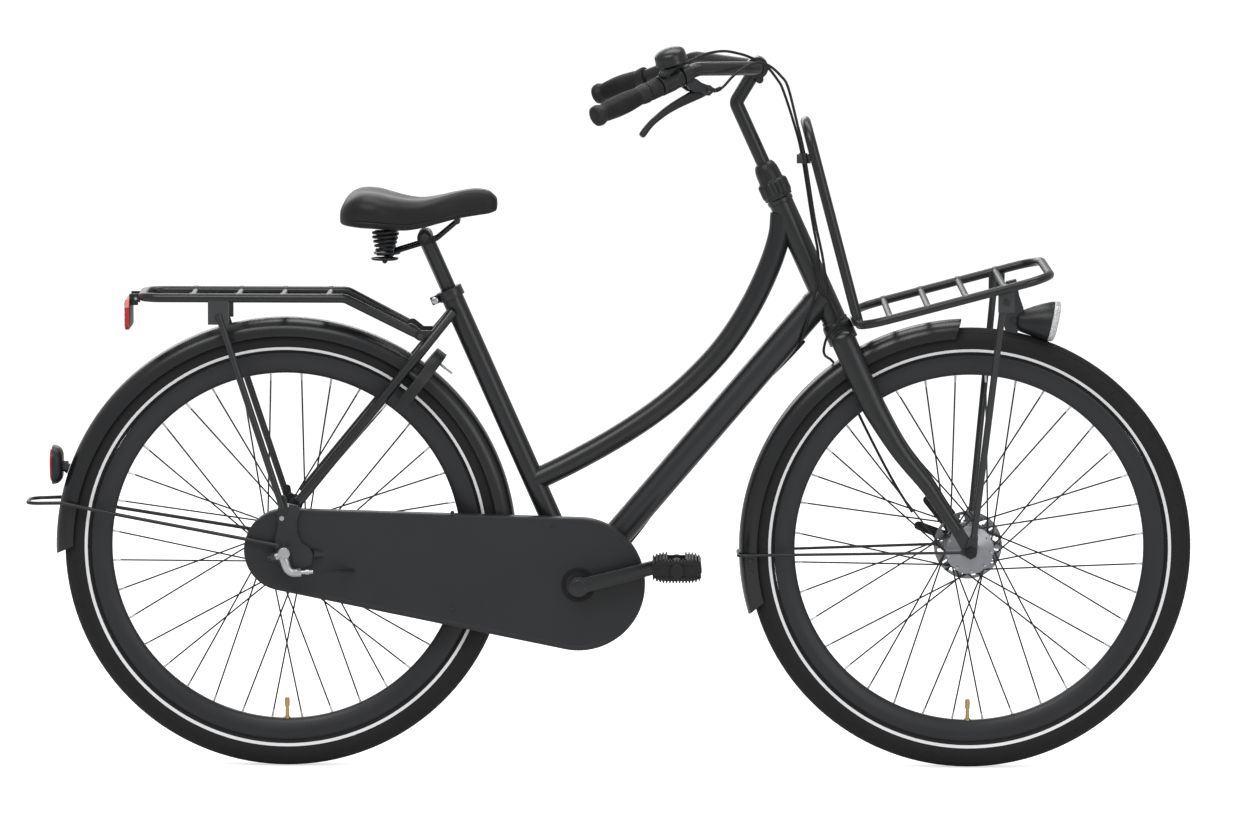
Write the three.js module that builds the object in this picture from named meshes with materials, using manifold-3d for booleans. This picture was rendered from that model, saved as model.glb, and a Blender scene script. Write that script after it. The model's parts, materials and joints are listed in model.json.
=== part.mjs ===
import * as THREE from "three";
import { mergeVertices } from "three/addons/utils/BufferGeometryUtils.js";
import Module from "manifold-3d";

const wasm = await Module();
wasm.setup();

// Town bicycle with a curved low frame, closed chaincase, ring lock and two carriers.
// Millimetres. X points forward, Y to the bicycle's left, Z up, and the ground is Z = 0.

// Layout of the whole bicycle
const wheelbase = 1096;
const tyreRadius = 356;
const stayLoopReach = 417;
const bottomBracketDrop = 54;
const chainstayLength = 472;
const seatTubeAngle = 66;
const headAngle = 65.4;
const forkRake = 46;

// Clearances, cuts and counts
const seatGap = 0.3;
const overrun = 6;
const weldDistance = 0.0005;
const tubeSides = 10;
const smallSides = 8;
const wheelSteps = 32;

// Wheels
const tyreWidth = 47;
const tyreWall = 3;
const tyreOuterSteps = 8;
const tyreInnerSteps = 4;
const rimOuterRadius = 313;
const rimDepth = 33;
const rimWidth = 27;
const rimNippleWidth = 10;
const spokeRadius = 0.9;
const spokeCount = 36;
const spokeCrossAngle = 60;
const spokeHeadOffset = 2.4;
const spokeRimOffset = 3;
const valveStemRadius = 3;
const valveReach = 67;
const valveCapRadius = 4;
const valveCapLength = 16;

// Rear hub and axle
const rearHubBore = 6.5;
const rearHubHalfWidth = 34;
const rearFlangeRadius = 36;
const rearFlangeWidth = 5;
const rearFlangeInset = 3;
const rearBarrelRadius = 29;
const rearSpokeCircle = 32.5;
const axleRadius = 4.8;
const axleHalfLength = 69;
const axleNutWidth = 17;
const axleNutThickness = 8.7;
const rearDropoutHalfSpacing = 60;
const rearDropoutThickness = 5;

// Front hub, disc and axle
const frontHubHalfWidth = 32;
const frontFlangeRadius = 39;
const frontFlangeWidth = 4.5;
const frontFlangeInset = 3.5;
const frontBarrelRadius = 34;
const frontSpokeCircle = 35;
const discRadius = 55;
const discThickness = 3;
const discSlotCount = 8;
const drumRadius = 31;
const drumDepth = 8;
const brakeCoverRadius = 30;
const brakeCoverThickness = 3;
const frontDropoutHalfSpacing = 50;
const frontDropoutThickness = 5;

// Crank set
const crankLength = 162;
const crankRestAngle = 14.5;
const chainPitch = 12.7;
const chainringTeeth = 38;
const sprocketTeeth = 19;
const chainLinks = 104;
const chainlineOffset = 45;
const chainPlateSpread = 3.4;
const rollerRadius = 3.9;
const toothClearance = 0.4;
const sprocketThickness = 2.2;
const shellRadius = 20;
const shellHalfWidth = 34;
const spindleRadius = 8.5;
const spindleHalfLength = 74;
const crankOuterOffset = 82;
const crankThickness = 14;
const pedalInnerOffset = 92;
const pedalOuterOffset = 187;
const pedalLength = 79;
const pedalHeight = 38;
const pedalSpindleRadius = 5.5;

// Chaincase
const caseOuterOffset = 56;
const caseInnerOffset = 32;
const caseWall = 1.6;
const caseFrontRadius = 107;
const caseRearRadius = 66;
const caseLip = 13;
const caseCrankHole = 21;
const caseSeamWidth = 6;
const caseSeamRise = 1.2;

// Frame tubes
const seatTubeRadius = 17.5;
const seatTubeLength = 514;
const seatTubeBore = 12.9;
const topTubeRadius = 18;
const downTubeRadius = 23;
const headTubeRadius = 19.5;
const headTubeBore = 13.4;
const headTubeFoot = 421;
const headTubeTop = 639;
const seatStayRadius = 8;
const chainStayRadius = 9;

// Seat and seatpost
const seatpostRadius = 12.5;
const seatpostTop = 611;
const seatpostInsertion = 150;
const saddleRailRadius = 3.5;
const saddleRailSpread = 22;
const saddleLength = 251;
const saddleWidth = 210;
const saddleSpringRadius = 20;
const saddleSpringWire = 2;
const saddleSpringTurns = 4;
const saddleSpringFoot = 828;
const saddleSpringTop = 863.7;

// Steering
const steererRadius = 12.7;
const forkCrownHeight = 392;
const forkTopSpread = 44;
const stemRadius = 11.1;
const stemTop = 829;
const stemReach = 65;
const barClampHeight = 845;
const barRadius = 11;
const barSpread = 250;
const barSweep = 252;
const barDrop = 60;
const gripLength = 98;
const gripRadius = 16;
const cableRadius = 2.2;

// Mudguards
const guardRadius = 370;
const guardHalfWidth = 30;
const guardDepth = 27;
const guardWall = 1.6;
const guardStayRadius = 2.4;
const stayLoopRadius = 3;

// Carriers
const rearRackHeight = 761.5;
const rearRackHalfWidth = 60;
const rearRackTube = 7.3;
const frontRackHalfWidth = 148;
const frontRackTube = 7;
const frontRackTilt = 15;
const hoopTube = 8;

const degree = Math.PI / 180;

// Points named after the layout
const point = (x, y, z) => new THREE.Vector3(x, y, z);
const rearAxleX = (stayLoopReach - tyreRadius - wheelbase) / 2;
const frontAxleX = rearAxleX + wheelbase;
const rearAxle = point(rearAxleX, 0, tyreRadius);
const frontAxle = point(frontAxleX, 0, tyreRadius);
const crankX = rearAxleX + Math.sqrt(chainstayLength ** 2 - bottomBracketDrop ** 2);
const crankCentre = point(crankX, 0, tyreRadius - bottomBracketDrop);
const seatTubeUp = point(-Math.cos(seatTubeAngle * degree), 0, Math.sin(seatTubeAngle * degree));
const steeringUp = point(-Math.cos(headAngle * degree), 0, Math.sin(headAngle * degree));
const steeringAhead = point(Math.sin(headAngle * degree), 0, Math.cos(headAngle * degree));
const steeringFoot = frontAxle.clone().addScaledVector(steeringAhead, -forkRake);

// A point given ahead of the steering axis, to its left, and up along it from the axle's level.
function steer(ahead, side, height) {
  return steeringFoot
    .clone()
    .addScaledVector(steeringAhead, ahead)
    .addScaledVector(steeringUp, height)
    .setY(side);
}

// A point on the seat tube's axis.
function onSeatTube(length) {
  return crankCentre.clone().addScaledVector(seatTubeUp, length);
}

// A closed mesh as a solid, with shared corners, no collapsed faces, and faces out.
function solidOf(geometry) {
  const source = geometry.index ? geometry.toNonIndexed() : geometry;
  const bare = new THREE.BufferGeometry();
  bare.setAttribute("position", source.getAttribute("position"));
  const merged = mergeVertices(bare, weldDistance);
  const corners = merged.getAttribute("position");
  const index = merged.getIndex().array;
  const kept = [];
  for (let i = 0; i < index.length; i += 3) {
    const [a, b, c] = [index[i], index[i + 1], index[i + 2]];
    if (a !== b && b !== c && c !== a) kept.push([a, b, c]);
  }
  const at = (i) => point(corners.getX(i), corners.getY(i), corners.getZ(i));
  let volume = 0;
  for (const [a, b, c] of kept) volume += at(a).dot(at(b).cross(at(c)));
  const faces = kept.flatMap(([a, b, c]) => (volume < 0 ? [a, c, b] : [a, b, c]));
  return new wasm.Manifold(
    new wasm.Mesh({
      numProp: 3,
      vertProperties: new Float32Array(corners.array),
      triVerts: new Uint32Array(faces),
    }),
  );
}

function geometryOf(solid) {
  const mesh = solid.getMesh();
  const geometry = new THREE.BufferGeometry();
  geometry.setAttribute("position", new THREE.BufferAttribute(mesh.vertProperties, 3));
  geometry.setIndex(new THREE.BufferAttribute(mesh.triVerts, 1));
  geometry.computeVertexNormals();
  return geometry;
}

const join = (first, ...others) => others.reduce((whole, other) => whole.add(other), first);
const cut = (first, ...tools) => tools.reduce((whole, tool) => whole.subtract(tool), first);

// Rings of points skinned into one body, with flat ends. Each ring has as many points as the others.
function loft(rings, section) {
  const sides = rings[0].length;
  const corners = rings.flat();
  const outline = section ?? rings[0].map((_, i) => {
    const turn = (2 * Math.PI * i) / sides;
    return new THREE.Vector2(Math.cos(turn), Math.sin(turn));
  });
  const cap = THREE.ShapeUtils.triangulateShape(outline, []);
  const faces = [];
  for (let ring = 0; ring + 1 < rings.length; ring += 1) {
    for (let i = 0; i < sides; i += 1) {
      const next = (i + 1) % sides;
      const low = ring * sides;
      const high = low + sides;
      faces.push(low + i, low + next, high + next, low + i, high + next, high + i);
    }
  }
  const last = (rings.length - 1) * sides;
  const clockwise = THREE.ShapeUtils.isClockWise(outline);
  for (const corner of cap) {
    const [a, b, c] = clockwise ? [...corner].reverse() : corner;
    faces.push(a, c, b, last + a, last + b, last + c);
  }
  const geometry = new THREE.BufferGeometry().setFromPoints(corners);
  geometry.setIndex(faces);
  return solidOf(geometry);
}

// A round bar between two points, tapering if it is given a second radius.
function rod(from, to, radius, sides = smallSides, endRadius = radius) {
  const along = to.clone().sub(from);
  const geometry = new THREE.CylinderGeometry(endRadius, radius, along.length(), sides);
  const turn = new THREE.Quaternion().setFromUnitVectors(point(0, 1, 0), along.normalize());
  geometry.applyQuaternion(turn);
  geometry.translate(...from.clone().add(to).multiplyScalar(1 / 2).toArray());
  return solidOf(geometry);
}

// A round bar across the bicycle, between two side offsets.
function crossRod(x, z, fromY, toY, radius, sides = smallSides, endRadius = radius) {
  return rod(point(x, fromY, z), point(x, toY, z), radius, sides, endRadius);
}

// The bore radius that clears a faceted bar of the given radius, however the two are turned.
const roundBore = (radius, sides = tubeSides) => (radius + seatGap) / Math.cos(Math.PI / sides);

// A box between two opposite corners.
function block(low, high) {
  const size = high.clone().sub(low);
  const geometry = new THREE.BoxGeometry(...size.toArray());
  geometry.translate(...low.clone().add(high).multiplyScalar(1 / 2).toArray());
  return solidOf(geometry);
}

// A bar of rectangular section between two points, with its width along Y.
function flatBar(from, to, width, thickness) {
  const along = to.clone().sub(from);
  const length = along.length();
  along.normalize();
  const across = Math.abs(along.y) < 0.9 ? point(0, 1, 0) : point(0, 0, 1);
  const depth = along.clone().cross(across).normalize();
  const side = depth.clone().cross(along).normalize();
  const geometry = new THREE.BoxGeometry(width, thickness, length);
  geometry.applyMatrix4(new THREE.Matrix4().makeBasis(side, depth.clone().negate(), along));
  geometry.translate(...from.clone().add(to).multiplyScalar(1 / 2).toArray());
  return solidOf(geometry);
}

// A route through given points, each kept exactly, for bars bent in three dimensions.
class Route extends THREE.Curve {
  constructor(points) {
    super();
    this.points = points;
  }
  getPoint(share, target = new THREE.Vector3()) {
    const place = share * (this.points.length - 1);
    const before = Math.min(Math.floor(place + 1e-9), this.points.length - 2);
    return target.copy(this.points[before]).lerp(this.points[before + 1], place - before);
  }
  getPointAt(share, target) {
    return this.getPoint(share, target);
  }
  getTangentAt(share, target = new THREE.Vector3()) {
    const here = Math.round(share * (this.points.length - 1));
    const before = this.points[Math.max(here - 1, 0)];
    const after = this.points[Math.min(here + 1, this.points.length - 1)];
    const arriving = this.points[here].clone().sub(before).normalize();
    const leaving = after.clone().sub(this.points[here]).normalize();
    return target.copy(arriving).add(leaving).normalize();
  }
}

// The points of a bent bar: straight runs with an arc of the given radius, or radii, at each corner.
function filleted(corners, radii, steps) {
  const route = [corners[0]];
  for (let i = 1; i + 1 < corners.length; i += 1) {
    const radius = Array.isArray(radii) ? radii[i - 1] : radii;
    const back = corners[i - 1].clone().sub(corners[i]);
    const forth = corners[i + 1].clone().sub(corners[i]);
    const room = Math.min(back.length(), forth.length()) * 0.49;
    back.normalize();
    forth.normalize();
    const half = back.angleTo(forth) / 2;
    const reach = Math.min(radius / Math.tan(half), room);
    const start = corners[i].clone().addScaledVector(back, reach);
    const end = corners[i].clone().addScaledVector(forth, reach);
    const bend = reach * Math.tan(half);
    const middle = back.clone().add(forth).normalize();
    const centre = corners[i].clone().addScaledVector(middle, bend / Math.sin(half));
    const sweep = Math.PI - 2 * half;
    const from = start.clone().sub(centre);
    const axis = from.clone().cross(end.clone().sub(centre)).normalize();
    for (let step = 0; step <= steps; step += 1) {
      route.push(centre.clone().add(from.clone().applyAxisAngle(axis, (sweep * step) / steps)));
    }
  }
  route.push(corners[corners.length - 1]);
  return route;
}

function circleShape(radius, sides) {
  const corners = [];
  for (let i = 0; i < sides; i += 1) {
    const turn = ((i + 1 / 2) * 2 * Math.PI) / sides;
    corners.push(new THREE.Vector2(radius * Math.cos(turn), radius * Math.sin(turn)));
  }
  return new THREE.Shape(corners);
}

// A round bar or tube that follows points exactly.
function tubeAlong(points, radius, sides = smallSides) {
  const options = { steps: points.length - 1, extrudePath: new Route(points) };
  return solidOf(new THREE.ExtrudeGeometry(circleShape(radius, sides), options));
}

// A ring or spindle turned about an axis across the bicycle. Profile pairs are radius and side offset.
function turned(profile, centre, steps = tubeSides) {
  const corners = profile.map(([radius, side]) => new THREE.Vector2(radius, side));
  const closed = profile[0][0] > 0;
  if (closed) corners.push(corners[0].clone());
  const geometry = new THREE.LatheGeometry(corners, steps);
  geometry.translate(centre.x, centre.y, centre.z);
  return solidOf(geometry);
}

// The same, turned about any axis from a given point.
function turnedAbout(profile, centre, axis, steps = tubeSides) {
  const corners = profile.map(([radius, along]) => new THREE.Vector2(radius, along));
  if (profile[0][0] > 0) corners.push(corners[0].clone());
  const geometry = new THREE.LatheGeometry(corners, steps);
  geometry.applyQuaternion(new THREE.Quaternion().setFromUnitVectors(point(0, 1, 0), axis));
  geometry.translate(centre.x, centre.y, centre.z);
  return solidOf(geometry);
}

// A plate cut from an outline in the bicycle's side view, between two side offsets.
function plate(outline, lowY, highY) {
  const shape = outline instanceof THREE.Shape ? outline : new THREE.Shape(outline);
  const geometry = new THREE.ExtrudeGeometry(shape, {
    depth: highY - lowY,
    bevelEnabled: false,
    curveSegments: tubeSides,
  });
  geometry.rotateX(Math.PI / 2);
  geometry.translate(0, highY, 0);
  return solidOf(geometry);
}

// Outline points for plate(), from side-view points.
const sideView = (points) => points.map((p) => new THREE.Vector2(p.x, p.z));

// A point on a circle about a centre in the side view, by its angle from forward.
function onCircle(centre, radius, angle, side = 0) {
  const turn = angle * degree;
  return point(centre.x + radius * Math.cos(turn), side, centre.z + radius * Math.sin(turn));
}

const lengthwise = (from, to, share) => from.clone().lerp(to, share);

const bicycle = new THREE.Group();

function finish(color, roughness, metalness) {
  return new THREE.MeshStandardMaterial({ color, roughness, metalness });
}

function addPiece(name, solid, material) {
  const mesh = new THREE.Mesh(geometryOf(solid), material.clone());
  mesh.name = name;
  bicycle.add(mesh);
}

const blackPaint = () => finish(0x2b2c2e, 0.45, 0.1);
const blackPlastic = () => finish(0x1d1e1f, 0.55, 0);
const blackRubber = () => finish(0x1a1a1b, 0.8, 0);
const saddleSkin = () => finish(0x232324, 0.6, 0);
const steel = () => finish(0xb9bcc0, 0.35, 1);
const darkSteel = () => finish(0x4a4c50, 0.4, 1);
const redLens = () => finish(0xb3202a, 0.2, 0);
const clearLens = () => finish(0xe8eaec, 0.1, 0);

// Where each spoke meets the rim, and where it leaves its hub flange.
function spokes(centre, halfWidth, inset, flangeWidth, circle) {
  const bars = [];
  const flatShare = Math.cos(Math.PI / wheelSteps);
  const rimRadius = (rimOuterRadius - rimDepth) * flatShare - seatGap - spokeRadius / 4;
  const pitch = 360 / spokeCount;
  for (let i = 0; i < spokeCount; i += 1) {
    const side = i % 2 ? 1 : -1;
    const trailing = (i >> 1) % 2 ? 1 : -1;
    const angle = -90 + pitch * (i + 1 / 2);
    const flange = side * (halfWidth - inset - flangeWidth / 2 + (trailing * spokeHeadOffset) / 2);
    const head = onCircle(centre, circle, angle + trailing * spokeCrossAngle, flange);
    const seat = side * (spokeRimOffset + trailing * spokeRadius * 1.1);
    const nipple = onCircle(centre, rimRadius, angle, seat);
    bars.push(rod(head, nipple, spokeRadius, 3));
  }
  return bars;
}

// A hub shell with two flanges, in the order of its profile from the right end to the left.
function hubShell(centre, bore, halfWidth, inset, flangeRadius, flangeWidth, barrel) {
  const neck = (flangeRadius + bore) / 3;
  const outer = halfWidth - inset;
  const inner = outer - flangeWidth;
  const profile = [
    [bore, -halfWidth],
    [neck, -halfWidth],
    [flangeRadius, -outer],
    [flangeRadius, -inner],
    [barrel, -inner],
    [barrel, inner],
    [flangeRadius, inner],
    [flangeRadius, outer],
    [neck, halfWidth],
    [bore, halfWidth],
  ];
  return turned(profile, centre, 14);
}

function rearHub() {
  const shell = hubShell(
    rearAxle,
    rearHubBore,
    rearHubHalfWidth,
    rearFlangeInset,
    rearFlangeRadius,
    rearFlangeWidth,
    rearBarrelRadius,
  );
  const laced = spokes(rearAxle, rearHubHalfWidth, rearFlangeInset, rearFlangeWidth, rearSpokeCircle);
  return join(shell, ...laced);
}

function frontHub() {
  const shell = hubShell(
    frontAxle,
    rearHubBore,
    frontHubHalfWidth,
    frontFlangeInset,
    frontFlangeRadius,
    frontFlangeWidth,
    frontBarrelRadius,
  );
  const laced = spokes(frontAxle, frontHubHalfWidth, frontFlangeInset, frontFlangeWidth, frontSpokeCircle);
  return join(shell, ...laced);
}

// The finned cooling disc and brake drum that turn with the front hub.
function frontDisc() {
  const inner = frontHubHalfWidth + seatGap;
  const face = inner + discThickness;
  const drumEnd = face + drumDepth;
  const profile = [
    [rearHubBore, inner],
    [discRadius, inner],
    [discRadius, face],
    [drumRadius, face],
    [drumRadius, drumEnd],
    [rearHubBore, drumEnd],
  ];
  const slots = [];
  const slotRadius = (discRadius + drumRadius) / 2;
  const slotWidth = discRadius / 9;
  const slotLength = (discRadius - drumRadius) / 4;
  for (let i = 0; i < discSlotCount; i += 1) {
    const angle = (360 / discSlotCount) * i;
    const from = onCircle(frontAxle, slotRadius - slotLength, angle, 0);
    const to = onCircle(frontAxle, slotRadius + slotLength, angle, 0);
    from.y = to.y = inner + discThickness / 2;
    slots.push(flatBarAcross(from, to, slotWidth, discThickness + overrun));
  }
  return cut(turned(profile, frontAxle, 16), ...slots);
}

// A bar whose width lies in the side view and whose depth lies across the bicycle.
function flatBarAcross(from, to, width, depth) {
  return flatBar(from, to, depth, width);
}

// Rim section as shares of depth outward and of half width, from the nipple seat round one side.
const rimSectionShares = [
  [0, 0],
  [0.45, 0.9],
  [1, 1],
];

function rim(centre) {
  const inner = rimOuterRadius - rimDepth;
  const half = (share) => rimNippleWidth / 2 + (rimWidth / 2 - rimNippleWidth / 2) * share;
  const right = rimSectionShares.map(([out, wide]) => [inner + rimDepth * out, -half(wide)]);
  const left = rimSectionShares.map(([out, wide]) => [inner + rimDepth * out, half(wide)]).reverse();
  const ring = turned([...right, ...left], centre, wheelSteps);
  const hole = rod(
    onCircle(centre, inner - overrun, -90),
    onCircle(centre, rimOuterRadius + overrun, -90),
    valveStemRadius + seatGap + seatGap,
    12,
  );
  return cut(ring, hole);
}

// The tyre's section is an arc of a circle that ends in two beads on the rim.
function tyre(centre) {
  const radius = tyreWidth / 2;
  const middle = tyreRadius - radius;
  const bead = rimOuterRadius + seatGap;
  const arc = (r, count) => {
    const reach = Math.acos((bead - middle) / r);
    const points = [];
    for (let i = 0; i <= count; i += 1) {
      const turn = -reach + (2 * reach * i) / count;
      points.push([middle + r * Math.cos(turn), r * Math.sin(turn)]);
    }
    return points;
  };
  return turned([...arc(radius, tyreOuterSteps), ...arc(radius - tyreWall, tyreInnerSteps).reverse()], centre, wheelSteps);
}

// The inner tube lies on the rim, and its valve passes down through the rim's hole.
function innerTube(centre) {
  const bead = rimOuterRadius + seatGap;
  const radius = (tyreWidth / 2 - tyreWall) * 0.78;
  const middle = bead + radius;
  const profile = [
    [middle - radius, 0],
    [middle, -radius],
    [middle + radius, 0],
    [middle, radius],
  ];
  const ring = turned(profile, centre, wheelSteps);
  const root = onCircle(centre, middle, -90);
  const stemEnd = onCircle(centre, rimOuterRadius - valveReach + valveCapLength, -90);
  const capEnd = onCircle(centre, rimOuterRadius - valveReach, -90);
  const stem = rod(root, stemEnd, valveStemRadius, smallSides);
  const cap = rod(stemEnd, capEnd, valveCapRadius, smallSides, valveStemRadius);
  return join(ring, stem, cap);
}

// A nut with six flats across the bicycle, centred on an axle.
function sideNut(centre, fromY, toY, acrossFlats) {
  return crossRod(centre.x, centre.z, fromY, toY, acrossFlats / 2 / Math.cos(30 * degree), 6);
}

// Sprocket and chainring outlines: each tooth rises between two rollers.
function toothedOutline(centre, teeth, startAngle) {
  const pitchRadius = chainPitch / (2 * Math.sin(Math.PI / teeth));
  const root = pitchRadius - rollerRadius - toothClearance;
  const tip = (pitchRadius - chainPlateSpread) * Math.cos(Math.PI / teeth) - toothClearance / 2;
  const toothShares = [0, 0.5];
  const step = 360 / teeth;
  const outline = [];
  for (let i = 0; i < teeth; i += 1) {
    toothShares.forEach((share, corner) => {
      const high = corner > 0;
      outline.push(onCircle(centre, high ? tip : root - (tip - root), startAngle + step * (i + share)));
    });
  }
  return outline;
}

function sprocket() {
  const half = sprocketThickness / 2;
  const wheel = plate(sideView(toothedOutline(rearAxle, sprocketTeeth, 0)), -chainlineOffset - half, -chainlineOffset + half);
  const bossRadius = rearHubBore * 2;
  const boss = crossRod(
    rearAxle.x,
    rearAxle.z,
    -chainlineOffset - sprocketThickness,
    -rearHubHalfWidth - seatGap,
    bossRadius,
    24,
  );
  const bore = crossRod(rearAxle.x, rearAxle.z, -chainlineOffset - overrun, 0, roundBore(axleSleeveRadius), tubeSides);
  const windows = [];
  const windowCircle = bossRadius * 1.8;
  for (let i = 0; i < 3; i += 1) {
    const from = onCircle(rearAxle, windowCircle, 120 * i - 22);
    const to = onCircle(rearAxle, windowCircle, 120 * i + 22);
    const low = -chainlineOffset - half - overrun;
    from.y = to.y = -chainlineOffset;
    windows.push(flatBarAcross(from, to, bossRadius / 3, half - low - chainlineOffset));
  }
  return cut(join(wheel, boss), bore, ...windows);
}

function chainring() {
  const half = sprocketThickness / 2;
  const low = -chainlineOffset - half;
  const high = -chainlineOffset + half;
  const shape = new THREE.Shape(sideView(toothedOutline(crankCentre, chainringTeeth, 0)));
  const pitchRadius = chainPitch / (2 * Math.sin(Math.PI / chainringTeeth));
  const armInner = shellRadius * 1.25;
  const armOuter = pitchRadius * 0.8;
  const armShares = [
    [0, 14],
    [0, 58],
    [1, 66],
    [1, 36],
    [1, 6],
  ];
  for (let i = 0; i < 5; i += 1) {
    const hole = armShares.map(([out, turn]) =>
      onCircle(crankCentre, armInner + (armOuter - armInner) * out, 72 * i + turn),
    );
    shape.holes.push(new THREE.Path(sideView(hole)));
  }
  const wheel = plate(shape, low, high);
  const boss = crossRod(crankCentre.x, crankCentre.z, low - sprocketThickness, high, shellRadius * 0.95, 20);
  const bore = crossRod(
    crankCentre.x,
    crankCentre.z,
    low - overrun,
    high + overrun,
    spindleRadius + seatGap,
    tubeSides,
  );
  return cut(join(wheel, boss), bore);
}

// The loop of the chain's pins: round both wheels and straight between them.
function chainPath(offset, count) {
  const rearPitch = chainPitch / (2 * Math.sin(Math.PI / sprocketTeeth));
  const frontPitch = chainPitch / (2 * Math.sin(Math.PI / chainringTeeth));
  const span = crankCentre.clone().sub(rearAxle);
  const tilt = Math.atan2(span.z, span.x);
  const lean = Math.asin((frontPitch - rearPitch) / span.length());
  const straight = span.length() * Math.cos(lean);
  const frontArc = frontPitch * (Math.PI + 2 * lean);
  const rearArc = rearPitch * (Math.PI - 2 * lean);
  const total = straight * 2 + frontArc + rearArc;
  const along = (centre, radius, turn, forward) =>
    point(
      centre.x + (radius + offset) * Math.cos(turn) + forward * Math.cos(turn - Math.PI / 2),
      0,
      centre.z + (radius + offset) * Math.sin(turn) + forward * Math.sin(turn - Math.PI / 2),
    );
  const topTurn = tilt + Math.PI / 2 + lean;
  const bottomTurn = tilt - Math.PI / 2 - lean;
  const points = [];
  for (let i = 0; i < count; i += 1) {
    let place = (total * i) / count;
    if (place < straight) {
      points.push(along(rearAxle, rearPitch, topTurn, place));
      continue;
    }
    place -= straight;
    if (place < frontArc) {
      points.push(along(crankCentre, frontPitch, topTurn - place / frontPitch, 0));
      continue;
    }
    place -= frontArc;
    if (place < straight) {
      points.push(along(crankCentre, frontPitch, bottomTurn, place));
      continue;
    }
    place -= straight;
    points.push(along(rearAxle, rearPitch, bottomTurn - place / rearPitch, 0));
  }
  return points;
}

// One closed strip of side plates: every pin on the wheels, and every sixth between them.
function chain() {
  const pins = chainPath(0, chainLinks);
  const frontPitch = chainPitch / (2 * Math.sin(Math.PI / chainringTeeth));
  const rearPitch = chainPitch / (2 * Math.sin(Math.PI / sprocketTeeth));
  const wraps = (pin, centre, pitch) => pin.distanceTo(centre) < pitch + seatGap;
  const kept = (_, i) => wraps(pins[i], crankCentre, frontPitch) || wraps(pins[i], rearAxle, rearPitch) || i % 6 === 0;
  const strip = (offset) => sideView(chainPath(offset, chainLinks).filter(kept));
  const shape = new THREE.Shape(strip(chainPlateSpread).reverse());
  shape.holes.push(new THREE.Path(strip(-chainPlateSpread)));
  return plate(shape, -chainlineOffset - rollerRadius, -chainlineOffset + rollerRadius);
}

// Crank arm with a boss at the spindle and an eye at the pedal; side is -1 on the right.
function crank(side) {
  const turn = side < 0 ? crankRestAngle : crankRestAngle + 180;
  const outer = side * crankOuterOffset;
  const inner = side * (crankOuterOffset - crankThickness);
  const [low, high] = [Math.min(inner, outer), Math.max(inner, outer)];
  const eye = onCircle(crankCentre, crankLength, turn);
  const bossRadius = spindleRadius * 1.9;
  const eyeRadius = pedalSpindleRadius * 2.2;
  const arm = plate(sideView(taperedOutline(crankCentre, bossRadius * 0.75, eye, eyeRadius * 0.85)), low, high);
  const boss = crossRod(crankCentre.x, crankCentre.z, low - crankThickness / 8, high + crankThickness / 8, bossRadius, 16);
  const pedalBoss = crossRod(eye.x, eye.z, low, high, eyeRadius, tubeSides);
  const spindle = crossRod(eye.x, eye.z, outer, side * (pedalOuterOffset - pedalSpindleRadius), pedalSpindleRadius);
  const socket = crossRod(
    crankCentre.x,
    crankCentre.z,
    low - overrun,
    high + overrun,
    spindleRadius + seatGap,
    tubeSides,
  );
  const bolt = crossRod(
    crankCentre.x,
    crankCentre.z,
    side * (spindleHalfLength + seatGap * 2),
    side * (crankOuterOffset + crankThickness / 4),
    bossRadius * 0.72,
    tubeSides,
  );
  return join(cut(join(arm, boss, pedalBoss), socket), bolt, spindle);
}

// Outline of a bar that tapers between two round ends.
function taperedOutline(from, fromRadius, to, toRadius, steps = 6) {
  const along = Math.atan2(to.z - from.z, to.x - from.x) / degree;
  const outline = [];
  for (let i = 0; i <= steps; i += 1) outline.push(onCircle(to, toRadius, along - 90 + (180 * i) / steps));
  for (let i = 0; i <= steps; i += 1) outline.push(onCircle(from, fromRadius, along + 90 + (180 * i) / steps));
  return outline;
}

function bottomBracketAxle() {
  return crossRod(crankCentre.x, crankCentre.z, -spindleHalfLength, spindleHalfLength, spindleRadius, tubeSides);
}

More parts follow.
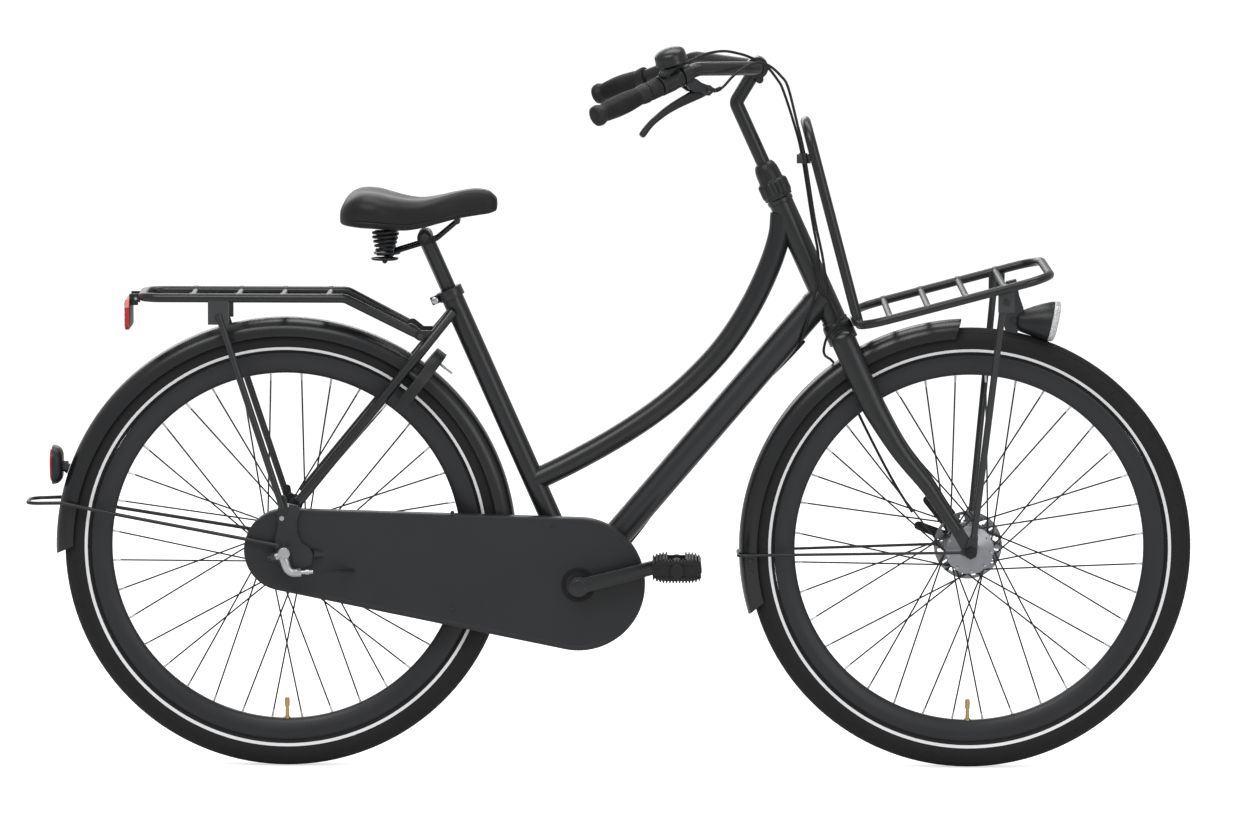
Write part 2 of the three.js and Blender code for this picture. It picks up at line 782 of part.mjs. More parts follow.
// Pedal with a barrel, two end plates and two ribbed rubber blocks.
function pedal(side) {
  const turn = side < 0 ? crankRestAngle : crankRestAngle + 180;
  const centre = onCircle(crankCentre, crankLength, turn);
  const near = Math.min(side * pedalInnerOffset, side * pedalOuterOffset);
  const far = Math.max(side * pedalInnerOffset, side * pedalOuterOffset);
  const barrelRadius = pedalSpindleRadius * 2;
  const capLength = pedalSpindleRadius;
  const plateThickness = pedalSpindleRadius / 2;
  const blockHalfHeight = pedalHeight / 2;
  const blockDepth = pedalLength * 0.3;
  const ribRise = pedalHeight / 16;
  const ribCount = 2;
  const parts = [crossRod(centre.x, centre.z, near, far, barrelRadius, 16)];
  for (const end of [near + capLength, far - capLength - plateThickness]) {
    const half = blockHalfHeight * 0.55;
    const reach = pedalLength / 2 - blockDepth / 3;
    parts.push(
      block(point(centre.x - reach, end, centre.z - half), point(centre.x + reach, end + plateThickness, centre.z + half)),
    );
  }
  const blockLow = near + capLength + plateThickness / 2;
  const blockHigh = far - capLength - plateThickness / 2;
  const ribPitch = (blockHigh - blockLow) / (2 * ribCount - 1);
  for (const fore of [-1, 1]) {
    const inner = centre.x + fore * (pedalLength / 2 - blockDepth);
    const outer = centre.x + fore * (pedalLength / 2);
    const [low, high] = [Math.min(inner, outer), Math.max(inner, outer)];
    const body = blockHalfHeight - ribRise;
    parts.push(block(point(low, blockLow, centre.z - body), point(high, blockHigh, centre.z + body)));
    for (let i = 0; i < ribCount; i += 1) {
      const from = blockLow + ribPitch * 2 * i;
      parts.push(
        block(
          point(low + ribRise, from, centre.z - blockHalfHeight),
          point(high - ribRise, from + ribPitch, centre.z + blockHalfHeight),
        ),
      );
    }
  }
  const bore = crossRod(
    centre.x,
    centre.z,
    side < 0 ? near + capLength : near - overrun,
    side < 0 ? far + overrun : far - capLength,
    pedalSpindleRadius + seatGap * 2,
    smallSides,
  );
  return cut(join(...parts), bore);
}

// Chaincase: a closed outer wall and rim with a narrow lip at the back.
function chaincase() {
  const outline = (inset) => {
    const span = crankCentre.clone().sub(rearAxle);
    const tilt = Math.atan2(span.z, span.x) / degree;
    const lean = Math.asin((caseFrontRadius - caseRearRadius) / span.length()) / degree;
    const points = [];
    const frontSweep = 180 + 2 * lean;
    const rearSweep = 180 - 2 * lean;
    for (let i = 0; i <= 14; i += 1) {
      points.push(onCircle(crankCentre, caseFrontRadius - inset, tilt - 90 - lean + (frontSweep * i) / 14));
    }
    for (let i = 0; i <= 8; i += 1) {
      points.push(onCircle(rearAxle, caseRearRadius - inset, tilt + 90 + lean + (rearSweep * i) / 8));
    }
    return sideView(points);
  };
  const shell = plate(outline(0), -caseOuterOffset, -caseInnerOffset);
  const hollow = plate(outline(caseWall), -caseOuterOffset + caseWall, -caseInnerOffset - caseWall);
  const back = plate(outline(caseLip), -caseInnerOffset - caseWall - overrun, -caseInnerOffset + overrun);
  const seam = cut(
    plate(outline(caseSeamWidth), -caseOuterOffset - caseSeamRise, -caseOuterOffset + caseWall / 2),
    plate(outline(caseSeamWidth * 1.8), -caseOuterOffset - overrun, -caseOuterOffset + overrun),
  );
  const crankHole = crossRod(
    crankCentre.x,
    crankCentre.z,
    -caseOuterOffset - overrun,
    -caseInnerOffset,
    caseCrankHole,
    20,
  );
  return cut(join(cut(shell, hollow, back), seam), crankHole, ...caseHoles());
}

// Holes in the outer wall: one behind the dropout plate, and one for the shift cable.
function caseHoles() {
  const wall = [-caseOuterOffset - overrun, -caseOuterOffset + overrun];
  const slotHeight = caseRearRadius * 0.42;
  const slotFrom = rearAxle.clone().add(point(-caseRearRadius * 0.2, 0, 0));
  const slotTo = rearAxle.clone().add(point(caseRearRadius * 1.05, 0, -caseRearRadius * 0.04));
  const slot = plate(sideView(taperedOutline(slotFrom, slotHeight / 2, slotTo, slotHeight / 2)), ...wall);
  const cableHole = crossRod(shiftCableHole.x, shiftCableHole.z, ...wall, shiftCableHoleRadius, smallSides);
  return [slot, cableHole];
}

// A bar in the side view whose half width and half depth change along it.
function blade(points, halfWidths, halfDepths, side = 0, sides = tubeSides) {
  const centres = points.map((p) => (side ? p.clone().setY(p.y) : p));
  const rings = centres.map((centre, i) => {
    const before = centres[Math.max(i - 1, 0)];
    const after = centres[Math.min(i + 1, centres.length - 1)];
    const along = after.clone().sub(before).normalize();
    const across = point(0, 1, 0).addScaledVector(along, -along.y).normalize();
    const deep = along.clone().cross(across);
    const ring = [];
    for (let k = 0; k < sides; k += 1) {
      const turn = ((k + 1 / 2) * 2 * Math.PI) / sides;
      ring.push(
        centre
          .clone()
          .addScaledVector(across, halfWidths[i] * Math.cos(turn))
          .addScaledVector(deep, halfDepths[i] * Math.sin(turn)),
      );
    }
    return ring;
  });
  return loft(rings);
}

// Side-view places of the curved main tube: shares along the line between its ends, and of its sag.
const mainTubeSag = 78;
const mainTubeShares = [
  [0, 0],
  [0.05, 0.28],
  [0.13, 0.56],
  [0.24, 0.82],
  [0.36, 0.98],
  [0.48, 1],
  [0.61, 0.9],
  [0.75, 0.66],
  [0.89, 0.32],
  [1, 0],
];
const mainTubeHeadHeight = 616;
const mainTubeSeatLength = 176;
const downTubeHeadHeight = 468;

function mainTube() {
  const head = steer(-headTubeRadius / 3, 0, mainTubeHeadHeight);
  const seat = onSeatTube(mainTubeSeatLength);
  const line = seat.clone().sub(head).normalize();
  const inward = point(line.z, 0, -line.x);
  const lowered = inward.z < 0 ? inward : inward.negate();
  const centres = mainTubeShares.map(([along, sag]) =>
    lengthwise(head, seat, along).addScaledVector(lowered, mainTubeSag * sag),
  );
  const radii = centres.map((_, i) => (i === 0 ? topTubeRadius * 0.6 : topTubeRadius));
  return blade(centres, radii, radii, 0, 10);
}

const seatStayTop = 475;
const seatStayShares = [
  [0, 0.3],
  [0.2, 0.7],
  [0.44, 0.8],
  [1, 1],
];
const dropoutMiddle = rearDropoutHalfSpacing + rearDropoutThickness / 2;
const dropoutSize = 84;
const dropoutShares = [
  [-0.185, -0.13],
  [-0.185, 0.52],
  [0.03, 0.98],
  [0.39, 1],
  [0.565, 0.64],
  [0.73, 0.11],
  [0.71, -0.25],
  [0.21, -0.31],
  [-0.125, -0.25],
];

// A place on a seat stay: side is 1 on the left, and the share runs from top to dropout.
function onSeatStay(side, share) {
  const top = onSeatTube(seatStayTop).add(point(-seatTubeRadius / 2, 0, 0));
  const foot = rearAxle.clone().add(point(dropoutSize * 0.27, 0, dropoutSize * 0.95));
  const place = lengthwise(top, foot, share);
  let spread = 1;
  for (let i = 0; i + 1 < seatStayShares.length; i += 1) {
    const [from, near] = seatStayShares[i];
    const [to, far] = seatStayShares[i + 1];
    if (share >= from && share <= to) spread = near + ((far - near) * (share - from)) / (to - from);
  }
  return place.setY(side * dropoutMiddle * spread);
}

function seatStay(side) {
  const corners = seatStayShares.map(([share]) => onSeatStay(side, share));
  return tubeAlong(filleted(corners, seatStayRadius * 6, 1), seatStayRadius, smallSides);
}

const chainStayShares = [
  [0.03, 0.34],
  [0.131, 0.46],
  [0.25, 0.56],
];

function onChainStay(side, along, spread) {
  return lengthwise(crankCentre, rearAxle, along).setY(side * dropoutMiddle * spread);
}

// The right stay ends inside the chaincase, and a short strut leads from it to the dropout.
function chainStay(side) {
  const end = side < 0 ? onChainStay(side, 0.856, 0.7) : onChainStay(side, 0.88, 1);
  const corners = [...chainStayShares.map(([along, spread]) => onChainStay(side, along, spread)), end];
  return tubeAlong(filleted(corners, chainStayRadius * 5, 1), chainStayRadius, smallSides);
}

function dropout(side) {
  const outline = dropoutShares.map(([x, z]) =>
    point(rearAxle.x + dropoutSize * x, 0, rearAxle.z + dropoutSize * z),
  );
  const near = side * rearDropoutHalfSpacing;
  const far = side * (rearDropoutHalfSpacing + rearDropoutThickness);
  const [low, high] = [Math.min(near, far), Math.max(near, far)];
  const flat = plate(sideView(outline), low, high);
  const hole = crossRod(rearAxle.x, rearAxle.z, low - overrun, high + overrun, axleRadius + seatGap * 2);
  return cut(flat, hole);
}

// Kickstand hanger under the left chain stay, with the pin that the leg turns on.
const standPivotBack = 61;
const standPivotDrop = 12;
const standSide = 52;
const standLegLength = 255;
const standLegRadius = 7.5;
const standPinRadius = 5;
const standPivot = crankCentre.clone().add(point(-standPivotBack, 0, -standPivotDrop));

function standHanger() {
  const inner = standSide - standLegRadius - standLegRadius;
  const outer = standSide - standLegRadius - seatGap;
  const half = standLegRadius * 1.6;
  const web = block(
    point(standPivot.x - half, inner, standPivot.z - half),
    point(standPivot.x + half, outer, standPivot.z + half * 1.2),
  );
  const foot = block(
    point(standPivot.x - half, dropoutMiddle * 0.4, standPivot.z + half * 0.7),
    point(standPivot.x + half, outer, standPivot.z + half * 1.2),
  );
  const pin = crossRod(standPivot.x, standPivot.z, inner, standSide + standLegRadius + seatGap, standPinRadius);
  const head = crossRod(
    standPivot.x,
    standPivot.z,
    standSide + standLegRadius + seatGap,
    standSide + standLegRadius + standPinRadius / 2,
    standPinRadius * 1.6,
  );
  return join(web, foot, pin, head);
}

function kickstandLeg() {
  const eyeRadius = standPinRadius * 2.2;
  const low = standSide - standLegRadius;
  const high = standSide + standLegRadius;
  const eye = crossRod(standPivot.x, standPivot.z, low, high, eyeRadius, tubeSides);
  const hole = crossRod(
    standPivot.x,
    standPivot.z,
    low - overrun,
    high + overrun,
    roundBore(standPinRadius, smallSides),
  );
  const start = standPivot.clone().setY(standSide);
  const end = start.clone().add(point(-standLegLength, 0, -seatGap));
  const toe = end.clone().add(point(-standLegRadius * 3, 0, standLegRadius));
  const leg = tubeAlong(filleted([start, end, toe], standLegRadius * 2, 2), standLegRadius);
  const foot = rod(end, toe.clone().add(point(-standLegRadius, 0, standLegRadius / 3)), standLegRadius * 1.35);
  return cut(join(eye, leg, foot), hole);
}

const bridgeShare = 0.17;
const bridgeRadius = 6;
const rackLugBack = 22;
const rackLugShare = 0.12;
const rackLugThickness = 4;

// The ear on each seat stay that the rear carrier is bolted to.
function rackLug(side) {
  const root = onSeatStay(side, rackLugShare);
  const outer = Math.abs(root.y) + seatStayRadius / 2;
  const end = root.clone().add(point(-rackLugBack, 0, 0));
  const outline = taperedOutline(root, seatStayRadius, end, seatStayRadius);
  const [low, high] = side < 0 ? [-outer, -outer + rackLugThickness] : [outer - rackLugThickness, outer];
  return plate(sideView(outline), low, high);
}

function frame() {
  const headTube = rod(steer(0, 0, headTubeFoot), steer(0, 0, headTubeTop), headTubeRadius, 14);
  const downTube = rod(steer(0, 0, downTubeHeadHeight), crankCentre, downTubeRadius, 12);
  const seatTube = rod(crankCentre, onSeatTube(seatTubeLength), seatTubeRadius, 12);
  const shell = crossRod(crankCentre.x, crankCentre.z, -shellHalfWidth, shellHalfWidth, shellRadius, 12);
  const strutFrom = onChainStay(-1, 0.85, 0.69);
  const strutTo = rearAxle.clone().add(point(dropoutSize * 0.52, -dropoutMiddle, -dropoutSize * 0.05));
  const strut = rod(strutFrom, strutTo, chainStayRadius * 0.78);
  const bridgePlace = onSeatStay(1, bridgeShare);
  const bridgeHalf = bridgePlace.y - seatStayRadius / 2;
  const bridge = crossRod(bridgePlace.x, bridgePlace.z, -bridgeHalf, bridgeHalf, bridgeRadius);
  const whole = join(
    headTube,
    downTube,
    mainTube(),
    seatTube,
    shell,
    seatStay(-1),
    seatStay(1),
    chainStay(-1),
    chainStay(1),
    dropout(-1),
    dropout(1),
    strut,
    bridge,
    standHanger(),
    rackLug(-1),
    rackLug(1),
  );
  const headBore = rod(
    steer(0, 0, headTubeFoot - overrun),
    steer(0, 0, headTubeTop + overrun),
    headTubeBore,
    tubeSides,
  );
  const boreFoot = seatpostTop - seatpostInsertion - (seatpostTop - seatTubeLength);
  const seatBore = rod(onSeatTube(boreFoot - seatpostRadius * 5), onSeatTube(seatTubeLength + overrun), seatTubeBore, tubeSides);
  const shellBore = crossRod(
    crankCentre.x,
    crankCentre.z,
    -shellHalfWidth - overrun,
    shellHalfWidth + overrun,
    roundBore(spindleRadius),
    tubeSides,
  );
  return cut(whole, headBore, seatBore, shellBore);
}

// Rear axle with nuts, the shift lever box on the right and the brake arm on the left.
const axleSleeveRadius = rearHubBore - seatGap;
const shiftBoxRadius = 10;
const shiftBoxLength = 22;
const brakeArmReach = 152;
const brakeArmWidth = 15;
const brakeArmThickness = 3.5;
const shiftCableHole = rearAxle.clone().add(point(109.5, 0, -32));
const shiftCableHoleRadius = 7.5;
const shiftCableEnd = rearAxle.clone().add(point(53, -84, -30));

function rearAxlePiece() {
  const dropoutOuter = rearDropoutHalfSpacing + rearDropoutThickness;
  const nutLow = dropoutOuter + seatGap;
  const nutHigh = nutLow + axleNutThickness;
  const rodWhole = crossRod(rearAxle.x, rearAxle.z, -nutHigh, nutHigh + axleRadius / 2, axleRadius);
  const sleeveHalf = rearDropoutHalfSpacing - seatGap;
  const sleeve = crossRod(rearAxle.x, rearAxle.z, -sleeveHalf, sleeveHalf, axleSleeveRadius, tubeSides);
  const rightNut = sideNut(rearAxle, -nutHigh, -nutLow, axleNutWidth);
  const leftNut = sideNut(rearAxle, nutLow, nutHigh, axleNutWidth);
  const box = crossRod(rearAxle.x, rearAxle.z, -nutHigh - shiftBoxLength, -nutHigh, shiftBoxRadius, tubeSides);
  const boxRoot = rearAxle.clone().setY(-nutHigh - shiftBoxLength / 2);
  const boxArm = rod(boxRoot, shiftCableEnd, shiftBoxRadius * 0.62, smallSides, shiftBoxRadius * 0.4);
  const coverLow = rearHubHalfWidth + seatGap;
  const coverHigh = coverLow + brakeArmThickness * 3.4;
  const cover = crossRod(rearAxle.x, rearAxle.z, coverLow, coverHigh, rearBarrelRadius * 0.9, 14);
  const armDrop = chainStayRadius + brakeArmWidth / 2 + seatGap * 2;
  const armEnd = onChainStay(1, 1 - brakeArmReach / chainstayLength, 1).add(point(0, 0, -armDrop));
  const armOutline = taperedOutline(rearAxle, brakeArmWidth * 0.8, armEnd, brakeArmWidth / 2, 4);
  const arm = plate(sideView(armOutline), coverHigh - brakeArmThickness, coverHigh);
  return join(rodWhole, sleeve, rightNut, leftNut, box, boxArm, cover, arm);
}

// Clamp round the seat tube's mouth, with two ears and a bolt behind.
const clampHeight = 16;
const clampWall = 4;
const clampEarReach = 16;
const clampEarGap = 3;

function seatClamp() {
  const foot = onSeatTube(seatTubeLength - clampHeight);
  const top = onSeatTube(seatTubeLength);
  const outer = rod(foot, top, seatTubeRadius + clampWall, 12);
  const inner = rod(
    onSeatTube(seatTubeLength - clampHeight - overrun),
    onSeatTube(seatTubeLength + overrun),
    seatTubeRadius + seatGap,
    12,
  );
  const back = point(-seatTubeUp.z, 0, seatTubeUp.x);
  const middle = onSeatTube(seatTubeLength - clampHeight / 2);
  const root = middle.clone().addScaledVector(back, seatTubeRadius + clampWall / 2);
  const tip = middle.clone().addScaledVector(back, seatTubeRadius + clampEarReach);
  const ears = [-1, 1].map((side) => {
    const offset = point(0, side * (clampEarGap / 2 + clampWall / 2), 0);
    return flatBar(root.clone().add(offset), tip.clone().add(offset), clampWall, clampHeight * 0.8);
  });
  const boltPlace = middle.clone().addScaledVector(back, seatTubeRadius + clampEarReach * 0.6);
  const reach = clampEarGap / 2 + clampWall;
  const bolt = crossRod(boltPlace.x, boltPlace.z, -reach * 1.8, reach * 1.8, clampHeight * 0.22);
  const head = crossRod(boltPlace.x, boltPlace.z, -reach * 2, -reach, clampHeight * 0.36);
  const nut = crossRod(boltPlace.x, boltPlace.z, reach, reach * 1.9, clampHeight * 0.36, 6);
  return join(cut(outer, inner), ...ears, bolt, head, nut);
}

// Seatpost with a cross barrel at the top that the saddle clamp turns on.
const postBarrelRadius = 10;
const postBarrelHalfWidth = 13;
const saddleBoltRadius = 4;
const saddlePivot = onSeatTube(seatpostTop - postBarrelRadius / 2);

function seatpost() {
  const foot = seatpostTop - (seatpostTop - seatTubeLength) - seatpostInsertion;
  const post = rod(onSeatTube(foot), onSeatTube(seatpostTop - postBarrelRadius / 2), seatpostRadius, tubeSides);
  const barrel = crossRod(
    saddlePivot.x,
    saddlePivot.z,
    -postBarrelHalfWidth,
    postBarrelHalfWidth,
    postBarrelRadius * 1.2,
    tubeSides,
  );
  const hole = crossRod(
    saddlePivot.x,
    saddlePivot.z,
    -postBarrelHalfWidth - overrun,
    postBarrelHalfWidth + overrun,
    roundBore(saddleBoltRadius, smallSides),
    smallSides,
  );
  return cut(join(post, barrel), hole);
}

// A mudguard: a thin channel round the tyre, from one angle about the axle to another.
const guardSectionShares = [
  [1, 0],
  [0.95, 0.52],
  [0.62, 0.9],
  [0, 1],
];

function mudguard(centre, fromAngle, toAngle, steps) {
  const places = (inset) => {
    const half = guardHalfWidth - inset;
    const crown = guardRadius - inset;
    const right = guardSectionShares.map(([wide, rise]) => [-half * wide, crown - guardDepth * (1 - rise)]);
    const left = guardSectionShares.slice(0, -1).map(([wide, rise]) => [half * wide, crown - guardDepth * (1 - rise)]);
    return [...right, ...left.reverse()];
  };
  const outer = places(0);
  const inner = places(guardWall).map(([y, r], i, all) => {
    const end = i === 0 || i === all.length - 1;
    return [y, end ? outer[0][1] : r];
  });
  const outline = [...outer, ...inner.reverse()];
  const section = outline.map(([y, r]) => new THREE.Vector2(y, r));
  const rings = [];
  for (let i = 0; i <= steps; i += 1) {
    const angle = fromAngle + ((toAngle - fromAngle) * i) / steps;
    rings.push(outline.map(([y, r]) => onCircle(centre, r, angle, y)));
  }
  return loft(rings, section);
}

const rearGuardFrom = -3;
const rearGuardTo = 181;
const frontGuardFrom = 92.4;
const frontGuardTo = 197;
const guardStayAngle = 181.5;

const rearGuardSteps = 18;
const frontGuardSteps = 10;
const guardSeatRadius = 7;

// The radius from an axle at which a faceted guard's crown lies between two of its rings.
const guardFlat = (sweep, steps) => guardRadius * Math.cos((sweep / steps / 2) * degree);

// The rear guard has a seat against the seat stay bridge, and a lug on each side for the wire loop.
function rearMudguard() {
  const bridge = onSeatStay(1, bridgeShare).setY(0);
  const away = bridge.clone().sub(rearAxle);
  const bridgeGap = bridgeRadius + seatGap;
  const inner = rearAxle.clone().addScaledVector(away, (guardRadius - guardWall * 2) / away.length());
  const outer = rearAxle.clone().addScaledVector(away, 1 - bridgeGap / away.length());
  const seat = rod(inner, outer, guardSeatRadius, smallSides);
  const lugs = [-1, 1].map((side) => {
    const root = onCircle(rearAxle, stayLugRadius, stayLugAngle, side * (guardHalfWidth - guardWall));
    const tip = root.clone().setY(side * stayLugReach);
    return rod(root, tip, guardSeatRadius / 2, smallSides);
  });
  return join(mudguard(rearAxle, rearGuardFrom, rearGuardTo, rearGuardSteps), seat, ...lugs);
}

// The front guard has a seat against the underside of the fork crown.
function frontMudguard() {
  const away = steer(0, 0, forkCrownHeight).sub(frontAxle);
  const crownGap = forkRodRadius + seatGap;
  const inner = frontAxle.clone().addScaledVector(away, (guardRadius - guardWall * 2) / away.length());
  const outer = frontAxle.clone().addScaledVector(away, 1 - crownGap / away.length());
  const seat = rod(inner, outer, guardSeatRadius, smallSides);
  return join(mudguard(frontAxle, frontGuardFrom, frontGuardTo, frontGuardSteps), seat);
}

// One wire from each end of the axle, joined by a strap round the front guard's tail.
function frontGuardStays() {
  const eyeRadius = axleRadius * 2;
  const inner = frontDropoutHalfSpacing + frontDropoutThickness + seatGap;
  const thickness = guardStayRadius * 0.6;
  const wide = guardHalfWidth + guardStayRadius + seatGap;
  const flat = guardFlat(frontGuardTo - frontGuardFrom, frontGuardSteps);
  const crown = flat + guardStayRadius + seatGap;
  const half = (side) => {
    const root = onCircle(frontAxle, eyeRadius * 1.5, guardStayAngle, side * (inner + thickness / 2));
    const near = onCircle(frontAxle, guardRadius * 0.8, guardStayAngle, side * (wide + guardStayRadius));
    const corner = onCircle(frontAxle, crown, guardStayAngle, side * wide);
    return [root, near, corner];
  };
  const eyes = [-1, 1].map((side) => {
    const [low, high] = side < 0 ? [-inner - thickness, -inner] : [inner, inner + thickness];
    const neck = onCircle(frontAxle, eyeRadius * 1.8, guardStayAngle);
    return cut(
      plate(sideView(taperedOutline(frontAxle, eyeRadius, neck, guardStayRadius)), low, high),
      crossRod(frontAxle.x, frontAxle.z, low - overrun, high + overrun, axleRadius + seatGap),
    );
  });
  const wire = tubeAlong([...half(-1), ...half(1).reverse()], guardStayRadius, 6);
  return join(eyes[0], wire, eyes[1]);
}

// The wire loop from the rear dropouts round the back of the rear guard.
const stayLoopWide = 38;
const stayLoopRise = 71.5;
const stayLugAngle = 168.9;
const stayLugRadius = 352;
const stayLugReach = 35;

function rearGuardStay() {
  const outer = rearDropoutHalfSpacing + rearDropoutThickness + seatGap;
  const back = rearAxle.x - stayLoopReach + stayLoopRadius;
  const root = rearAxle.clone().add(point(-dropoutSize * 0.14, 0, dropoutSize * 0.12));
  const half = (side) => [
    root.clone().setY(side * (outer + stayLoopRadius)),
    point(rearAxle.x - guardRadius * 0.73, side * stayLoopWide * 1.08, rearAxle.z + stayLoopRise * 0.77),
    point(rearAxle.x - guardRadius * 0.97, side * stayLoopWide, rearAxle.z + stayLoopRise * 1.02),
    point(back, side * stayLoopWide * 0.86, rearAxle.z + stayLoopRise),
  ];
  const wire = tubeAlong(
    filleted([...half(-1), ...half(1).reverse()], stayLoopWide * 0.5, 3),
    stayLoopRadius,
    6,
  );
  const eyes = [-1, 1].map((side) => {
    const [low, high] = side < 0 ? [-outer - stayLoopRadius, -outer] : [outer, outer + stayLoopRadius];
    return crossRod(root.x, root.z, low, high, axleRadius, tubeSides);
  });
  return join(wire, ...eyes);
}

// Fork: steerer, crown, two bowed blades and flat dropouts. Shares run down the blade.
const forkCrownRadius = 24;
const forkRodRadius = 18;
const forkBladeDepth = 19.5;
const forkBladeWidth = 12;
const forkBladeShares = [
  [1, 0, 1, 1, 0],
  [0.745, 0, 0.98, 1, 0.25],
  [0.65, 0.04, 0.9, 0.95, 0.4],
  [0.485, 0.22, 0.73, 0.84, 0.64],
  [0.32, 0.57, 0.6, 0.65, 0.98],
  [0.2, 0.74, 0.53, 0.62, 1],
  [0.105, 0.88, 0.48, 0.62, 1],
];
const forkTabHeight = 58;
const forkTabWidth = 21;
const forkFootSpread = 54.6;

function forkBlade(side) {
  const centres = forkBladeShares.map(([height, rake, , , spread]) =>
    steer(
      forkRake * rake,
      side * (forkTopSpread + (forkFootSpread - forkTopSpread) * spread),
      forkCrownHeight * height,
    ),
  );
  const depths = forkBladeShares.map(([, , depth]) => forkBladeDepth * depth);
  const widths = forkBladeShares.map(([, , , width]) => forkBladeWidth * width);
  return blade(centres, widths, depths, 0, smallSides);
}

function forkTab(side) {
  const near = side * frontDropoutHalfSpacing;
  const far = side * (frontDropoutHalfSpacing + frontDropoutThickness);
  const [low, high] = [Math.min(near, far), Math.max(near, far)];
  const top = steer(forkRake * 0.85, 0, forkTabHeight);
  const outline = taperedOutline(frontAxle, forkTabWidth / 2, top, forkTabWidth * 0.44);
  const hole = crossRod(frontAxle.x, frontAxle.z, low - overrun, high + overrun, axleRadius + seatGap * 2);
  return cut(plate(sideView(outline), low, high), hole);
}

function fork() {
  const steerer = rod(
    steer(0, 0, forkCrownHeight),
    steer(0, 0, headTubeTop + steererRadius),
    steererRadius,
    tubeSides,
  );
  const crownTop = steer(0, 0, headTubeFoot - seatGap * 1.3);
  const crown = rod(steer(0, 0, forkCrownHeight), crownTop, forkCrownRadius, 12);
  const crossPlace = steer(0, 0, forkCrownHeight);
  const cross = crossRod(crossPlace.x, crossPlace.z, -forkTopSpread, forkTopSpread, forkRodRadius, 12);
  const bore = rod(
    steer(0, 0, headTubeTop - stemTop * 0.17),
    steer(0, 0, headTubeTop + overrun * 4),
    stemRadius + seatGap,
    tubeSides,
  );
  return cut(join(steerer, crown, cross, forkBlade(-1), forkBlade(1), forkTab(-1), forkTab(1)), bore);
}

// Front axle with its cones and nuts.
const carrierLegThickness = 2.9;

function frontAxlePiece() {
  const outer = frontDropoutHalfSpacing + frontDropoutThickness;
  const nutLow = outer + guardStayRadius * 0.6 + carrierLegThickness + seatGap * 4;
  const nutHigh = nutLow + axleNutThickness;
  const stub = crossRod(frontAxle.x, frontAxle.z, -nutHigh, nutHigh, axleRadius);
  const sleeveHalf = frontDropoutHalfSpacing - seatGap;
  const sleeve = crossRod(frontAxle.x, frontAxle.z, -sleeveHalf, sleeveHalf, axleSleeveRadius, tubeSides);
  const nuts = [
    sideNut(frontAxle, -nutHigh, -nutLow, axleNutWidth),
    sideNut(frontAxle, nutLow, nutHigh, axleNutWidth),
  ];
  return join(stub, sleeve, ...nuts);
}

// The fixed cover of the front drum, with its arm up the left blade and the cable lever.
const coverArmRise = 92;
const coverArmWidth = 14;
const coverLeverReach = 60;

function brakeArm() {
  const low = frontHubHalfWidth + discThickness + drumDepth + seatGap * 2;
  const high = low + brakeCoverThickness;
  const cover = crossRod(frontAxle.x, frontAxle.z, low, high, brakeCoverRadius, 16);
  const armEnd = steer(forkRake * 0.35, 0, coverArmRise);
  const arm = plate(sideView(taperedOutline(frontAxle, coverArmWidth, armEnd, coverArmWidth / 2)), low, high);
  const leverEnd = steer(-forkRake * 0.3, 0, coverLeverReach);
  const lever = plate(
    sideView(taperedOutline(frontAxle, coverArmWidth * 0.6, leverEnd, coverArmWidth / 2)),
    low,
    high,
  );
  const hole = crossRod(
    frontAxle.x,
    frontAxle.z,
    low - overrun,
    high + overrun,
    axleSleeveRadius + seatGap,
    tubeSides,
  );
  return cut(join(cover, arm, lever), hole);
}

// Threaded collar over the head tube, with a ribbed grip ring and a cap round the stem.
const collarFoot = 640.4;
const collarHeight = 41.6;
const collarRadius = 24.5;
const collarCapHeight = 20;
const collarCapRadius = 16.5;
const collarRibs = 10;
const collarWall = 3;

function headsetCollar() {
  const ribbed = new THREE.Shape();
  for (let i = 0; i < collarRibs; i += 1) {
    [0, 0.5].forEach((share, corner) => {
      const turn = ((i + share) * 2 * Math.PI) / collarRibs;
      const radius = corner < 1 ? collarRadius : collarRadius * 0.92;
      const place = [radius * Math.cos(turn), radius * Math.sin(turn)];
      if (i === 0 && corner === 0) ribbed.moveTo(...place);
      else ribbed.lineTo(...place);
    });
  }
  const geometry = new THREE.ExtrudeGeometry(ribbed, { depth: collarHeight, bevelEnabled: false });
  const upright = new THREE.Quaternion().setFromUnitVectors(point(0, 0, 1), steeringUp);
  geometry.applyQuaternion(upright);
  geometry.translate(...steer(0, 0, collarFoot).toArray());
  const top = collarFoot + collarHeight;
  const cap = rod(
    steer(0, 0, top - collarWall),
    steer(0, 0, top + collarCapHeight),
    collarCapRadius * 1.15,
    12,
    collarCapRadius * 0.9,
  );
  const bore = rod(
    steer(0, 0, collarFoot - overrun),
    steer(0, 0, headTubeTop + steererRadius + seatGap * 2),
    steererRadius + seatGap,
    tubeSides,
  );
  const stemBore = rod(
    steer(0, 0, collarFoot),
    steer(0, 0, top + collarCapHeight + overrun),
    stemRadius + seatGap,
    tubeSides,
  );
  return cut(join(solidOf(geometry), cap), bore, stemBore);
}

// Quill stem: a tall pillar that leans into a clamp round the handlebar.
const stemFoot = 560;
const stemHalfThickness = 12;
const barClampRadius = 18;
const barClampHalfWidth = 17;
const barCentre = steer(stemReach - stemRadius, 0, barClampHeight);

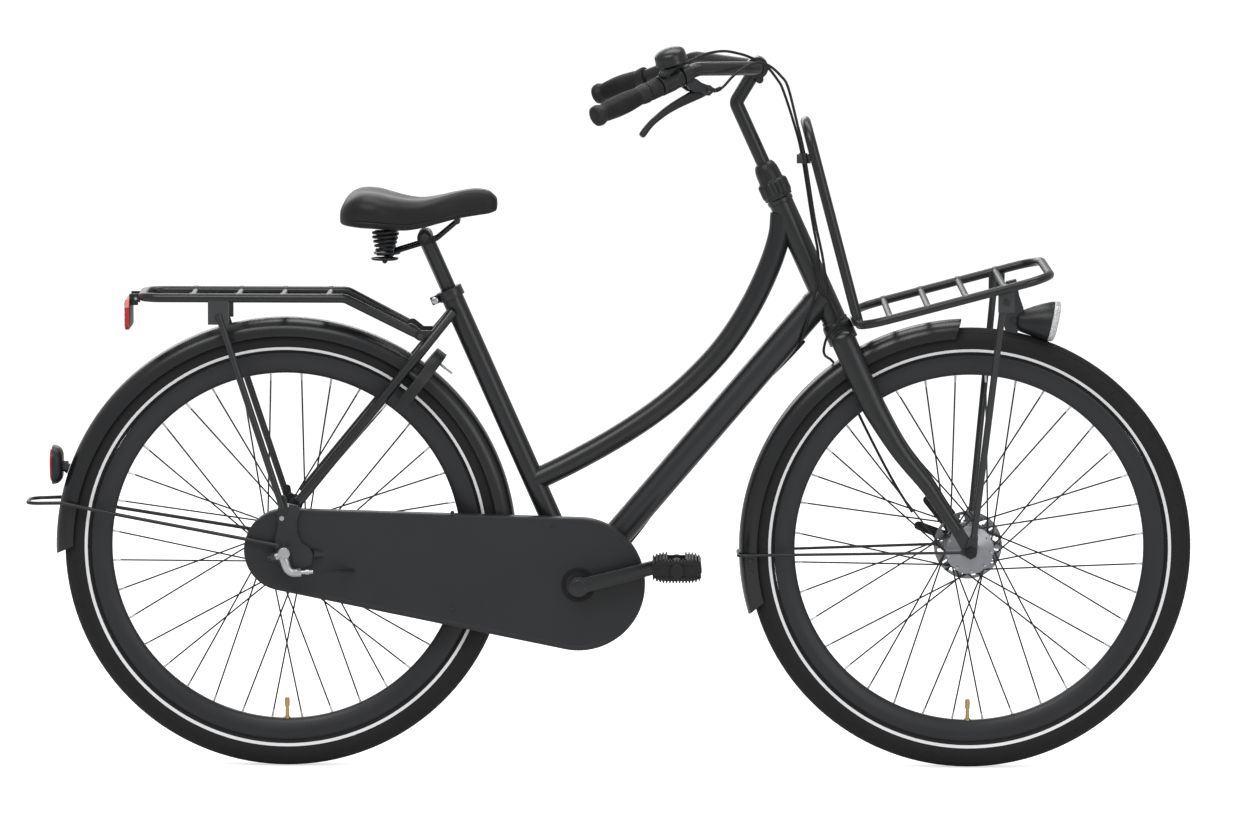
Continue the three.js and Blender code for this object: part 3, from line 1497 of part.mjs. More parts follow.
function stem() {
  const foot = steer(0, 0, stemFoot);
  const shoulder = steer(0, 0, stemTop - stemReach);
  const pillar = rod(foot, shoulder, stemRadius, tubeSides);
  const reach = stemReach - stemRadius;
  const outline = [
    steer(-stemRadius, 0, stemTop - stemReach * 1.35),
    steer(stemRadius, 0, stemTop - stemReach * 1.35),
    steer(stemRadius * 1.05, 0, stemTop - stemReach * 0.45),
    steer(reach * 0.55, 0, barClampHeight - barClampRadius * 1.6),
    steer(reach * 1.15, 0, barClampHeight - barClampRadius * 0.9),
    steer(reach, 0, barClampHeight + barClampRadius * 0.95),
    steer(reach * 0.4, 0, stemTop + stemRadius * 2.1),
    steer(-stemRadius, 0, stemTop),
  ];
  const neck = plate(sideView(outline), -stemHalfThickness, stemHalfThickness);
  const clamp = crossRod(barCentre.x, barCentre.z, -barClampHalfWidth, barClampHalfWidth, barClampRadius, 16);
  const lugPlace = steer(reach * 0.85, 0, barClampHeight - barClampRadius * 1.25);
  const lug = crossRod(lugPlace.x, lugPlace.z, -stemHalfThickness * 1.15, stemHalfThickness * 1.15, barClampRadius * 0.55);
  const bore = crossRod(
    barCentre.x,
    barCentre.z,
    -barClampHalfWidth - overrun,
    barClampHalfWidth + overrun,
    roundBore(barRadius),
    tubeSides,
  );
  return cut(join(pillar, neck, clamp, lug), bore);
}

// The handlebar: across the clamp, forward and up to each shoulder, then swept back to the grips.
const barShoulderBack = 97;
const barShoulderWide = 143;
const barShoulderRise = 6;
const barStraight = 26;

function barPoint(side, corner) {
  const places = [
    point(-barSweep, side * barSpread, -barDrop),
    point(-barShoulderBack, side * barShoulderWide, barShoulderRise),
    point(0, side * barStraight, 0),
  ];
  return places[corner].add(barCentre);
}

function handlebar() {
  const corners = [barPoint(-1, 0), barPoint(-1, 1), barPoint(-1, 2), barPoint(1, 2), barPoint(1, 1), barPoint(1, 0)];
  const [wide, tight] = [barRadius * 4, barRadius * 2];
  return tubeAlong(filleted(corners, [wide, tight, tight, wide], 3), barRadius, tubeSides);
}

// Rubber grip with a bulging ribbed barrel and a closed end, along the bar's straight end.
const gripBulge = 17;
const gripStartRadius = 14;
const twistLength = 25;
const twistRadius = 15.5;
const shifterLength = 25;
const bellPlace = 158;
const bellRadius = 26;
const bellFoot = 27;
const bellTop = 51;
const leverClampPlace = 175;
const leverClampWidth = 16;
const leverClampRadius = 16;

// Directions at a grip: along the bar toward the stem, down from it, and across both.
function barFrame(side) {
  const end = barPoint(side, 0);
  const along = barPoint(side, 1).sub(end).normalize();
  const across = along.clone().cross(point(0, 0, 1)).normalize();
  const down = along.clone().cross(across).normalize();
  if (down.z > 0) down.negate();
  return { end, along, down, across };
}

function onBar(side, along, down = 0, across = 0) {
  const axes = barFrame(side);
  return axes.end
    .addScaledVector(axes.along, along)
    .addScaledVector(axes.down, down)
    .addScaledVector(axes.across, across);
}

function grip(side) {
  const radius = roundBore(barRadius);
  const profile = [
    [radius, -seatGap],
    [radius, gripLength],
    [gripRadius, gripLength],
    [gripStartRadius, gripLength * 0.8],
    [gripBulge, gripLength * 0.45],
    [gripStartRadius, gripLength * 0.12],
    [gripBulge, gripLength * 0.06],
    [gripBulge * 0.9, -gripLength * 0.06],
    [0, -gripLength * 0.08],
    [0, -seatGap],
  ];
  const { end, along } = barFrame(side);
  const corners = profile.map(([r, place]) => new THREE.Vector2(r, place));
  const geometry = new THREE.LatheGeometry([new THREE.Vector2(0, -seatGap), ...corners.slice(0, -1)], tubeSides);
  geometry.applyQuaternion(new THREE.Quaternion().setFromUnitVectors(point(0, 1, 0), along));
  geometry.translate(end.x, end.y, end.z);
  return solidOf(geometry);
}

// A ring round the bar between two places measured from its end.
function barRing(side, from, to, outer, sides = tubeSides) {
  const { end, along } = barFrame(side);
  const bore = roundBore(barRadius);
  const profile = [
    [bore, from],
    [outer, from],
    [outer, to],
    [bore, to],
  ];
  return turnedAbout(profile, end, along, sides);
}

function twistShifter() {
  const from = gripLength + seatGap * 2;
  return barRing(-1, from, from + twistLength - seatGap * 2, twistRadius, 10);
}

// Shifter housing with its cable pod, and the bell's base on the same clamp.
const podRadius = 6.5;
const podRise = 19.5;

function shifterBody() {
  const from = gripLength + twistLength + seatGap * 3;
  const ring = barRing(-1, from, from + shifterLength, twistRadius * 1.04, 10);
  const aside = podRadius + cableRadius + seatGap * 2;
  const pod = rod(
    onBar(-1, from + podRadius, -podRise, aside),
    onBar(-1, from + shifterLength, -podRise, aside),
    podRadius,
    smallSides,
  );
  const web = rod(
    onBar(-1, from + shifterLength / 2, -twistRadius),
    onBar(-1, from + shifterLength / 2, -podRise, aside),
    podRadius * 0.6,
    6,
  );
  const bellClamp = barRing(-1, from + shifterLength - seatGap, bellPlace + podRadius, barRadius * 1.4, 10);
  const post = rod(
    onBar(-1, bellPlace, -barRadius * 1.2),
    onBar(-1, bellPlace, -bellFoot + seatGap),
    podRadius,
    smallSides,
  );
  return join(ring, pod, web, bellClamp, post);
}

// Turned bell dome over its base.
function bellDome() {
  const { down } = barFrame(-1);
  const profile = [
    [0, bellFoot],
    [bellRadius, bellFoot],
    [bellRadius, bellTop * 0.78],
    [bellRadius * 0.86, bellTop * 0.94],
    [bellRadius * 0.6, bellTop],
    [0, bellTop],
  ];
  return turnedAbout(profile, onBar(-1, bellPlace), down.clone().negate(), 14);
}

const leverPivotPlace = 204;
const leverPivotDrop = 36.5;
const leverThickness = 9;
const leverPinRadius = 3.2;
const leverNoseReach = 12;

// The lever's clamp on the bar, with the fork that holds the lever's pin and the cable's nose.
function leverBracket() {
  const low = leverClampPlace - leverClampWidth / 2;
  const clamp = barRing(-1, low, low + leverClampWidth, leverClampRadius, 10);
  const pivot = onBar(-1, leverPivotPlace, leverPivotDrop);
  const armStart = onBar(-1, leverClampPlace, leverClampRadius);
  const cheek = leverThickness / 2 + seatGap + leverPinRadius;
  const { across } = barFrame(-1);
  const arms = [-1, 1].map((side) => {
    const offset = across.clone().multiplyScalar(side * cheek);
    return rod(armStart.clone().add(offset), pivot.clone().add(offset), leverPinRadius, 6, leverPinRadius);
  });
  const root = rod(
    armStart.clone().addScaledVector(across, -cheek),
    armStart.clone().addScaledVector(across, cheek),
    leverPinRadius * 1.4,
    6,
  );
  const pin = rod(
    pivot.clone().addScaledVector(across, -cheek - leverPinRadius / 2),
    pivot.clone().addScaledVector(across, cheek + leverPinRadius / 2),
    leverPinRadius * 0.8,
    smallSides,
  );
  const noseEnd = onBar(-1, leverPivotPlace + leverNoseReach, leverPivotDrop + leverNoseReach / 2, cheek);
  const nose = rod(pivot.clone().addScaledVector(across, cheek), noseEnd, leverPinRadius, 6);
  return join(clamp, root, ...arms, pin, nose);
}

// Brake lever: a flat curved blade from its pin back under the grip.
const leverBladePlaces = [
  [204, 36.5],
  [191, 37],
  [149, 38],
  [116, 42],
  [92, 48],
  [69, 58.7],
];
const leverBladeShares = [1, 1, 0.85, 0.75, 0.7, 0.6];

function brakeLever() {
  const { along, down, across } = barFrame(-1);
  const places = leverBladePlaces.map(([s, drop]) => onBar(-1, s, drop));
  const rings = places.map((centre, i) => {
    const before = places[Math.max(i - 1, 0)];
    const after = places[Math.min(i + 1, places.length - 1)];
    const run = after.clone().sub(before).normalize();
    const deep = run.clone().cross(across).normalize();
    const half = (leverThickness / 2) * leverBladeShares[i];
    return [
      [-1, -1],
      [1, -1],
      [1, 1],
      [-1, 1],
    ].map(([a, b]) => centre.clone().addScaledVector(across, a * half).addScaledVector(deep, b * half * 1.1));
  });
  const blade = loft(rings);
  const pivot = onBar(-1, leverPivotPlace, leverPivotDrop);
  const eye = rod(
    pivot.clone().addScaledVector(across, -leverThickness / 2),
    pivot.clone().addScaledVector(across, leverThickness / 2),
    leverThickness * 0.75,
    10,
  );
  const hole = rod(
    pivot.clone().addScaledVector(across, -leverThickness),
    pivot.clone().addScaledVector(across, leverThickness),
    leverPinRadius + seatGap,
    smallSides,
  );
  const tip = rod(places[places.length - 1], onBar(-1, 66, 61), leverThickness * 0.38, 6);
  return cut(join(blade, eye, tip), hole);
}

// The bell's thumb lever beside its base.
function bellLever() {
  const { along, down, across } = barFrame(-1);
  const high = -bellFoot + seatGap + podRadius * 0.55;
  const root = onBar(-1, bellPlace, high);
  const tip = root.clone().addScaledVector(across, -bellRadius * 1.25);
  return rod(root.clone().addScaledVector(across, -podRadius - seatGap), tip, podRadius * 0.4, 6);
}

// Saddle rails: two wires from the nose, under the cushion, back to the coil springs.
const saddleTilt = 17.3;
const railClampDrop = 8;
const saddleBoltDrop = 22;
const springSpread = 50;
const springBack = 62.5;
const clampCheekRadius = 12;
const clampCheekOuter = 30;

// A point by its place ahead of the saddle pivot, to the left, and above it.
const fromSaddle = (ahead, side, up) => point(saddlePivot.x + ahead, side, saddlePivot.z + up);

const railAhead = 52;
const railNoseRise = 25.6;
const railTailHeight = saddleSpringFoot - saddleSpringWire - saddleRailRadius * 1.6;
const springFoot = fromSaddle(-springBack, 0, saddleSpringFoot - saddlePivot.z);

function railPlaces(side) {
  const spread = side * saddleRailSpread;
  const slope = Math.tan(saddleTilt * degree);
  const drop = railClampDrop / Math.cos(saddleTilt * degree);
  const straightBack = springBack * 0.75;
  const straightFore = clampCheekRadius * 1.6;
  return [
    fromSaddle(railAhead, side * saddleRailSpread * 0.8, railNoseRise),
    fromSaddle(straightFore, spread, straightFore * slope - drop),
    fromSaddle(-straightBack, spread, -straightBack * slope - drop),
    point(springFoot.x, spread, railTailHeight),
  ];
}

function saddleRails() {
  const wires = [-1, 1].map((side) =>
    tubeAlong(filleted(railPlaces(side), saddleRailRadius * 6, 1), saddleRailRadius, 6),
  );
  const tail = railPlaces(1)[3];
  const crossbar = crossRod(tail.x, tail.z, -springSpread, springSpread, saddleRailRadius * 1.2);
  const nose = railPlaces(1)[0];
  const noseBar = crossRod(nose.x, nose.z, -saddleRailSpread, saddleRailSpread, saddleRailRadius * 1.3);
  const cups = [-1, 1].map((side) => {
    const seat = point(springFoot.x, side * springSpread, saddleSpringFoot - saddleSpringWire - seatGap);
    return rod(seat.clone().add(point(0, 0, -saddleRailRadius)), seat, saddleSpringRadius * 1.1, 10);
  });
  return join(crossbar, ...wires, noseBar, ...cups);
}

// Coil spring as one unbroken wire, closed at both ends.
const springStepsPerTurn = 8;

function coilPlaces(centre, radius, low, high, turns) {
  const count = springStepsPerTurn * turns;
  const places = [];
  for (let i = 0; i <= count; i += 1) {
    const turn = (2 * Math.PI * i) / springStepsPerTurn;
    const rise = low + ((high - low) * i) / count;
    places.push(point(centre.x + radius * Math.cos(turn), centre.y + radius * Math.sin(turn), rise));
  }
  return places;
}

// The least gap between one curl and another, measured on the wire's points.
function leastGap(places, wire) {
  let least = Infinity;
  for (let i = 0; i < places.length; i += 1) {
    for (let j = i + springStepsPerTurn / 2; j < places.length; j += 1) {
      least = Math.min(least, places[i].distanceTo(places[j]) - 2 * wire);
    }
  }
  return least;
}

function saddleSpring(side) {
  const centre = point(springFoot.x, side * springSpread, 0);
  const radius = saddleSpringRadius - saddleSpringWire;
  const places = coilPlaces(centre, radius, saddleSpringFoot, saddleSpringTop, saddleSpringTurns);
  console.log("saddle spring, least gap between curls", leastGap(places, saddleSpringWire).toFixed(2));
  return tubeAlong(places, saddleSpringWire, 5);
}

// Two cheeks that grip the rails on each side of the seatpost's barrel, and their through bolt.
function saddleClamp() {
  const inner = postBarrelHalfWidth + seatGap;
  const cheeks = [-1, 1].map((side) => {
    const from = side * inner;
    const to = side * clampCheekOuter;
    return crossRod(saddlePivot.x, saddlePivot.z, from, to, clampCheekRadius, 14);
  });
  const bolt = crossRod(
    saddlePivot.x,
    saddlePivot.z,
    -clampCheekOuter - saddleBoltRadius,
    clampCheekOuter + saddleBoltRadius,
    saddleBoltRadius,
    smallSides,
  );
  const nuts = [-1, 1].map((side) =>
    crossRod(
      saddlePivot.x,
      saddlePivot.z,
      side * clampCheekOuter,
      side * (clampCheekOuter + saddleBoltRadius * 1.2),
      saddleBoltRadius * 1.9,
      6,
    ),
  );
  const grooves = [-1, 1].map((side) => {
    const [, fore, aft] = railPlaces(side);
    return rod(aft, fore, roundBore(saddleRailRadius, smallSides), smallSides);
  });
  return cut(join(cheeks[0], bolt, cheeks[1], ...nuts), ...grooves);
}

// Saddle cushion: stations from tail to nose, as shares of length, with half width, top, foot and crown.
const saddleTailBack = 135;
const saddleTopRise = 79;
const saddleFootRise = 22;
const saddleStationShares = [
  [0, 0.45, 0.12, 0.3, 0],
  [0.03, 0.64, 0, 0.62, 0.1],
  [0.08, 0.8, -0.06, 0.86, 0.4],
  [0.16, 0.96, -0.12, 1.04, 0.7],
  [0.24, 0.98, -0.16, 1.04, 0.8],
  [0.32, 0.905, -0.19, 0.93, 0.7],
  [0.42, 0.74, -0.22, 0.78, 0.5],
  [0.52, 0.57, -0.16, 0.69, 0.3],
  [0.62, 0.39, -0.05, 0.74, 0.15],
  [0.74, 0.27, 0.15, 0.84, 0],
  [0.86, 0.22, 0.27, 0.9, 0],
  [0.95, 0.19, 0.33, 0.82, 0],
  [1, 0.09, 0.42, 0.58, 0],
];
const saddleSectionShares = [
  [0, 1, 1],
  [0.4, 1, 0.9],
  [0.75, 0.93, 0.6],
  [0.94, 0.76, 0.2],
  [1, 0.5, 0],
  [0.93, 0.2, 0],
  [0.8, 0, 0],
  [0.4, 0, 0],
];

function saddle() {
  const rise = saddleTopRise - saddleFootRise;
  const tail = -saddleTailBack;
  const dip = rise * 0.14;
  const rings = saddleStationShares.map(([along, wide, low, high, cleft]) => {
    const x = tail + saddleLength * along;
    const half = (saddleWidth / 2) * wide;
    const foot = saddleFootRise + rise * low;
    const top = saddleFootRise + rise * high;
    const place = ([across, up, middle], side) => {
      const sink = up === 1 && across === 0 ? dip * cleft : 0;
      return fromSaddle(x, side * half * across, foot + (top - foot) * up - sink * middle);
    };
    const left = saddleSectionShares.map((share) => place(share, 1));
    const right = saddleSectionShares.slice(1).map((share) => place(share, -1)).reverse();
    return [...left, ...right];
  });
  return loft(rings);
}

// Rear carrier: one bent tube round the deck, four crossbars, two stays and its hooks.
const rackBack = 745;
const rackShoulder = 421;
const rackStayTop = 622;
const rackStayTube = 5.5;
const rackCrossbars = [665, 592, 521, 448];
const rackStayFootRise = 69;
const rackStaySpread = 70;
const rackBracketHeight = 35;
const rackBracketWidth = 33;
const rearRackBracketDrop = 26;

// Side-view places given back from the middle of the bicycle.
const behind = (back, side, height) => point(-back, side, height);

function rearCarrier() {
  const wide = rearRackHalfWidth;
  const lug = (side) => onSeatStay(side, rackLugShare).add(point(-rackLugBack, 0, 0));
  const lugSide = Math.abs(onSeatStay(1, rackLugShare).y) + seatStayRadius / 2 + seatGap;
  const half = (side) => [
    lug(side).setY(side * (lugSide + rearRackTube)).add(point(-rearRackTube, 0, rearRackTube * 0.6)),
    behind(rackShoulder, side * wide, rearRackHeight),
    behind(rackBack, side * wide, rearRackHeight),
  ];
  const right = half(-1);
  const left = half(1);
  const corners = [right[0], right[1], right[2], left[2], left[1], left[0]];
  const bends = [rearRackTube * 3, wide * 0.5, wide * 0.5, rearRackTube * 3];
  const deck = tubeAlong(filleted(corners, bends, 2), rearRackTube, smallSides);
  const bars = rackCrossbars.map((back) =>
    crossRod(-back, rearRackHeight - rearRackTube * 0.1, -wide, wide, rearRackTube * 0.72, 6),
  );
  const tongues = [-1, 1].map((side) => {
    const seat = lug(side);
    const [low, high] = side < 0 ? [-lugSide - rackLugThickness, -lugSide] : [lugSide, lugSide + rackLugThickness];
    const root = half(side)[0].clone().add(point(-rearRackTube, 0, rearRackTube));
    return plate(sideView(taperedOutline(seat, seatStayRadius, root, seatStayRadius)), low, high);
  });
  const stays = [-1, 1].map((side) => {
    const outer = rearDropoutHalfSpacing + rearDropoutThickness + seatGap;
    const top = behind(rackStayTop, side * (wide + rearRackTube * 0.5), rearRackHeight - rearRackBracketDrop);
    const foot = point(rearAxle.x - dropoutSize * 0.03, side * (outer + rackStayTube), rearAxle.z + rackStayFootRise);
    const bar = rod(top, foot, rackStayTube, 6);
    const [low, high] = side < 0 ? [-outer - rackStayTube / 2, -outer] : [outer, outer + rackStayTube / 2];
    const eye = plate(sideView(taperedOutline(foot, rackStayTube * 1.5, foot.clone().add(point(0, 0, rackStayTube * 3)), rackStayTube)), low, high);
    const bracketLow = side < 0 ? -wide - rearRackTube * 0.8 : wide - rearRackTube * 0.2;
    const bracket = block(
      point(-rackStayTop - rackBracketWidth / 2, bracketLow, rearRackHeight - rearRackTube - rackBracketHeight),
      point(-rackStayTop + rackBracketWidth / 2, bracketLow + rearRackTube, rearRackHeight),
    );
    return join(bracket, bar, eye);
  });
  return join(deck, ...bars, ...tongues, ...stays);
}

// Reflector holder on the carrier's end, with the red reflector in front of it.
const reflectorBack = 772;
const reflectorHeight = 50;
const reflectorHalfWidth = 45;
const reflectorThickness = 8;
const reflectorMiddle = 732;

function reflectorHolder() {
  const face = reflectorBack - reflectorThickness / 2;
  const wall = reflectorThickness / 3;
  const back = block(
    behind(face, -reflectorHalfWidth, reflectorMiddle - reflectorHeight / 2),
    behind(face - wall, reflectorHalfWidth, reflectorMiddle + reflectorHeight / 2),
  );
  const arms = [-1, 1].map((side) => {
    const seat = behind(rackBack + rearRackTube + seatGap, side * reflectorHalfWidth * 0.5, rearRackHeight);
    return block(
      point(-face + wall / 2, seat.y - wall, reflectorMiddle + reflectorHeight * 0.3),
      point(seat.x, seat.y + wall, rearRackHeight + wall),
    );
  });
  return join(back, ...arms);
}

function rearReflector() {
  const face = reflectorBack - reflectorThickness / 2 + seatGap;
  const outline = [
    [-1, -1],
    [1, -1],
    [1, 0.6],
    [0.86, 1],
    [-0.86, 1],
    [-1, 0.6],
  ].map(([side, up]) => [side * reflectorHalfWidth * 0.96, reflectorMiddle + (up * reflectorHeight * 0.96) / 2]);
  const ring = (back) => outline.map(([side, height]) => behind(back, side, height));
  return loft([ring(face), ring(face + reflectorThickness * 0.6)]);
}

// Rear light on the guard: body with a foot to the guard, and a red lens.
const lightBack = 876;
const lightDepth = 21;
const lightFootHeight = 455;
const lightTopHeight = 518;
const lightHalfWidth = 30;
const lightSeatAngle = 160.5;

function lightRing(back, shrink, lift = 0) {
  const middle = (lightFootHeight + lightTopHeight) / 2 + lift;
  const rise = ((lightTopHeight - lightFootHeight) / 2) * shrink;
  const half = lightHalfWidth * shrink;
  const ring = [];
  for (let i = 0; i < 12; i += 1) {
    const turn = ((i + 1 / 2) * Math.PI) / 6;
    ring.push(behind(back, half * Math.cos(turn), middle + rise * Math.sin(turn)));
  }
  return ring;
}

function rearLightBody() {
  const face = lightBack + lightDepth * 0.62;
  const shell = loft([lightRing(lightBack, 0.7), lightRing(lightBack + lightDepth * 0.3, 0.96), lightRing(face, 1)]);
  const seat = onCircle(rearAxle, guardRadius + seatGap * 2, lightSeatAngle);
  const end = onCircle(rearAxle, guardRadius + lightDepth, lightSeatAngle);
  const foot = rod(seat, end, lightHalfWidth * 0.3, 6);
  return join(shell, foot);
}

function rearLightLens() {
  const face = lightBack + lightDepth * 0.62 + seatGap;
  return loft([lightRing(face, 0.94), lightRing(lightBack + lightDepth * 0.9, 0.9), lightRing(lightBack + lightDepth, 0.7)]);
}

// Ring lock on the seat stays: a horseshoe housing whose curved bolt turns down through the wheel.
const lockAngle = 51.5;
const lockCentreRadius = 321;
const lockFootRadius = 290;
const lockInnerRadius = 50.5;
const lockHalfWidth = 63.5;
const lockTopRise = 81;
const lockDepth = 18;
const lockBoltRadius = 3.6;
const lockBoltCircle = 57;
const lockChannelRadius = 4.9;
const lockBoltFrom = 78;
const lockBoltTo = 213;
const lockChannelFrom = 72;
const lockChannelTo = 222;
const lockCatchFrom = 316;
const lockCatchTo = 346;
const lockArcSteps = 9;
const lockOuterSteps = 10;
const lockInnerSteps = 14;
const lockBossSide = 54;
const lockKeySide = -22;
const lockKeyRise = 65;
const lockKeyHole = 3;
const lockKeyRadius = 2.5;
const lockKeyReach = 24;
const lockKeyWidth = 14;
const lockStayShare = 0.3;
const lockBossRadius = 5.5;
const lockBossGap = 1.2;

// A place in the lock's own plane, which passes through the wheel's axle.
function inLock(radius, side, ahead = 0) {
  const place = onCircle(rearAxle, radius, lockAngle, side);
  const turn = (lockAngle - 90) * degree;
  return place.add(point(Math.cos(turn) * ahead, 0, Math.sin(turn) * ahead));
}

// A place on a circle about the lock's centre, by its angle from the left arm over the top.
function onLock(radius, angle) {
  const turn = angle * degree;
  return inLock(lockCentreRadius + radius * Math.sin(turn), radius * Math.cos(turn));
}

// An outline in the lock's plane, made into a plate of the given depth.
function lockPlate(shape, depth) {
  const geometry = new THREE.ExtrudeGeometry(shape, { depth, bevelEnabled: false });
  geometry.translate(0, 0, -depth / 2);
  const outward = onCircle(point(0, 0, 0), 1, lockAngle);
  const across = point(0, 1, 0);
  const ahead = across.clone().cross(outward);
  geometry.applyMatrix4(new THREE.Matrix4().makeBasis(across, outward, ahead));
  geometry.translate(rearAxle.x, rearAxle.y, rearAxle.z);
  return solidOf(geometry);
}

// A round bar bent about the lock's centre.
function lockArc(from, to, radius) {
  const places = [];
  for (let i = 0; i <= lockArcSteps; i += 1) {
    places.push(onLock(lockBoltCircle, from + ((to - from) * i) / lockArcSteps));
  }
  return tubeAlong(places, radius, smallSides);
}

function ringLockBody() {
  const drop = lockCentreRadius - lockFootRadius;
  const innerTurn = Math.asin(drop / lockInnerRadius);
  const outline = [];
  for (let i = 0; i <= lockOuterSteps; i += 1) {
    const turn = (Math.PI * i) / lockOuterSteps;
    const place = [lockHalfWidth * Math.cos(turn), lockCentreRadius + lockTopRise * Math.sin(turn)];
    outline.push(new THREE.Vector2(...place));
  }
  outline.push(new THREE.Vector2(-lockHalfWidth, lockFootRadius));
  for (let i = 0; i <= lockInnerSteps; i += 1) {
    const turn = Math.PI + innerTurn - ((Math.PI + 2 * innerTurn) * i) / lockInnerSteps;
    const reach = lockInnerRadius / Math.cos((Math.PI + 2 * innerTurn) / lockInnerSteps / 2);
    outline.push(new THREE.Vector2(reach * Math.cos(turn), lockCentreRadius + reach * Math.sin(turn)));
  }
  outline.push(new THREE.Vector2(lockHalfWidth, lockFootRadius));
  const horseshoe = lockPlate(new THREE.Shape(outline), lockDepth);
  const keyhole = rod(
    inLock(lockCentreRadius + lockKeyRise, lockKeySide, lockDepth / 2 - lockKeyHole),
    inLock(lockCentreRadius + lockKeyRise, lockKeySide, lockDepth / 2 + overrun),
    roundBore(lockKeyRadius, 6),
    smallSides,
  );
  const bosses = [-1, 1].map((side) => {
    const stay = onSeatStay(side, lockStayShare);
    const seat = inLock(stay.distanceTo(rearAxle.clone().setY(stay.y)), stay.y);
    const away = seat.clone().sub(stay).normalize();
    const start = stay.clone().addScaledVector(away, seatStayRadius + lockBossGap);
    const end = inLock(stay.distanceTo(rearAxle.clone().setY(stay.y)), side * lockBossSide, -lockDepth / 4);
    return rod(start, end, lockBossRadius, smallSides);
  });
  const channel = lockArc(lockChannelFrom, lockChannelTo, lockChannelRadius);
  const catchHole = lockArc(lockCatchFrom, lockCatchTo, lockChannelRadius);
  return cut(join(horseshoe, ...bosses), keyhole, channel, catchHole);
}

// The lock's bolt: a curved rod that lies in the right arm and crown while the lock is open.
function ringLockBolt() {
  return lockArc(lockBoltFrom, lockBoltTo, lockBoltRadius);
}

// The lock's key, standing in the front of the housing, with a flat bow.
function ringLockKey() {
  const at = (ahead) => inLock(lockCentreRadius + lockKeyRise, lockKeySide, lockDepth / 2 + ahead);
  const neck = lockKeyReach * 0.45;
  const stem = rod(at(seatGap - lockKeyHole), at(neck), lockKeyRadius, 6);
  return join(stem, flatBar(at(neck * 0.9), at(lockKeyReach), lockKeyWidth, lockKeyRadius));
}

// Front carrier: a tilted deck with round corners, four crossbars, its wind-up hoop and two legs.
const rackFrontReach = 697;
const rackRearReach = 396;
const rackRearHeight = 727;
const rackCornerRadius = 45;
const frontCrossbarShares = [0.16, 0.36, 0.56, 0.76];
const hoopFootWide = 67;
const hoopTopWide = 52;
const hoopBack = 84;
const hoopRise = 322;
const legTopShare = 0.76;
const legTube = 5.5;
const crownBracketWidth = 28;
const crownBracketHeight = 14;
const crownBracketLevel = 411;

// A place on the front carrier's deck: a share forward from its rear bar, and a side offset.
function onFrontRack(share, side, lift = 0) {
  const length = (rackFrontReach - rackRearReach) / Math.cos(frontRackTilt * degree);
  const forward = point(Math.cos(frontRackTilt * degree), 0, Math.sin(frontRackTilt * degree));
  const up = point(-forward.z, 0, forward.x);
  return point(rackRearReach, side, rackRearHeight)
    .addScaledVector(forward, length * share)
    .addScaledVector(up, lift);
}

// A closed loop of tube in the deck's plane, from two half loops that meet at the middle.
function frontDeckLoop() {
  const wide = frontRackHalfWidth;
  const corners = [
    onFrontRack(0, 0),
    onFrontRack(0, -wide),
    onFrontRack(1, -wide),
    onFrontRack(1, wide),
    onFrontRack(0, wide),
    onFrontRack(0, 0),
  ];
  const route = filleted(corners, rackCornerRadius, 2);
  const half = Math.floor(route.length / 2);
  const first = tubeAlong(route.slice(0, half + 1), frontRackTube, smallSides);
  const second = tubeAlong(route.slice(half), frontRackTube, smallSides);
  const seams = [route[0], route[half]].map((place) => {
    const along = point(0, frontRackTube / 2, 0);
    return rod(place.clone().sub(along), place.clone().add(along), frontRackTube * 1.02, smallSides);
  });
  return join(first, second, ...seams);
}

function frontCarrier() {
  const wide = frontRackHalfWidth;
  const bars = frontCrossbarShares.map((share) => {
    const place = onFrontRack(share, 0);
    return crossRod(place.x, place.z, -wide, wide, frontRackTube * 0.75, 6);
  });
  const hoopFoot = (side) => onFrontRack(0, side * hoopFootWide);
  const hoopTop = (side) =>
    point(rackRearReach - hoopBack, side * hoopTopWide, rackRearHeight + hoopRise - hoopTube);
  const hoopPath = [hoopFoot(-1), hoopTop(-1), hoopTop(1), hoopFoot(1)];
  const hoop = tubeAlong(filleted(hoopPath, hoopTopWide * 0.8, 3), hoopTube, smallSides);
  const legs = [-1, 1].map((side) => {
    const top = onFrontRack(legTopShare, side * (wide - frontRackTube));
    const outer = frontDropoutHalfSpacing + frontDropoutThickness + guardStayRadius * 0.6 + seatGap * 2;
    const ankle = point(frontAxle.x + axleRadius, side * (outer + carrierLegThickness), frontAxle.z + forkTabWidth * 1.2);
    const [low, high] = side < 0 ? [-outer - carrierLegThickness, -outer] : [outer, outer + carrierLegThickness];
    const foot = cut(
      plate(sideView(taperedOutline(frontAxle, axleRadius * 2.1, ankle, legTube * 1.2)), low, high),
      crossRod(frontAxle.x, frontAxle.z, low - overrun, high + overrun, axleRadius + seatGap),
    );
    const bar = rod(top, ankle, legTube, 6);
    return join(bar, foot);
  });
  const rearBar = onFrontRack(0, 0).sub(steeringFoot);
  const bracket = flatBar(
    steer(forkCrownRadius + seatGap, 0, crownBracketLevel),
    steer(rearBar.dot(steeringAhead), 0, crownBracketLevel),
    crownBracketWidth,
    crownBracketHeight,
  );
  return join(frontDeckLoop(), ...bars, hoop, ...legs, bracket);
}

// Headlight: a bullet shell with a clear lens, hung under the front crossbar.
const lampRear = 650;
const lampFront = 718;
const lampRadius = 31;
const lampHeight = 725;
const lampBracketWidth = 20;

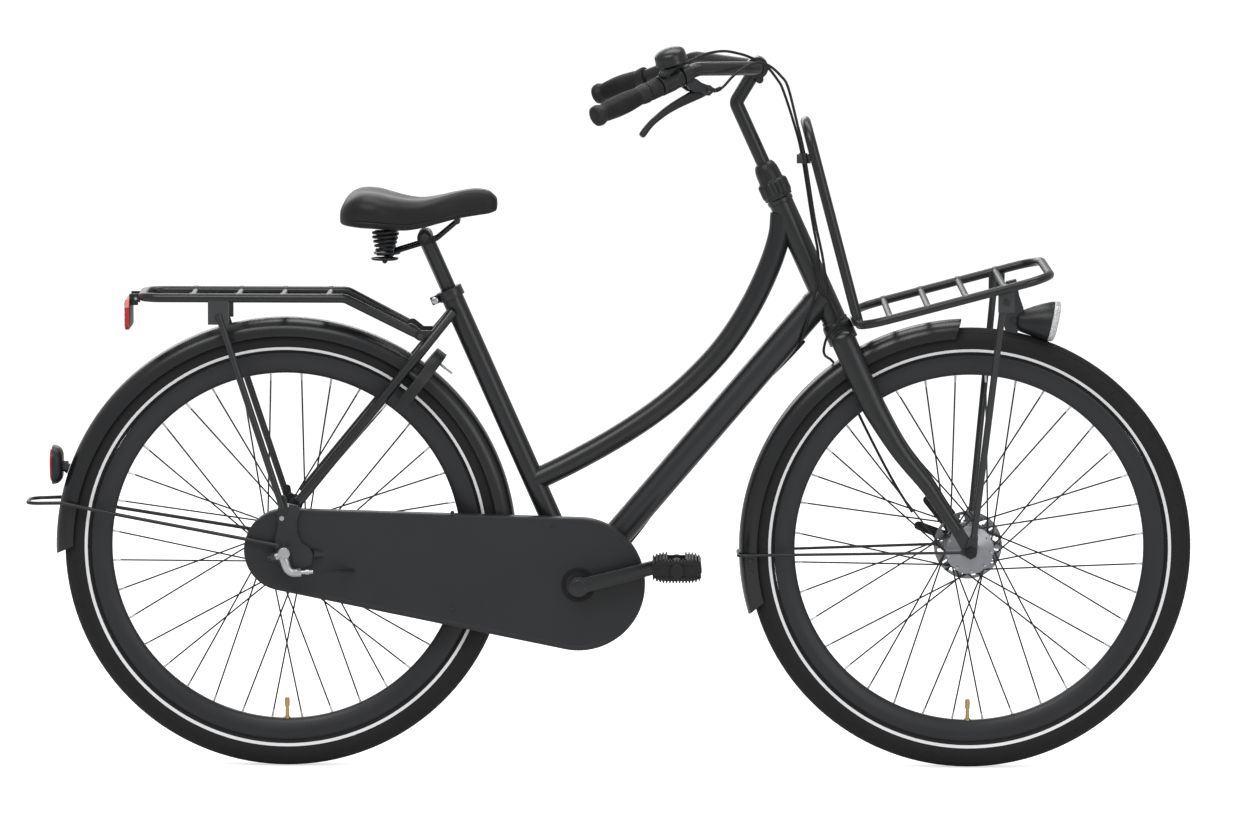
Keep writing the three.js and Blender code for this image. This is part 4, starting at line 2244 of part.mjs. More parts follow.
function headlightBody() {
  const profile = [
    [0, lampRear],
    [lampRadius * 0.42, lampRear],
    [lampRadius * 0.8, lampRear + (lampFront - lampRear) * 0.3],
    [lampRadius, lampRear + (lampFront - lampRear) * 0.7],
    [0, lampRear + (lampFront - lampRear) * 0.7],
  ];
  const shell = turnedAbout(profile, point(0, 0, lampHeight), point(1, 0, 0), 14);
  const bar = onFrontRack(frontCrossbarShares[3], 0);
  const hanger = flatBar(
    point(lampRear + lampRadius * 0.8, 0, lampHeight + lampRadius * 0.5),
    bar.clone().add(point(0, 0, -frontRackTube * 0.75 - seatGap * 2)),
    lampBracketWidth,
    seatGap * 8,
  );
  return join(shell, hanger);
}

function headlightLens() {
  const from = lampRear + (lampFront - lampRear) * 0.7 + seatGap;
  const profile = [
    [0, from],
    [lampRadius, from],
    [lampRadius * 0.94, lampFront - seatGap * 4],
    [lampRadius * 0.5, lampFront],
    [0, lampFront],
  ];
  return turnedAbout(profile, point(0, 0, lampHeight), point(1, 0, 0), 14);
}

// Routes of the two cables, chosen by hand.
const shiftCableRoute = [
  [98.1, -181.1, 1135.5],
  [111, -172, 1141],
  [125, -162.5, 1147],
  [150, -140, 1157],
  [178, -112, 1160],
  [202, -88, 1155],
  [223, -68, 1147],
  [248, -50, 1132],
  [266, -42, 1110],
  [275, -39, 1093],
  [292, -37, 1042],
  [305, -36, 992],
  [322, -36, 888],
  [332, -36, 834],
  [332, -34, 792],
  [322, -33, 748],
  [313, -27, 714],
  [306, -17, 688],
];
const brakeCableRoute = [
  [166.6, -132.2, 1099],
  [178, -123, 1104],
  [193, -106, 1119],
  [211, -88, 1132],
  [229, -74, 1139],
  [242, -66, 1138],
  [255, -60, 1132],
  [270, -55, 1118],
  [282, -52, 1100],
  [297, -49, 1042],
  [309, -47, 992],
  [326, -47, 889],
  [338, -46, 834],
  [345, -42, 792],
];

// The last stretch of the brake cable, down the fork to the drum, ahead, aside and up the steering axis.
const brakeCableForkRoute = [
  [0, -31, 470],
  [-14, -33, 440],
  [-31, -26, 416],
  [-37, -6, 398],
  [-36, 18, 384],
  [-31, 38, 362],
  [-27, 44, 335],
  [-27, 45, 250],
  [-22, 45, 150],
  [-14, 45, 84],
];

function shiftCable() {
  const hugging = downTubeRadius + cableRadius + seatGap;
  const axis = steer(0, 0, downTubeHeadHeight).sub(crankCentre).normalize();
  const below = point(axis.z, 0, -axis.x);
  const alongTube = (share, side) =>
    lengthwise(steer(0, 0, downTubeHeadHeight), crankCentre, share)
      .addScaledVector(below, hugging)
      .setY(side);
  const head = shiftCableRoute.map((place) => point(...place));
  const tube = [
    alongTube(0.13, -8),
    alongTube(0.3, -6),
    alongTube(0.5, -6),
    alongTube(0.7, -6),
    alongTube(0.88, -8),
  ];
  const underShell = crankCentre.clone().add(point(0, 0, -shellRadius - cableRadius - seatGap * 3));
  const low = [
    underShell.clone().add(point(22, -14, 3)),
    underShell.clone().add(point(0, -18, 0)),
    underShell.clone().add(point(-26, -24, 3)),
  ];
  const tail = [
    onChainStay(-1, 0.25, 0.44).add(point(0, 0, -chainStayRadius)),
    onChainStay(-1, 0.42, 0.44).add(point(0, 0, -chainStayRadius)),
    onChainStay(-1, 0.62, 0.46).add(point(0, 0, -chainStayRadius)),
    shiftCableHole.clone().add(point(40, -30, 0)),
    shiftCableHole.clone().setY(-caseOuterOffset),
    shiftCableEnd.clone().add(point(26, 4, 2)),
    shiftCableEnd.clone().add(point(cableRadius + seatGap + shiftBoxRadius * 0.4, 0, 0)),
  ];
  return tubeAlong([...head, ...tube, ...low, ...tail], cableRadius, 8);
}

function brakeCable() {
  const head = brakeCableRoute.map((place) => point(...place));
  const foot = brakeCableForkRoute.map((place) => steer(...place));
  return tubeAlong([...head, ...foot], cableRadius, 8);
}

// Frame and what is fixed to it
addPiece("frame", frame(), blackPaint());
addPiece("seat_clamp", seatClamp(), blackPaint());
addPiece("rear_axle", rearAxlePiece(), steel());
addPiece("chaincase", chaincase(), blackPlastic());
addPiece("chain", chain(), darkSteel());
addPiece("rear_fender", rearMudguard(), blackPlastic());
addPiece("rear_fender_stay", rearGuardStay(), blackPaint());
addPiece("rear_carrier", rearCarrier(), blackPaint());
addPiece("rear_light_body", rearLightBody(), blackPlastic());
addPiece("rear_light_lens", rearLightLens(), redLens());
addPiece("reflector_holder", reflectorHolder(), blackPlastic());
addPiece("rear_reflector", rearReflector(), redLens());
addPiece("ring_lock_body", ringLockBody(), blackPlastic());
addPiece("ring_lock_bolt", ringLockBolt(), steel());
addPiece("ring_lock_key", ringLockKey(), steel());
addPiece("kickstand_leg", kickstandLeg(), blackPaint());
addPiece("shift_cable", shiftCable(), blackRubber());

// Seat
addPiece("seatpost", seatpost(), blackPaint());
addPiece("saddle_clamp", saddleClamp(), darkSteel());
addPiece("saddle_rails", saddleRails(), darkSteel());
addPiece("saddle_spring_right", saddleSpring(-1), darkSteel());
addPiece("saddle_spring_left", saddleSpring(1), darkSteel());
addPiece("saddle", saddle(), saddleSkin());

// Crank set
addPiece("bottom_bracket_axle", bottomBracketAxle(), steel());
addPiece("chainring", chainring(), darkSteel());
addPiece("right_crank", crank(-1), blackPaint());
addPiece("left_crank", crank(1), blackPaint());
addPiece("right_pedal", pedal(-1), blackRubber());
addPiece("left_pedal", pedal(1), blackRubber());

// Rear wheel
addPiece("sprocket", sprocket(), darkSteel());
addPiece("rear_hub", rearHub(), steel());
addPiece("rear_rim", rim(rearAxle), blackPaint());
addPiece("rear_inner_tube", innerTube(rearAxle), blackRubber());
addPiece("rear_tyre", tyre(rearAxle), blackRubber());

// Front wheel
addPiece("front_hub", frontHub(), steel());
addPiece("front_brake_disc", frontDisc(), steel());
addPiece("front_rim", rim(frontAxle), blackPaint());
addPiece("front_inner_tube", innerTube(frontAxle), blackRubber());
addPiece("front_tyre", tyre(frontAxle), blackRubber());

// What turns with the steering
addPiece("fork", fork(), blackPaint());
addPiece("front_axle", frontAxlePiece(), steel());
addPiece("brake_arm", brakeArm(), steel());
addPiece("front_fender", frontMudguard(), blackPlastic());
addPiece("front_fender_stay", frontGuardStays(), blackPaint());
addPiece("front_carrier", frontCarrier(), blackPaint());
addPiece("headlight_body", headlightBody(), blackPlastic());
addPiece("headlight_lens", headlightLens(), clearLens());
addPiece("headset_collar", headsetCollar(), blackPlastic());
addPiece("stem", stem(), blackPaint());
addPiece("handlebar", handlebar(), blackPaint());
addPiece("right_grip", grip(-1), blackRubber());
addPiece("left_grip", grip(1), blackRubber());
addPiece("twist_shifter", twistShifter(), blackRubber());
addPiece("shifter_body", shifterBody(), blackPlastic());
addPiece("bell_dome", bellDome(), blackPaint());
addPiece("bell_lever", bellLever(), blackPlastic());
addPiece("brake_lever_bracket", leverBracket(), blackPaint());
addPiece("brake_lever", brakeLever(), blackPaint());
addPiece("brake_cable", brakeCable(), blackRubber());

export default bicycle;
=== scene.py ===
import json
import math

import bmesh
import bpy
from mathutils import Matrix, Quaternion, Vector


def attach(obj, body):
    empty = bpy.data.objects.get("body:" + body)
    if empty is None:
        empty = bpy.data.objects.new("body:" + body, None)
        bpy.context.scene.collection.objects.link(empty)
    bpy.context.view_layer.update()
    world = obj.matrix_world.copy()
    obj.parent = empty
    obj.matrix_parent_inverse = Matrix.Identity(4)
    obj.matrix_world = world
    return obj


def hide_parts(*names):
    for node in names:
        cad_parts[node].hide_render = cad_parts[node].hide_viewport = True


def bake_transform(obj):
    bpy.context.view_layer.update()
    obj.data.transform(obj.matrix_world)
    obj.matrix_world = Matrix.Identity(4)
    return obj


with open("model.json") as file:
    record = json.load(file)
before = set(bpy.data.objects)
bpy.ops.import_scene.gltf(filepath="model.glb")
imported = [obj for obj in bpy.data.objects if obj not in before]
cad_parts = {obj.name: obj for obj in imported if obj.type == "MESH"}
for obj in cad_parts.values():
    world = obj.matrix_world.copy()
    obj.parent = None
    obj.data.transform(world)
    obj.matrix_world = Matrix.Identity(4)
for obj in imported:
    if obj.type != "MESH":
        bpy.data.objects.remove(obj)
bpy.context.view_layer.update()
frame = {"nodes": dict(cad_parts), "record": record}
NODES = frame["nodes"]
BODY_OF = {n: b for b, names in frame["record"]["behaviour"]["bodies"].items() for n in names}
SLOT_OF = {s["node"]: s["material_slot"] for s in frame["record"]["subparts"]}
MM = 0.001
DEG = math.pi / 180


# Camera at the photograph's viewing angle, in metres and degrees
AIM = Vector((0.0333, 0, 0.561))
CAMERA_DISTANCE = 10.42
CAMERA_PITCH = 6.8
CAMERA_ROLL = 0.18
FOCAL_LENGTH = 185.7
SENSOR_WIDTH = 36
camera_data = bpy.data.cameras.new("camera")
camera_data.lens = FOCAL_LENGTH
camera_data.sensor_width = SENSOR_WIDTH
camera_data.clip_end = 60
camera = bpy.data.objects.new("camera", camera_data)
bpy.context.scene.collection.objects.link(camera)
camera.location = AIM + CAMERA_DISTANCE * Vector((0, -math.cos(CAMERA_PITCH * DEG), math.sin(CAMERA_PITCH * DEG)))
look = Matrix.Rotation((90 - CAMERA_PITCH) * DEG, 4, "X") @ Matrix.Rotation(CAMERA_ROLL * DEG, 4, "Z")
camera.rotation_euler = look.to_euler()
bpy.context.scene.camera = camera
bpy.context.scene.view_settings.view_transform = "Standard"


# Materials: every one is a principled shader whose colour, roughness and bump come from noise
def srgb(value):
    return value / 12.92 if value <= 0.04045 else ((value + 0.055) / 1.055) ** 2.4


def rgb(code):
    return tuple(srgb(int(code[i:i + 2], 16) / 255) for i in (0, 2, 4))


def add_node(tree, kind, links=(), **values):
    """A new shader node with values for its inputs, and links from the outputs of other nodes."""
    node = tree.nodes.new("ShaderNode" + kind)
    for name, value in values.items():
        node.inputs[name.replace("_", " ")].default_value = value
    for output, name in links:
        tree.links.new(output, node.inputs[name])
    return node


WORN_EDGE = "8a8c90"


def surface(name, code, rough, metal=0.0, vary=0.12, grain=900.0, bump=0.05, worn=0.0, specular=0.5, coat=0.0,
            blotch=14.0, transmission=0.0):
    """A procedural finish: broad blotches in colour and roughness, a fine grain in bump, and worn edges."""
    material = bpy.data.materials.new(name)
    material.use_nodes = True
    tree = material.node_tree
    place = add_node(tree, "TexCoord").outputs["Object"]
    broad = add_node(tree, "TexNoise", [(place, "Vector")], Scale=blotch, Detail=6).outputs["Fac"]
    fine = add_node(tree, "TexNoise", [(place, "Vector")], Scale=grain, Detail=3).outputs["Fac"]
    ramp = add_node(tree, "ValToRGB", [(broad, "Fac")])
    for element, position, share in zip(ramp.color_ramp.elements, (0.3, 0.7), (1 - vary, 1 + vary)):
        element.position = position
        element.color = (*[min(c * share, 1) for c in rgb(code)], 1)
    colour = ramp.outputs["Color"]
    if worn:
        edges = add_node(tree, "NewGeometry").outputs["Pointiness"]
        edge = add_node(tree, "MapRange", [(edges, "Value")], From_Min=0.56, From_Max=0.7, To_Max=worn)
        mix = tree.nodes.new("ShaderNodeMix")
        mix.data_type = "RGBA"
        tree.links.new(edge.outputs["Result"], mix.inputs["Factor"])
        tree.links.new(colour, mix.inputs["A"])
        mix.inputs["B"].default_value = (*rgb(WORN_EDGE), 1)
        colour = mix.outputs["Result"]
    low, high = max(rough - 0.06, 0.02), min(rough + 0.06, 1)
    spread = add_node(tree, "MapRange", [(broad, "Value")], To_Min=low, To_Max=high)
    relief = add_node(tree, "Bump", [(fine, "Height")], Strength=bump, Distance=0.0006)
    shader = tree.nodes["Principled BSDF"]
    for output, socket in ((colour, "Base Color"), (spread.outputs["Result"], "Roughness"),
                           (relief.outputs["Normal"], "Normal")):
        tree.links.new(output, shader.inputs[socket])
    for value, socket in ((metal, "Metallic"), (specular, "Specular IOR Level"), (coat, "Coat Weight"),
                          (transmission, "Transmission Weight")):
        shader.inputs[socket].default_value = value
    return material


PAINT = surface("satin_black_paint", "1b1c1e", 0.3, vary=0.06, grain=700, bump=0.1, worn=0.12, specular=0.45)
RIM = surface("black_rim_coat", "202124", 0.4, vary=0.06, grain=500, bump=0.06, specular=0.4)
GUARD = surface("semi_gloss_guard", "18191b", 0.27, vary=0.05, grain=250, bump=0.05, worn=0.08, specular=0.45)
CASE = surface("matte_case_plastic", "242527", 0.46, vary=0.05, grain=1200, bump=0.12, specular=0.35)
PLASTIC = surface("black_plastic", "1a1b1d", 0.4, vary=0.08, grain=900, bump=0.14, worn=0.1, specular=0.4)
LIGHT_PLASTIC = surface("grey_plastic", "8a8c90", 0.5, vary=0.06, grain=900, bump=0.12, specular=0.4)
STEEL = surface("plated_steel", "b4b6b9", 0.3, metal=1, vary=0.1, grain=300, bump=0.06, blotch=60)
HUB = surface("satin_aluminium", "8e9093", 0.36, metal=1, vary=0.08, grain=260, bump=0.08, blotch=50)
SPOKE = surface("dark_spoke_steel", "242528", 0.4, metal=0.5, vary=0.08, grain=400, bump=0.03)
DARK = surface("dark_oiled_steel", "26272a", 0.34, metal=0.7, vary=0.15, grain=500, bump=0.1, worn=0.25)
TYRE = surface("tyre_rubber", "171719", 0.7, vary=0.12, grain=420, bump=0.25, specular=0.3)
STRIPE = surface("reflective_stripe", "e3e4e5", 0.5, vary=0.03, grain=900, bump=0.1)
RUBBER = surface("black_rubber", "161618", 0.5, vary=0.1, grain=800, bump=0.3, specular=0.35)
COVER = surface("saddle_cover", "1c1c1e", 0.46, vary=0.08, grain=1500, bump=0.16, specular=0.25)
RED = surface("red_lens", "b3202a", 0.16, vary=0.12, grain=260, bump=0.35, blotch=180, coat=0.4)
CLEAR = surface("clear_lens", "eef0f2", 0.08, vary=0.02, grain=200, bump=0.2, transmission=0.55)
BRASS = surface("valve_brass", "b9a26a", 0.34, metal=1, vary=0.1, grain=500, bump=0.05)

FINISH = {
    "frame_paint": PAINT, "rim_paint": RIM, "guard_plastic": GUARD, "case_plastic": CASE,
    "black_plastic": PLASTIC, "bright_steel": STEEL, "hub_metal": HUB, "dark_steel": DARK,
    "tyre_rubber": TYRE, "black_rubber": RUBBER, "saddle_cover": COVER, "red_lens": RED, "clear_lens": CLEAR,
}


REPLACED = set()


def finish_piece(work, name, body, slot, materials, nodes=(), angle=35, rounding=0.0, smooth=0):
    """Rounds and shades a mesh, puts it on its body, or bakes its placement into the mesh when it has no single body,
    and lets it stand for its CAD nodes.
    """
    if rounding:
        sharp = [e for e in work.edges if len(e.link_faces) == 2 and e.calc_face_angle(0) > angle * DEG]
        bmesh.ops.bevel(work, geom=sharp, offset=rounding * MM, offset_type="OFFSET", segments=2, profile=0.6,
                        affect="EDGES", clamp_overlap=True)
    mesh = bpy.data.meshes.new(name)
    work.to_mesh(mesh)
    work.free()
    piece = bpy.data.objects.new(name, mesh)
    bpy.context.scene.collection.objects.link(piece)
    for material in materials:
        mesh.materials.append(material)
    mesh.polygons.foreach_set("use_smooth", [True] * len(mesh.polygons))
    mesh.set_sharp_from_angle(angle=angle * DEG)
    if smooth:
        modifier = piece.modifiers.new("smooth", "SUBSURF")
        modifier.levels = modifier.render_levels = smooth
        graph = bpy.context.evaluated_depsgraph_get()
        finished = bpy.data.meshes.new_from_object(piece.evaluated_get(graph))
        piece.modifiers.clear()
        piece.data = finished
    if isinstance(body, str):
        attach(piece, body)
    else:
        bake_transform(piece)
    if nodes:
        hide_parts(*nodes)
        REPLACED.update(nodes)
    return piece


def refine(node, rounding=0.0, material=None):
    """A rounded and smoothly shaded copy of a CAD node, which stands for it."""
    work = bmesh.new()
    work.from_mesh(NODES[node].data)
    bmesh.ops.remove_doubles(work, verts=work.verts, dist=1e-6)
    bmesh.ops.dissolve_limit(work, verts=work.verts, edges=work.edges, angle_limit=0.6 * DEG)
    for face in work.faces:
        face.material_index = 0
    material = material or FINISH[SLOT_OF[node]]
    return finish_piece(work, node + "_detail", BODY_OF[node], SLOT_OF[node], [material], [node], 38, rounding)


# Layout, in millimetres, as in the part's source
REAR = Vector((-517.5, 0, 356))
SHIFT_HOLE = REAR + Vector((109.5, 0, -32))
SHIFT_CABLE_END = REAR + Vector((53, -84, -30))
FRONT = Vector((578.5, 0, 356))
CRANK = Vector((-48.6, 0, 302))
SEAT_UP = Vector((-0.406737, 0, 0.913545))
STEER_UP = Vector((-0.416281, 0, 0.909236))
STEER_AHEAD = Vector((0.909236, 0, 0.416281))
STEER_FOOT = Vector((536.675, 0, 336.851))
DOWN_TUBE_HEAD, DOWN_TUBE_RADIUS = 468, 23
CROWN_HEIGHT = 392
STAND_PIVOT = CRANK + Vector((-61, 0, -12))


def steer(ahead, side, height):
    place = STEER_FOOT + STEER_AHEAD * ahead + STEER_UP * height
    return Vector((place.x, side, place.z))


def on_seat_tube(length, side=0):
    place = CRANK + SEAT_UP * length
    return Vector((place.x, side, place.z))


def on_circle(centre, radius, angle, side=0):
    return Vector((centre.x + radius * math.cos(angle * DEG), side, centre.z + radius * math.sin(angle * DEG)))


def filleted(corners, radii, steps=8):
    """Straight runs with an arc at each corner."""
    corners = [Vector(c) for c in corners]
    route = [corners[0]]
    for i in range(1, len(corners) - 1):
        radius = radii[i - 1] if isinstance(radii, (list, tuple)) else radii
        back, forth = corners[i - 1] - corners[i], corners[i + 1] - corners[i]
        room = min(back.length, forth.length) * 0.49
        back.normalize()
        forth.normalize()
        half = back.angle(forth) / 2
        reach = min(radius / math.tan(half), room)
        bend = reach * math.tan(half)
        centre = corners[i] + (back + forth).normalized() * (bend / math.sin(half))
        start = corners[i] + back * reach - centre
        end = corners[i] + forth * reach - centre
        axis = start.cross(end).normalized()
        sweep = math.pi - 2 * half
        for step in range(steps + 1):
            route.append(centre + Quaternion(axis, sweep * step / steps) @ start)
    route.append(corners[-1])
    return route


def spline(points, per=6):
    """A smooth curve through every point."""
    points = [Vector(p) for p in points]
    ends = [points[0] * 2 - points[1], *points, points[-1] * 2 - points[-2]]
    route = []
    for i in range(1, len(ends) - 2):
        a, b, c, d = ends[i - 1:i + 3]
        for step in range(per):
            t = step / per
            route.append(0.5 * (2 * b + (c - a) * t + (2 * a - 5 * b + 4 * c - d) * t ** 2
                                + (3 * b - a - 3 * c + d) * t ** 3))
    route.append(points[-1])
    return route


class Shape:
    """The corners and faces of one piece, in millimetres, with a material number for each face."""

    def __init__(self):
        self.corners, self.faces, self.finishes = [], [], []

    def add(self, corners, faces, finish=0):
        start = len(self.corners)
        self.corners += [Vector(c) for c in corners]
        self.faces += [tuple(start + i for i in face) for face in faces]
        self.finishes += [finish] * len(faces) if isinstance(finish, int) else finish
        return self

    def loft(self, rings, closed=False, finish=0, finishes=None):
        size, count = len(rings[0]), len(rings)
        faces, marks = [], []
        for ring in range(count if closed else count - 1):
            low, high = ring * size, (ring + 1) % count * size
            for i in range(size):
                j = (i + 1) % size
                faces.append((low + i, low + j, high + j, high + i))
                marks.append(finishes[i] if finishes else finish)
        if not closed:
            faces += [tuple(range(size)), tuple(range((count - 1) * size, count * size))]
            marks += [finish, finish]
        return self.add([c for ring in rings for c in ring], faces, marks)

    def tube(self, points, radii, sides=20, finish=0, deep=None, closed=False):
        """A round bar along points, or an oval one whose width lies across the bicycle when deep is given."""
        points = [Vector(p) for p in points]
        count = len(points)
        wide = radii if isinstance(radii, (list, tuple)) else [radii] * count
        tall = deep or wide
        rings, side = [], None
        for i, here in enumerate(points):
            before = points[i - 1] if i or closed else here
            after = points[(i + 1) % count] if i + 1 < count or closed else here
            along = (after - before).normalized()
            if deep is not None:
                side = (Vector((0, 1, 0)) - along * along.y).normalized()
            elif side is None:
                side = along.cross(Vector((0, 1, 0)) if abs(along.y) < 0.9 else Vector((1, 0, 0))).normalized()
            else:
                side = (side - along * side.dot(along)).normalized()
            other = along.cross(side)
            rings.append([
                here + side * (wide[i] * math.cos(2 * math.pi * k / sides))
                + other * (tall[i] * math.sin(2 * math.pi * k / sides))
                for k in range(sides)
            ])
        return self.loft(rings, closed, finish)

    def bar(self, start, end, radius, sides=16, finish=0, end_radius=None):
        return self.tube([start, end], [radius, radius if end_radius is None else end_radius], sides, finish)

    def cross(self, place, low, high, radius, sides=24, finish=0, end_radius=None):
        a, b = Vector((place.x, low, place.z)), Vector((place.x, high, place.z))
        return self.bar(a, b, radius, sides, finish, end_radius)

    def lathe(self, profile, centre, axis=(0, 1, 0), steps=48, finish=0, finishes=None, closed=True):
        """A profile of (radius, place along the axis) turned about the axis."""
        axis = Vector(axis).normalized()
        first = axis.orthogonal().normalized()
        second = axis.cross(first)
        rings = []
        for i in range(steps):
            turn = 2 * math.pi * i / steps
            out = first * math.cos(turn) + second * math.sin(turn)
            rings.append([Vector(centre) + out * r + axis * s for r, s in profile])
        size = len(profile)
        if closed:
            return self.loft(rings, True, finish, finishes)
        faces, marks = [], []
        for ring in range(steps):
            low, high = ring * size, (ring + 1) % steps * size
            for i in range(size - 1):
                faces.append((low + i, low + i + 1, high + i + 1, high + i))
                marks.append(finishes[i] if finishes else finish)
        return self.add([c for ring in rings for c in ring], faces, marks)

    def box(self, low, high, finish=0):
        (a, b, c), (d, e, f) = low, high
        corners = [(x, y, z) for z in (c, f) for y in (b, e) for x in (a, d)]
        faces = [(0, 2, 3, 1), (4, 5, 7, 6), (0, 1, 5, 4), (2, 6, 7, 3), (0, 4, 6, 2), (1, 3, 7, 5)]
        return self.add(corners, faces, finish)

    def plate(self, outline, low, high, finish=0):
        """A flat plate from an outline in the side view, between two side offsets."""
        return self.loft([[Vector((p[0], y, p[-1])) for p in outline] for y in (low, high)], False, finish)

    def done(self, name, body, slot, materials, nodes=(), **shading):
        """The piece itself, without faces that would be there twice."""
        work = bmesh.new()
        corners = [work.verts.new(c * MM) for c in self.corners]
        for face, finish in zip(self.faces, self.finishes):
            try:
                work.faces.new([corners[i] for i in face]).material_index = finish
            except ValueError:
                continue
        bmesh.ops.remove_doubles(work, verts=work.verts, dist=1e-6)
        bmesh.ops.recalc_face_normals(work, faces=work.faces)
        return finish_piece(work, name, body, slot, materials, nodes, **shading)

    def stand_for(self, node, *materials, name=None, body=None, slot=None, **shading):
        """The piece that takes the place of a CAD node, with the node's body and slot where none is given."""
        return self.done(name or node + "_fine", body or BODY_OF[node], slot or SLOT_OF[node], materials, [node],
                         **shading)


def outward(side, near, far):
    """The lower and the upper side offset of a plate that lies between two distances from the middle."""
    return (-far, -near) if side < 0 else (near, far)


def tapered(start, start_radius, end, end_radius, steps=10):
    """The side view of a plate with two round ends."""
    turn = math.atan2(end.z - start.z, end.x - start.x) / DEG
    outline = [on_circle(end, end_radius, turn - 90 + 180 * i / steps) for i in range(steps + 1)]
    outline += [on_circle(start, start_radius, turn + 90 + 180 * i / steps) for i in range(steps + 1)]
    return [(p.x, p.z) for p in outline]


# Wheels
TYRE_RADIUS, TYRE_HALF, RIM_RADIUS, RIM_INNER = 356, 23.5, 313, 280
STRIPE_LOW, STRIPE_HIGH, STRIPE_LIFT = 318.6, 323.2, 0.25
TYRE_WALL, TREAD_BLOCKS = 20.5, 90
INNER_TUBE_MIDDLE, INNER_TUBE_RADIUS = RIM_RADIUS + 16.3, 15
SPOKES, SPOKE_RADIUS, NIPPLE_RADIUS = 36, 1.35, 1.9
WHEEL_STEPS = 144


def make_tyre(node, centre):
    middle = TYRE_RADIUS - TYRE_HALF
    turn_at = lambda radius: math.acos(max(-1, (radius - middle) / TYRE_HALF))
    inner, outer = turn_at(STRIPE_LOW), turn_at(STRIPE_HIGH)
    foot = turn_at(RIM_RADIUS + 0.3)
    shoulder = 58 * DEG
    half = [(0.0, 0.0)]
    for groove in (6, 14, 23, 33, 45):
        half += [((groove + a) * DEG, dip) for a, dip in ((-1.2, 0.0), (-0.4, -0.9), (0.4, -0.9), (1.2, 0.0))]
    half.append((shoulder, 0.0))
    half += [(shoulder + (outer - shoulder) * i / 6, 0.0) for i in range(1, 7)]
    half += [(outer + (inner - outer) * i / 2, STRIPE_LIFT) for i in range(3)]
    half += [(inner + (foot - inner) * i / 3, 0.0) for i in range(4)]
    profile = []
    places = [(-a, dip) for a, dip in reversed(half[1:])] + half
    for turn, dip in places:
        reach = TYRE_HALF + dip
        profile.append((middle + reach * math.cos(turn), reach * math.sin(turn)))
    wall = [(middle + TYRE_WALL * math.cos(t), TYRE_WALL * math.sin(t)) for t in
            [foot * 0.94 * (1 - i / 6) for i in range(13)]]
    marks = [1 if dip == later == STRIPE_LIFT else 0 for (_, dip), (_, later) in zip(places, places[1:])]
    marks += [0] * (len(wall) + 1)
    shape = Shape().lathe(profile + wall, centre, steps=WHEEL_STEPS, finishes=marks)

    def on_shoulder(turn, angle, side):
        out, aside = 23.3 * math.cos(turn * DEG), 23.3 * math.sin(turn * DEG)
        return on_circle(centre, middle + out, angle, side * aside)

    # Small blocks along both shoulders of the tread
    for side in (-1, 1):
        for i in range(TREAD_BLOCKS):
            angle = i * 360 / TREAD_BLOCKS + (2 if side > 0 else 0)
            shape.bar(on_shoulder(62, angle, side), on_shoulder(74, angle + 0.7, side), 0.9, 5)
    shape.stand_for(node, TYRE, STRIPE)


def make_rim(node, centre):
    half = [(RIM_INNER, 0), (RIM_INNER, 4), (281, 5.6), (287, 8.6), (295, 11.9), (300, 13), (306, 13.5),
            (311.5, 13.5), (RIM_RADIUS, 12.9), (RIM_RADIUS, 11.6), (309, 10.6), (307.5, 8), (306, 4)]
    profile = half + [(r, -s) for r, s in reversed(half[1:])]
    Shape().lathe(profile, centre, steps=WHEEL_STEPS).stand_for(node, RIM)


def make_valve(node, centre):
    """The ring of the inner tube, and the brass valve that looks out of the rim."""
    turns = [i * 30 * DEG for i in range(12)]
    section = [(INNER_TUBE_MIDDLE + INNER_TUBE_RADIUS * math.cos(t), INNER_TUBE_RADIUS * math.sin(t)) for t in turns]
    shape = Shape().lathe(section, centre, steps=72)
    down = Vector((0, 0, -1))
    shape.bar(centre + down * RIM_RADIUS, centre + down * (RIM_INNER - 1), 3, 12, 1)
    shape.lathe([(0, 280.5), (5, 280.5), (5, 277.5), (3.2, 277.4), (3, 264), (2.6, 263.8), (2.6, 262), (3.7, 261.8),
                 (4, 258), (4, 249), (3.1, 246.4), (0, 246)], centre, down, 16, 1, closed=False)
    shape.stand_for(node, RUBBER, BRASS)


def make_hub(node, centre, half, inset, flange, flange_width, barrel, circle):
    """A turned barrel between two flanges, with the spokes, their bright nipples and their heads."""
    shape = Shape()
    outer = half - inset
    inner = outer - flange_width
    neck = (flange + 6.5) / 3
    side = [(6.8, half), (neck, half), (neck + 1, half - 0.8), (flange - 2, outer), (flange, outer - 1),
            (flange, inner + 1), (flange - 1.4, inner), (barrel + 2.4, inner), (barrel, inner - 2.4)]
    profile = [(r, -s) for r, s in side] + [(barrel, 0)] + side[::-1]
    shape.lathe(profile, centre, steps=64, closed=False)
    for i in range(SPOKES):
        edge = 1 if i % 2 else -1
        trail = 1 if (i >> 1) % 2 else -1
        angle = -90 + 360 / SPOKES * (i + 0.5)
        offset = edge * (half - inset - flange_width / 2 + trail * 1.2)
        head = on_circle(centre, circle, angle + trail * 60, offset)
        rim_place = on_circle(centre, RIM_INNER - 0.4, angle, edge * (3 + trail))
        shape.bar(head, rim_place, SPOKE_RADIUS, 8, 1)
        away = (head - rim_place).normalized()
        shape.bar(rim_place, rim_place + away * 11, NIPPLE_RADIUS, 8, 2, 1.6)
        outer = Vector((0, edge * trail, 0))
        shape.bar(head + outer * 1.6, head + outer * 3.4, NIPPLE_RADIUS, 8, 2)
    shape.stand_for(node, HUB, SPOKE, STEEL)


# Front brake disc: a ring of slots and holes round a small drum
DISC_LOW, DISC_HIGH, DISC_STEPS = 32.3, 35.3, 96


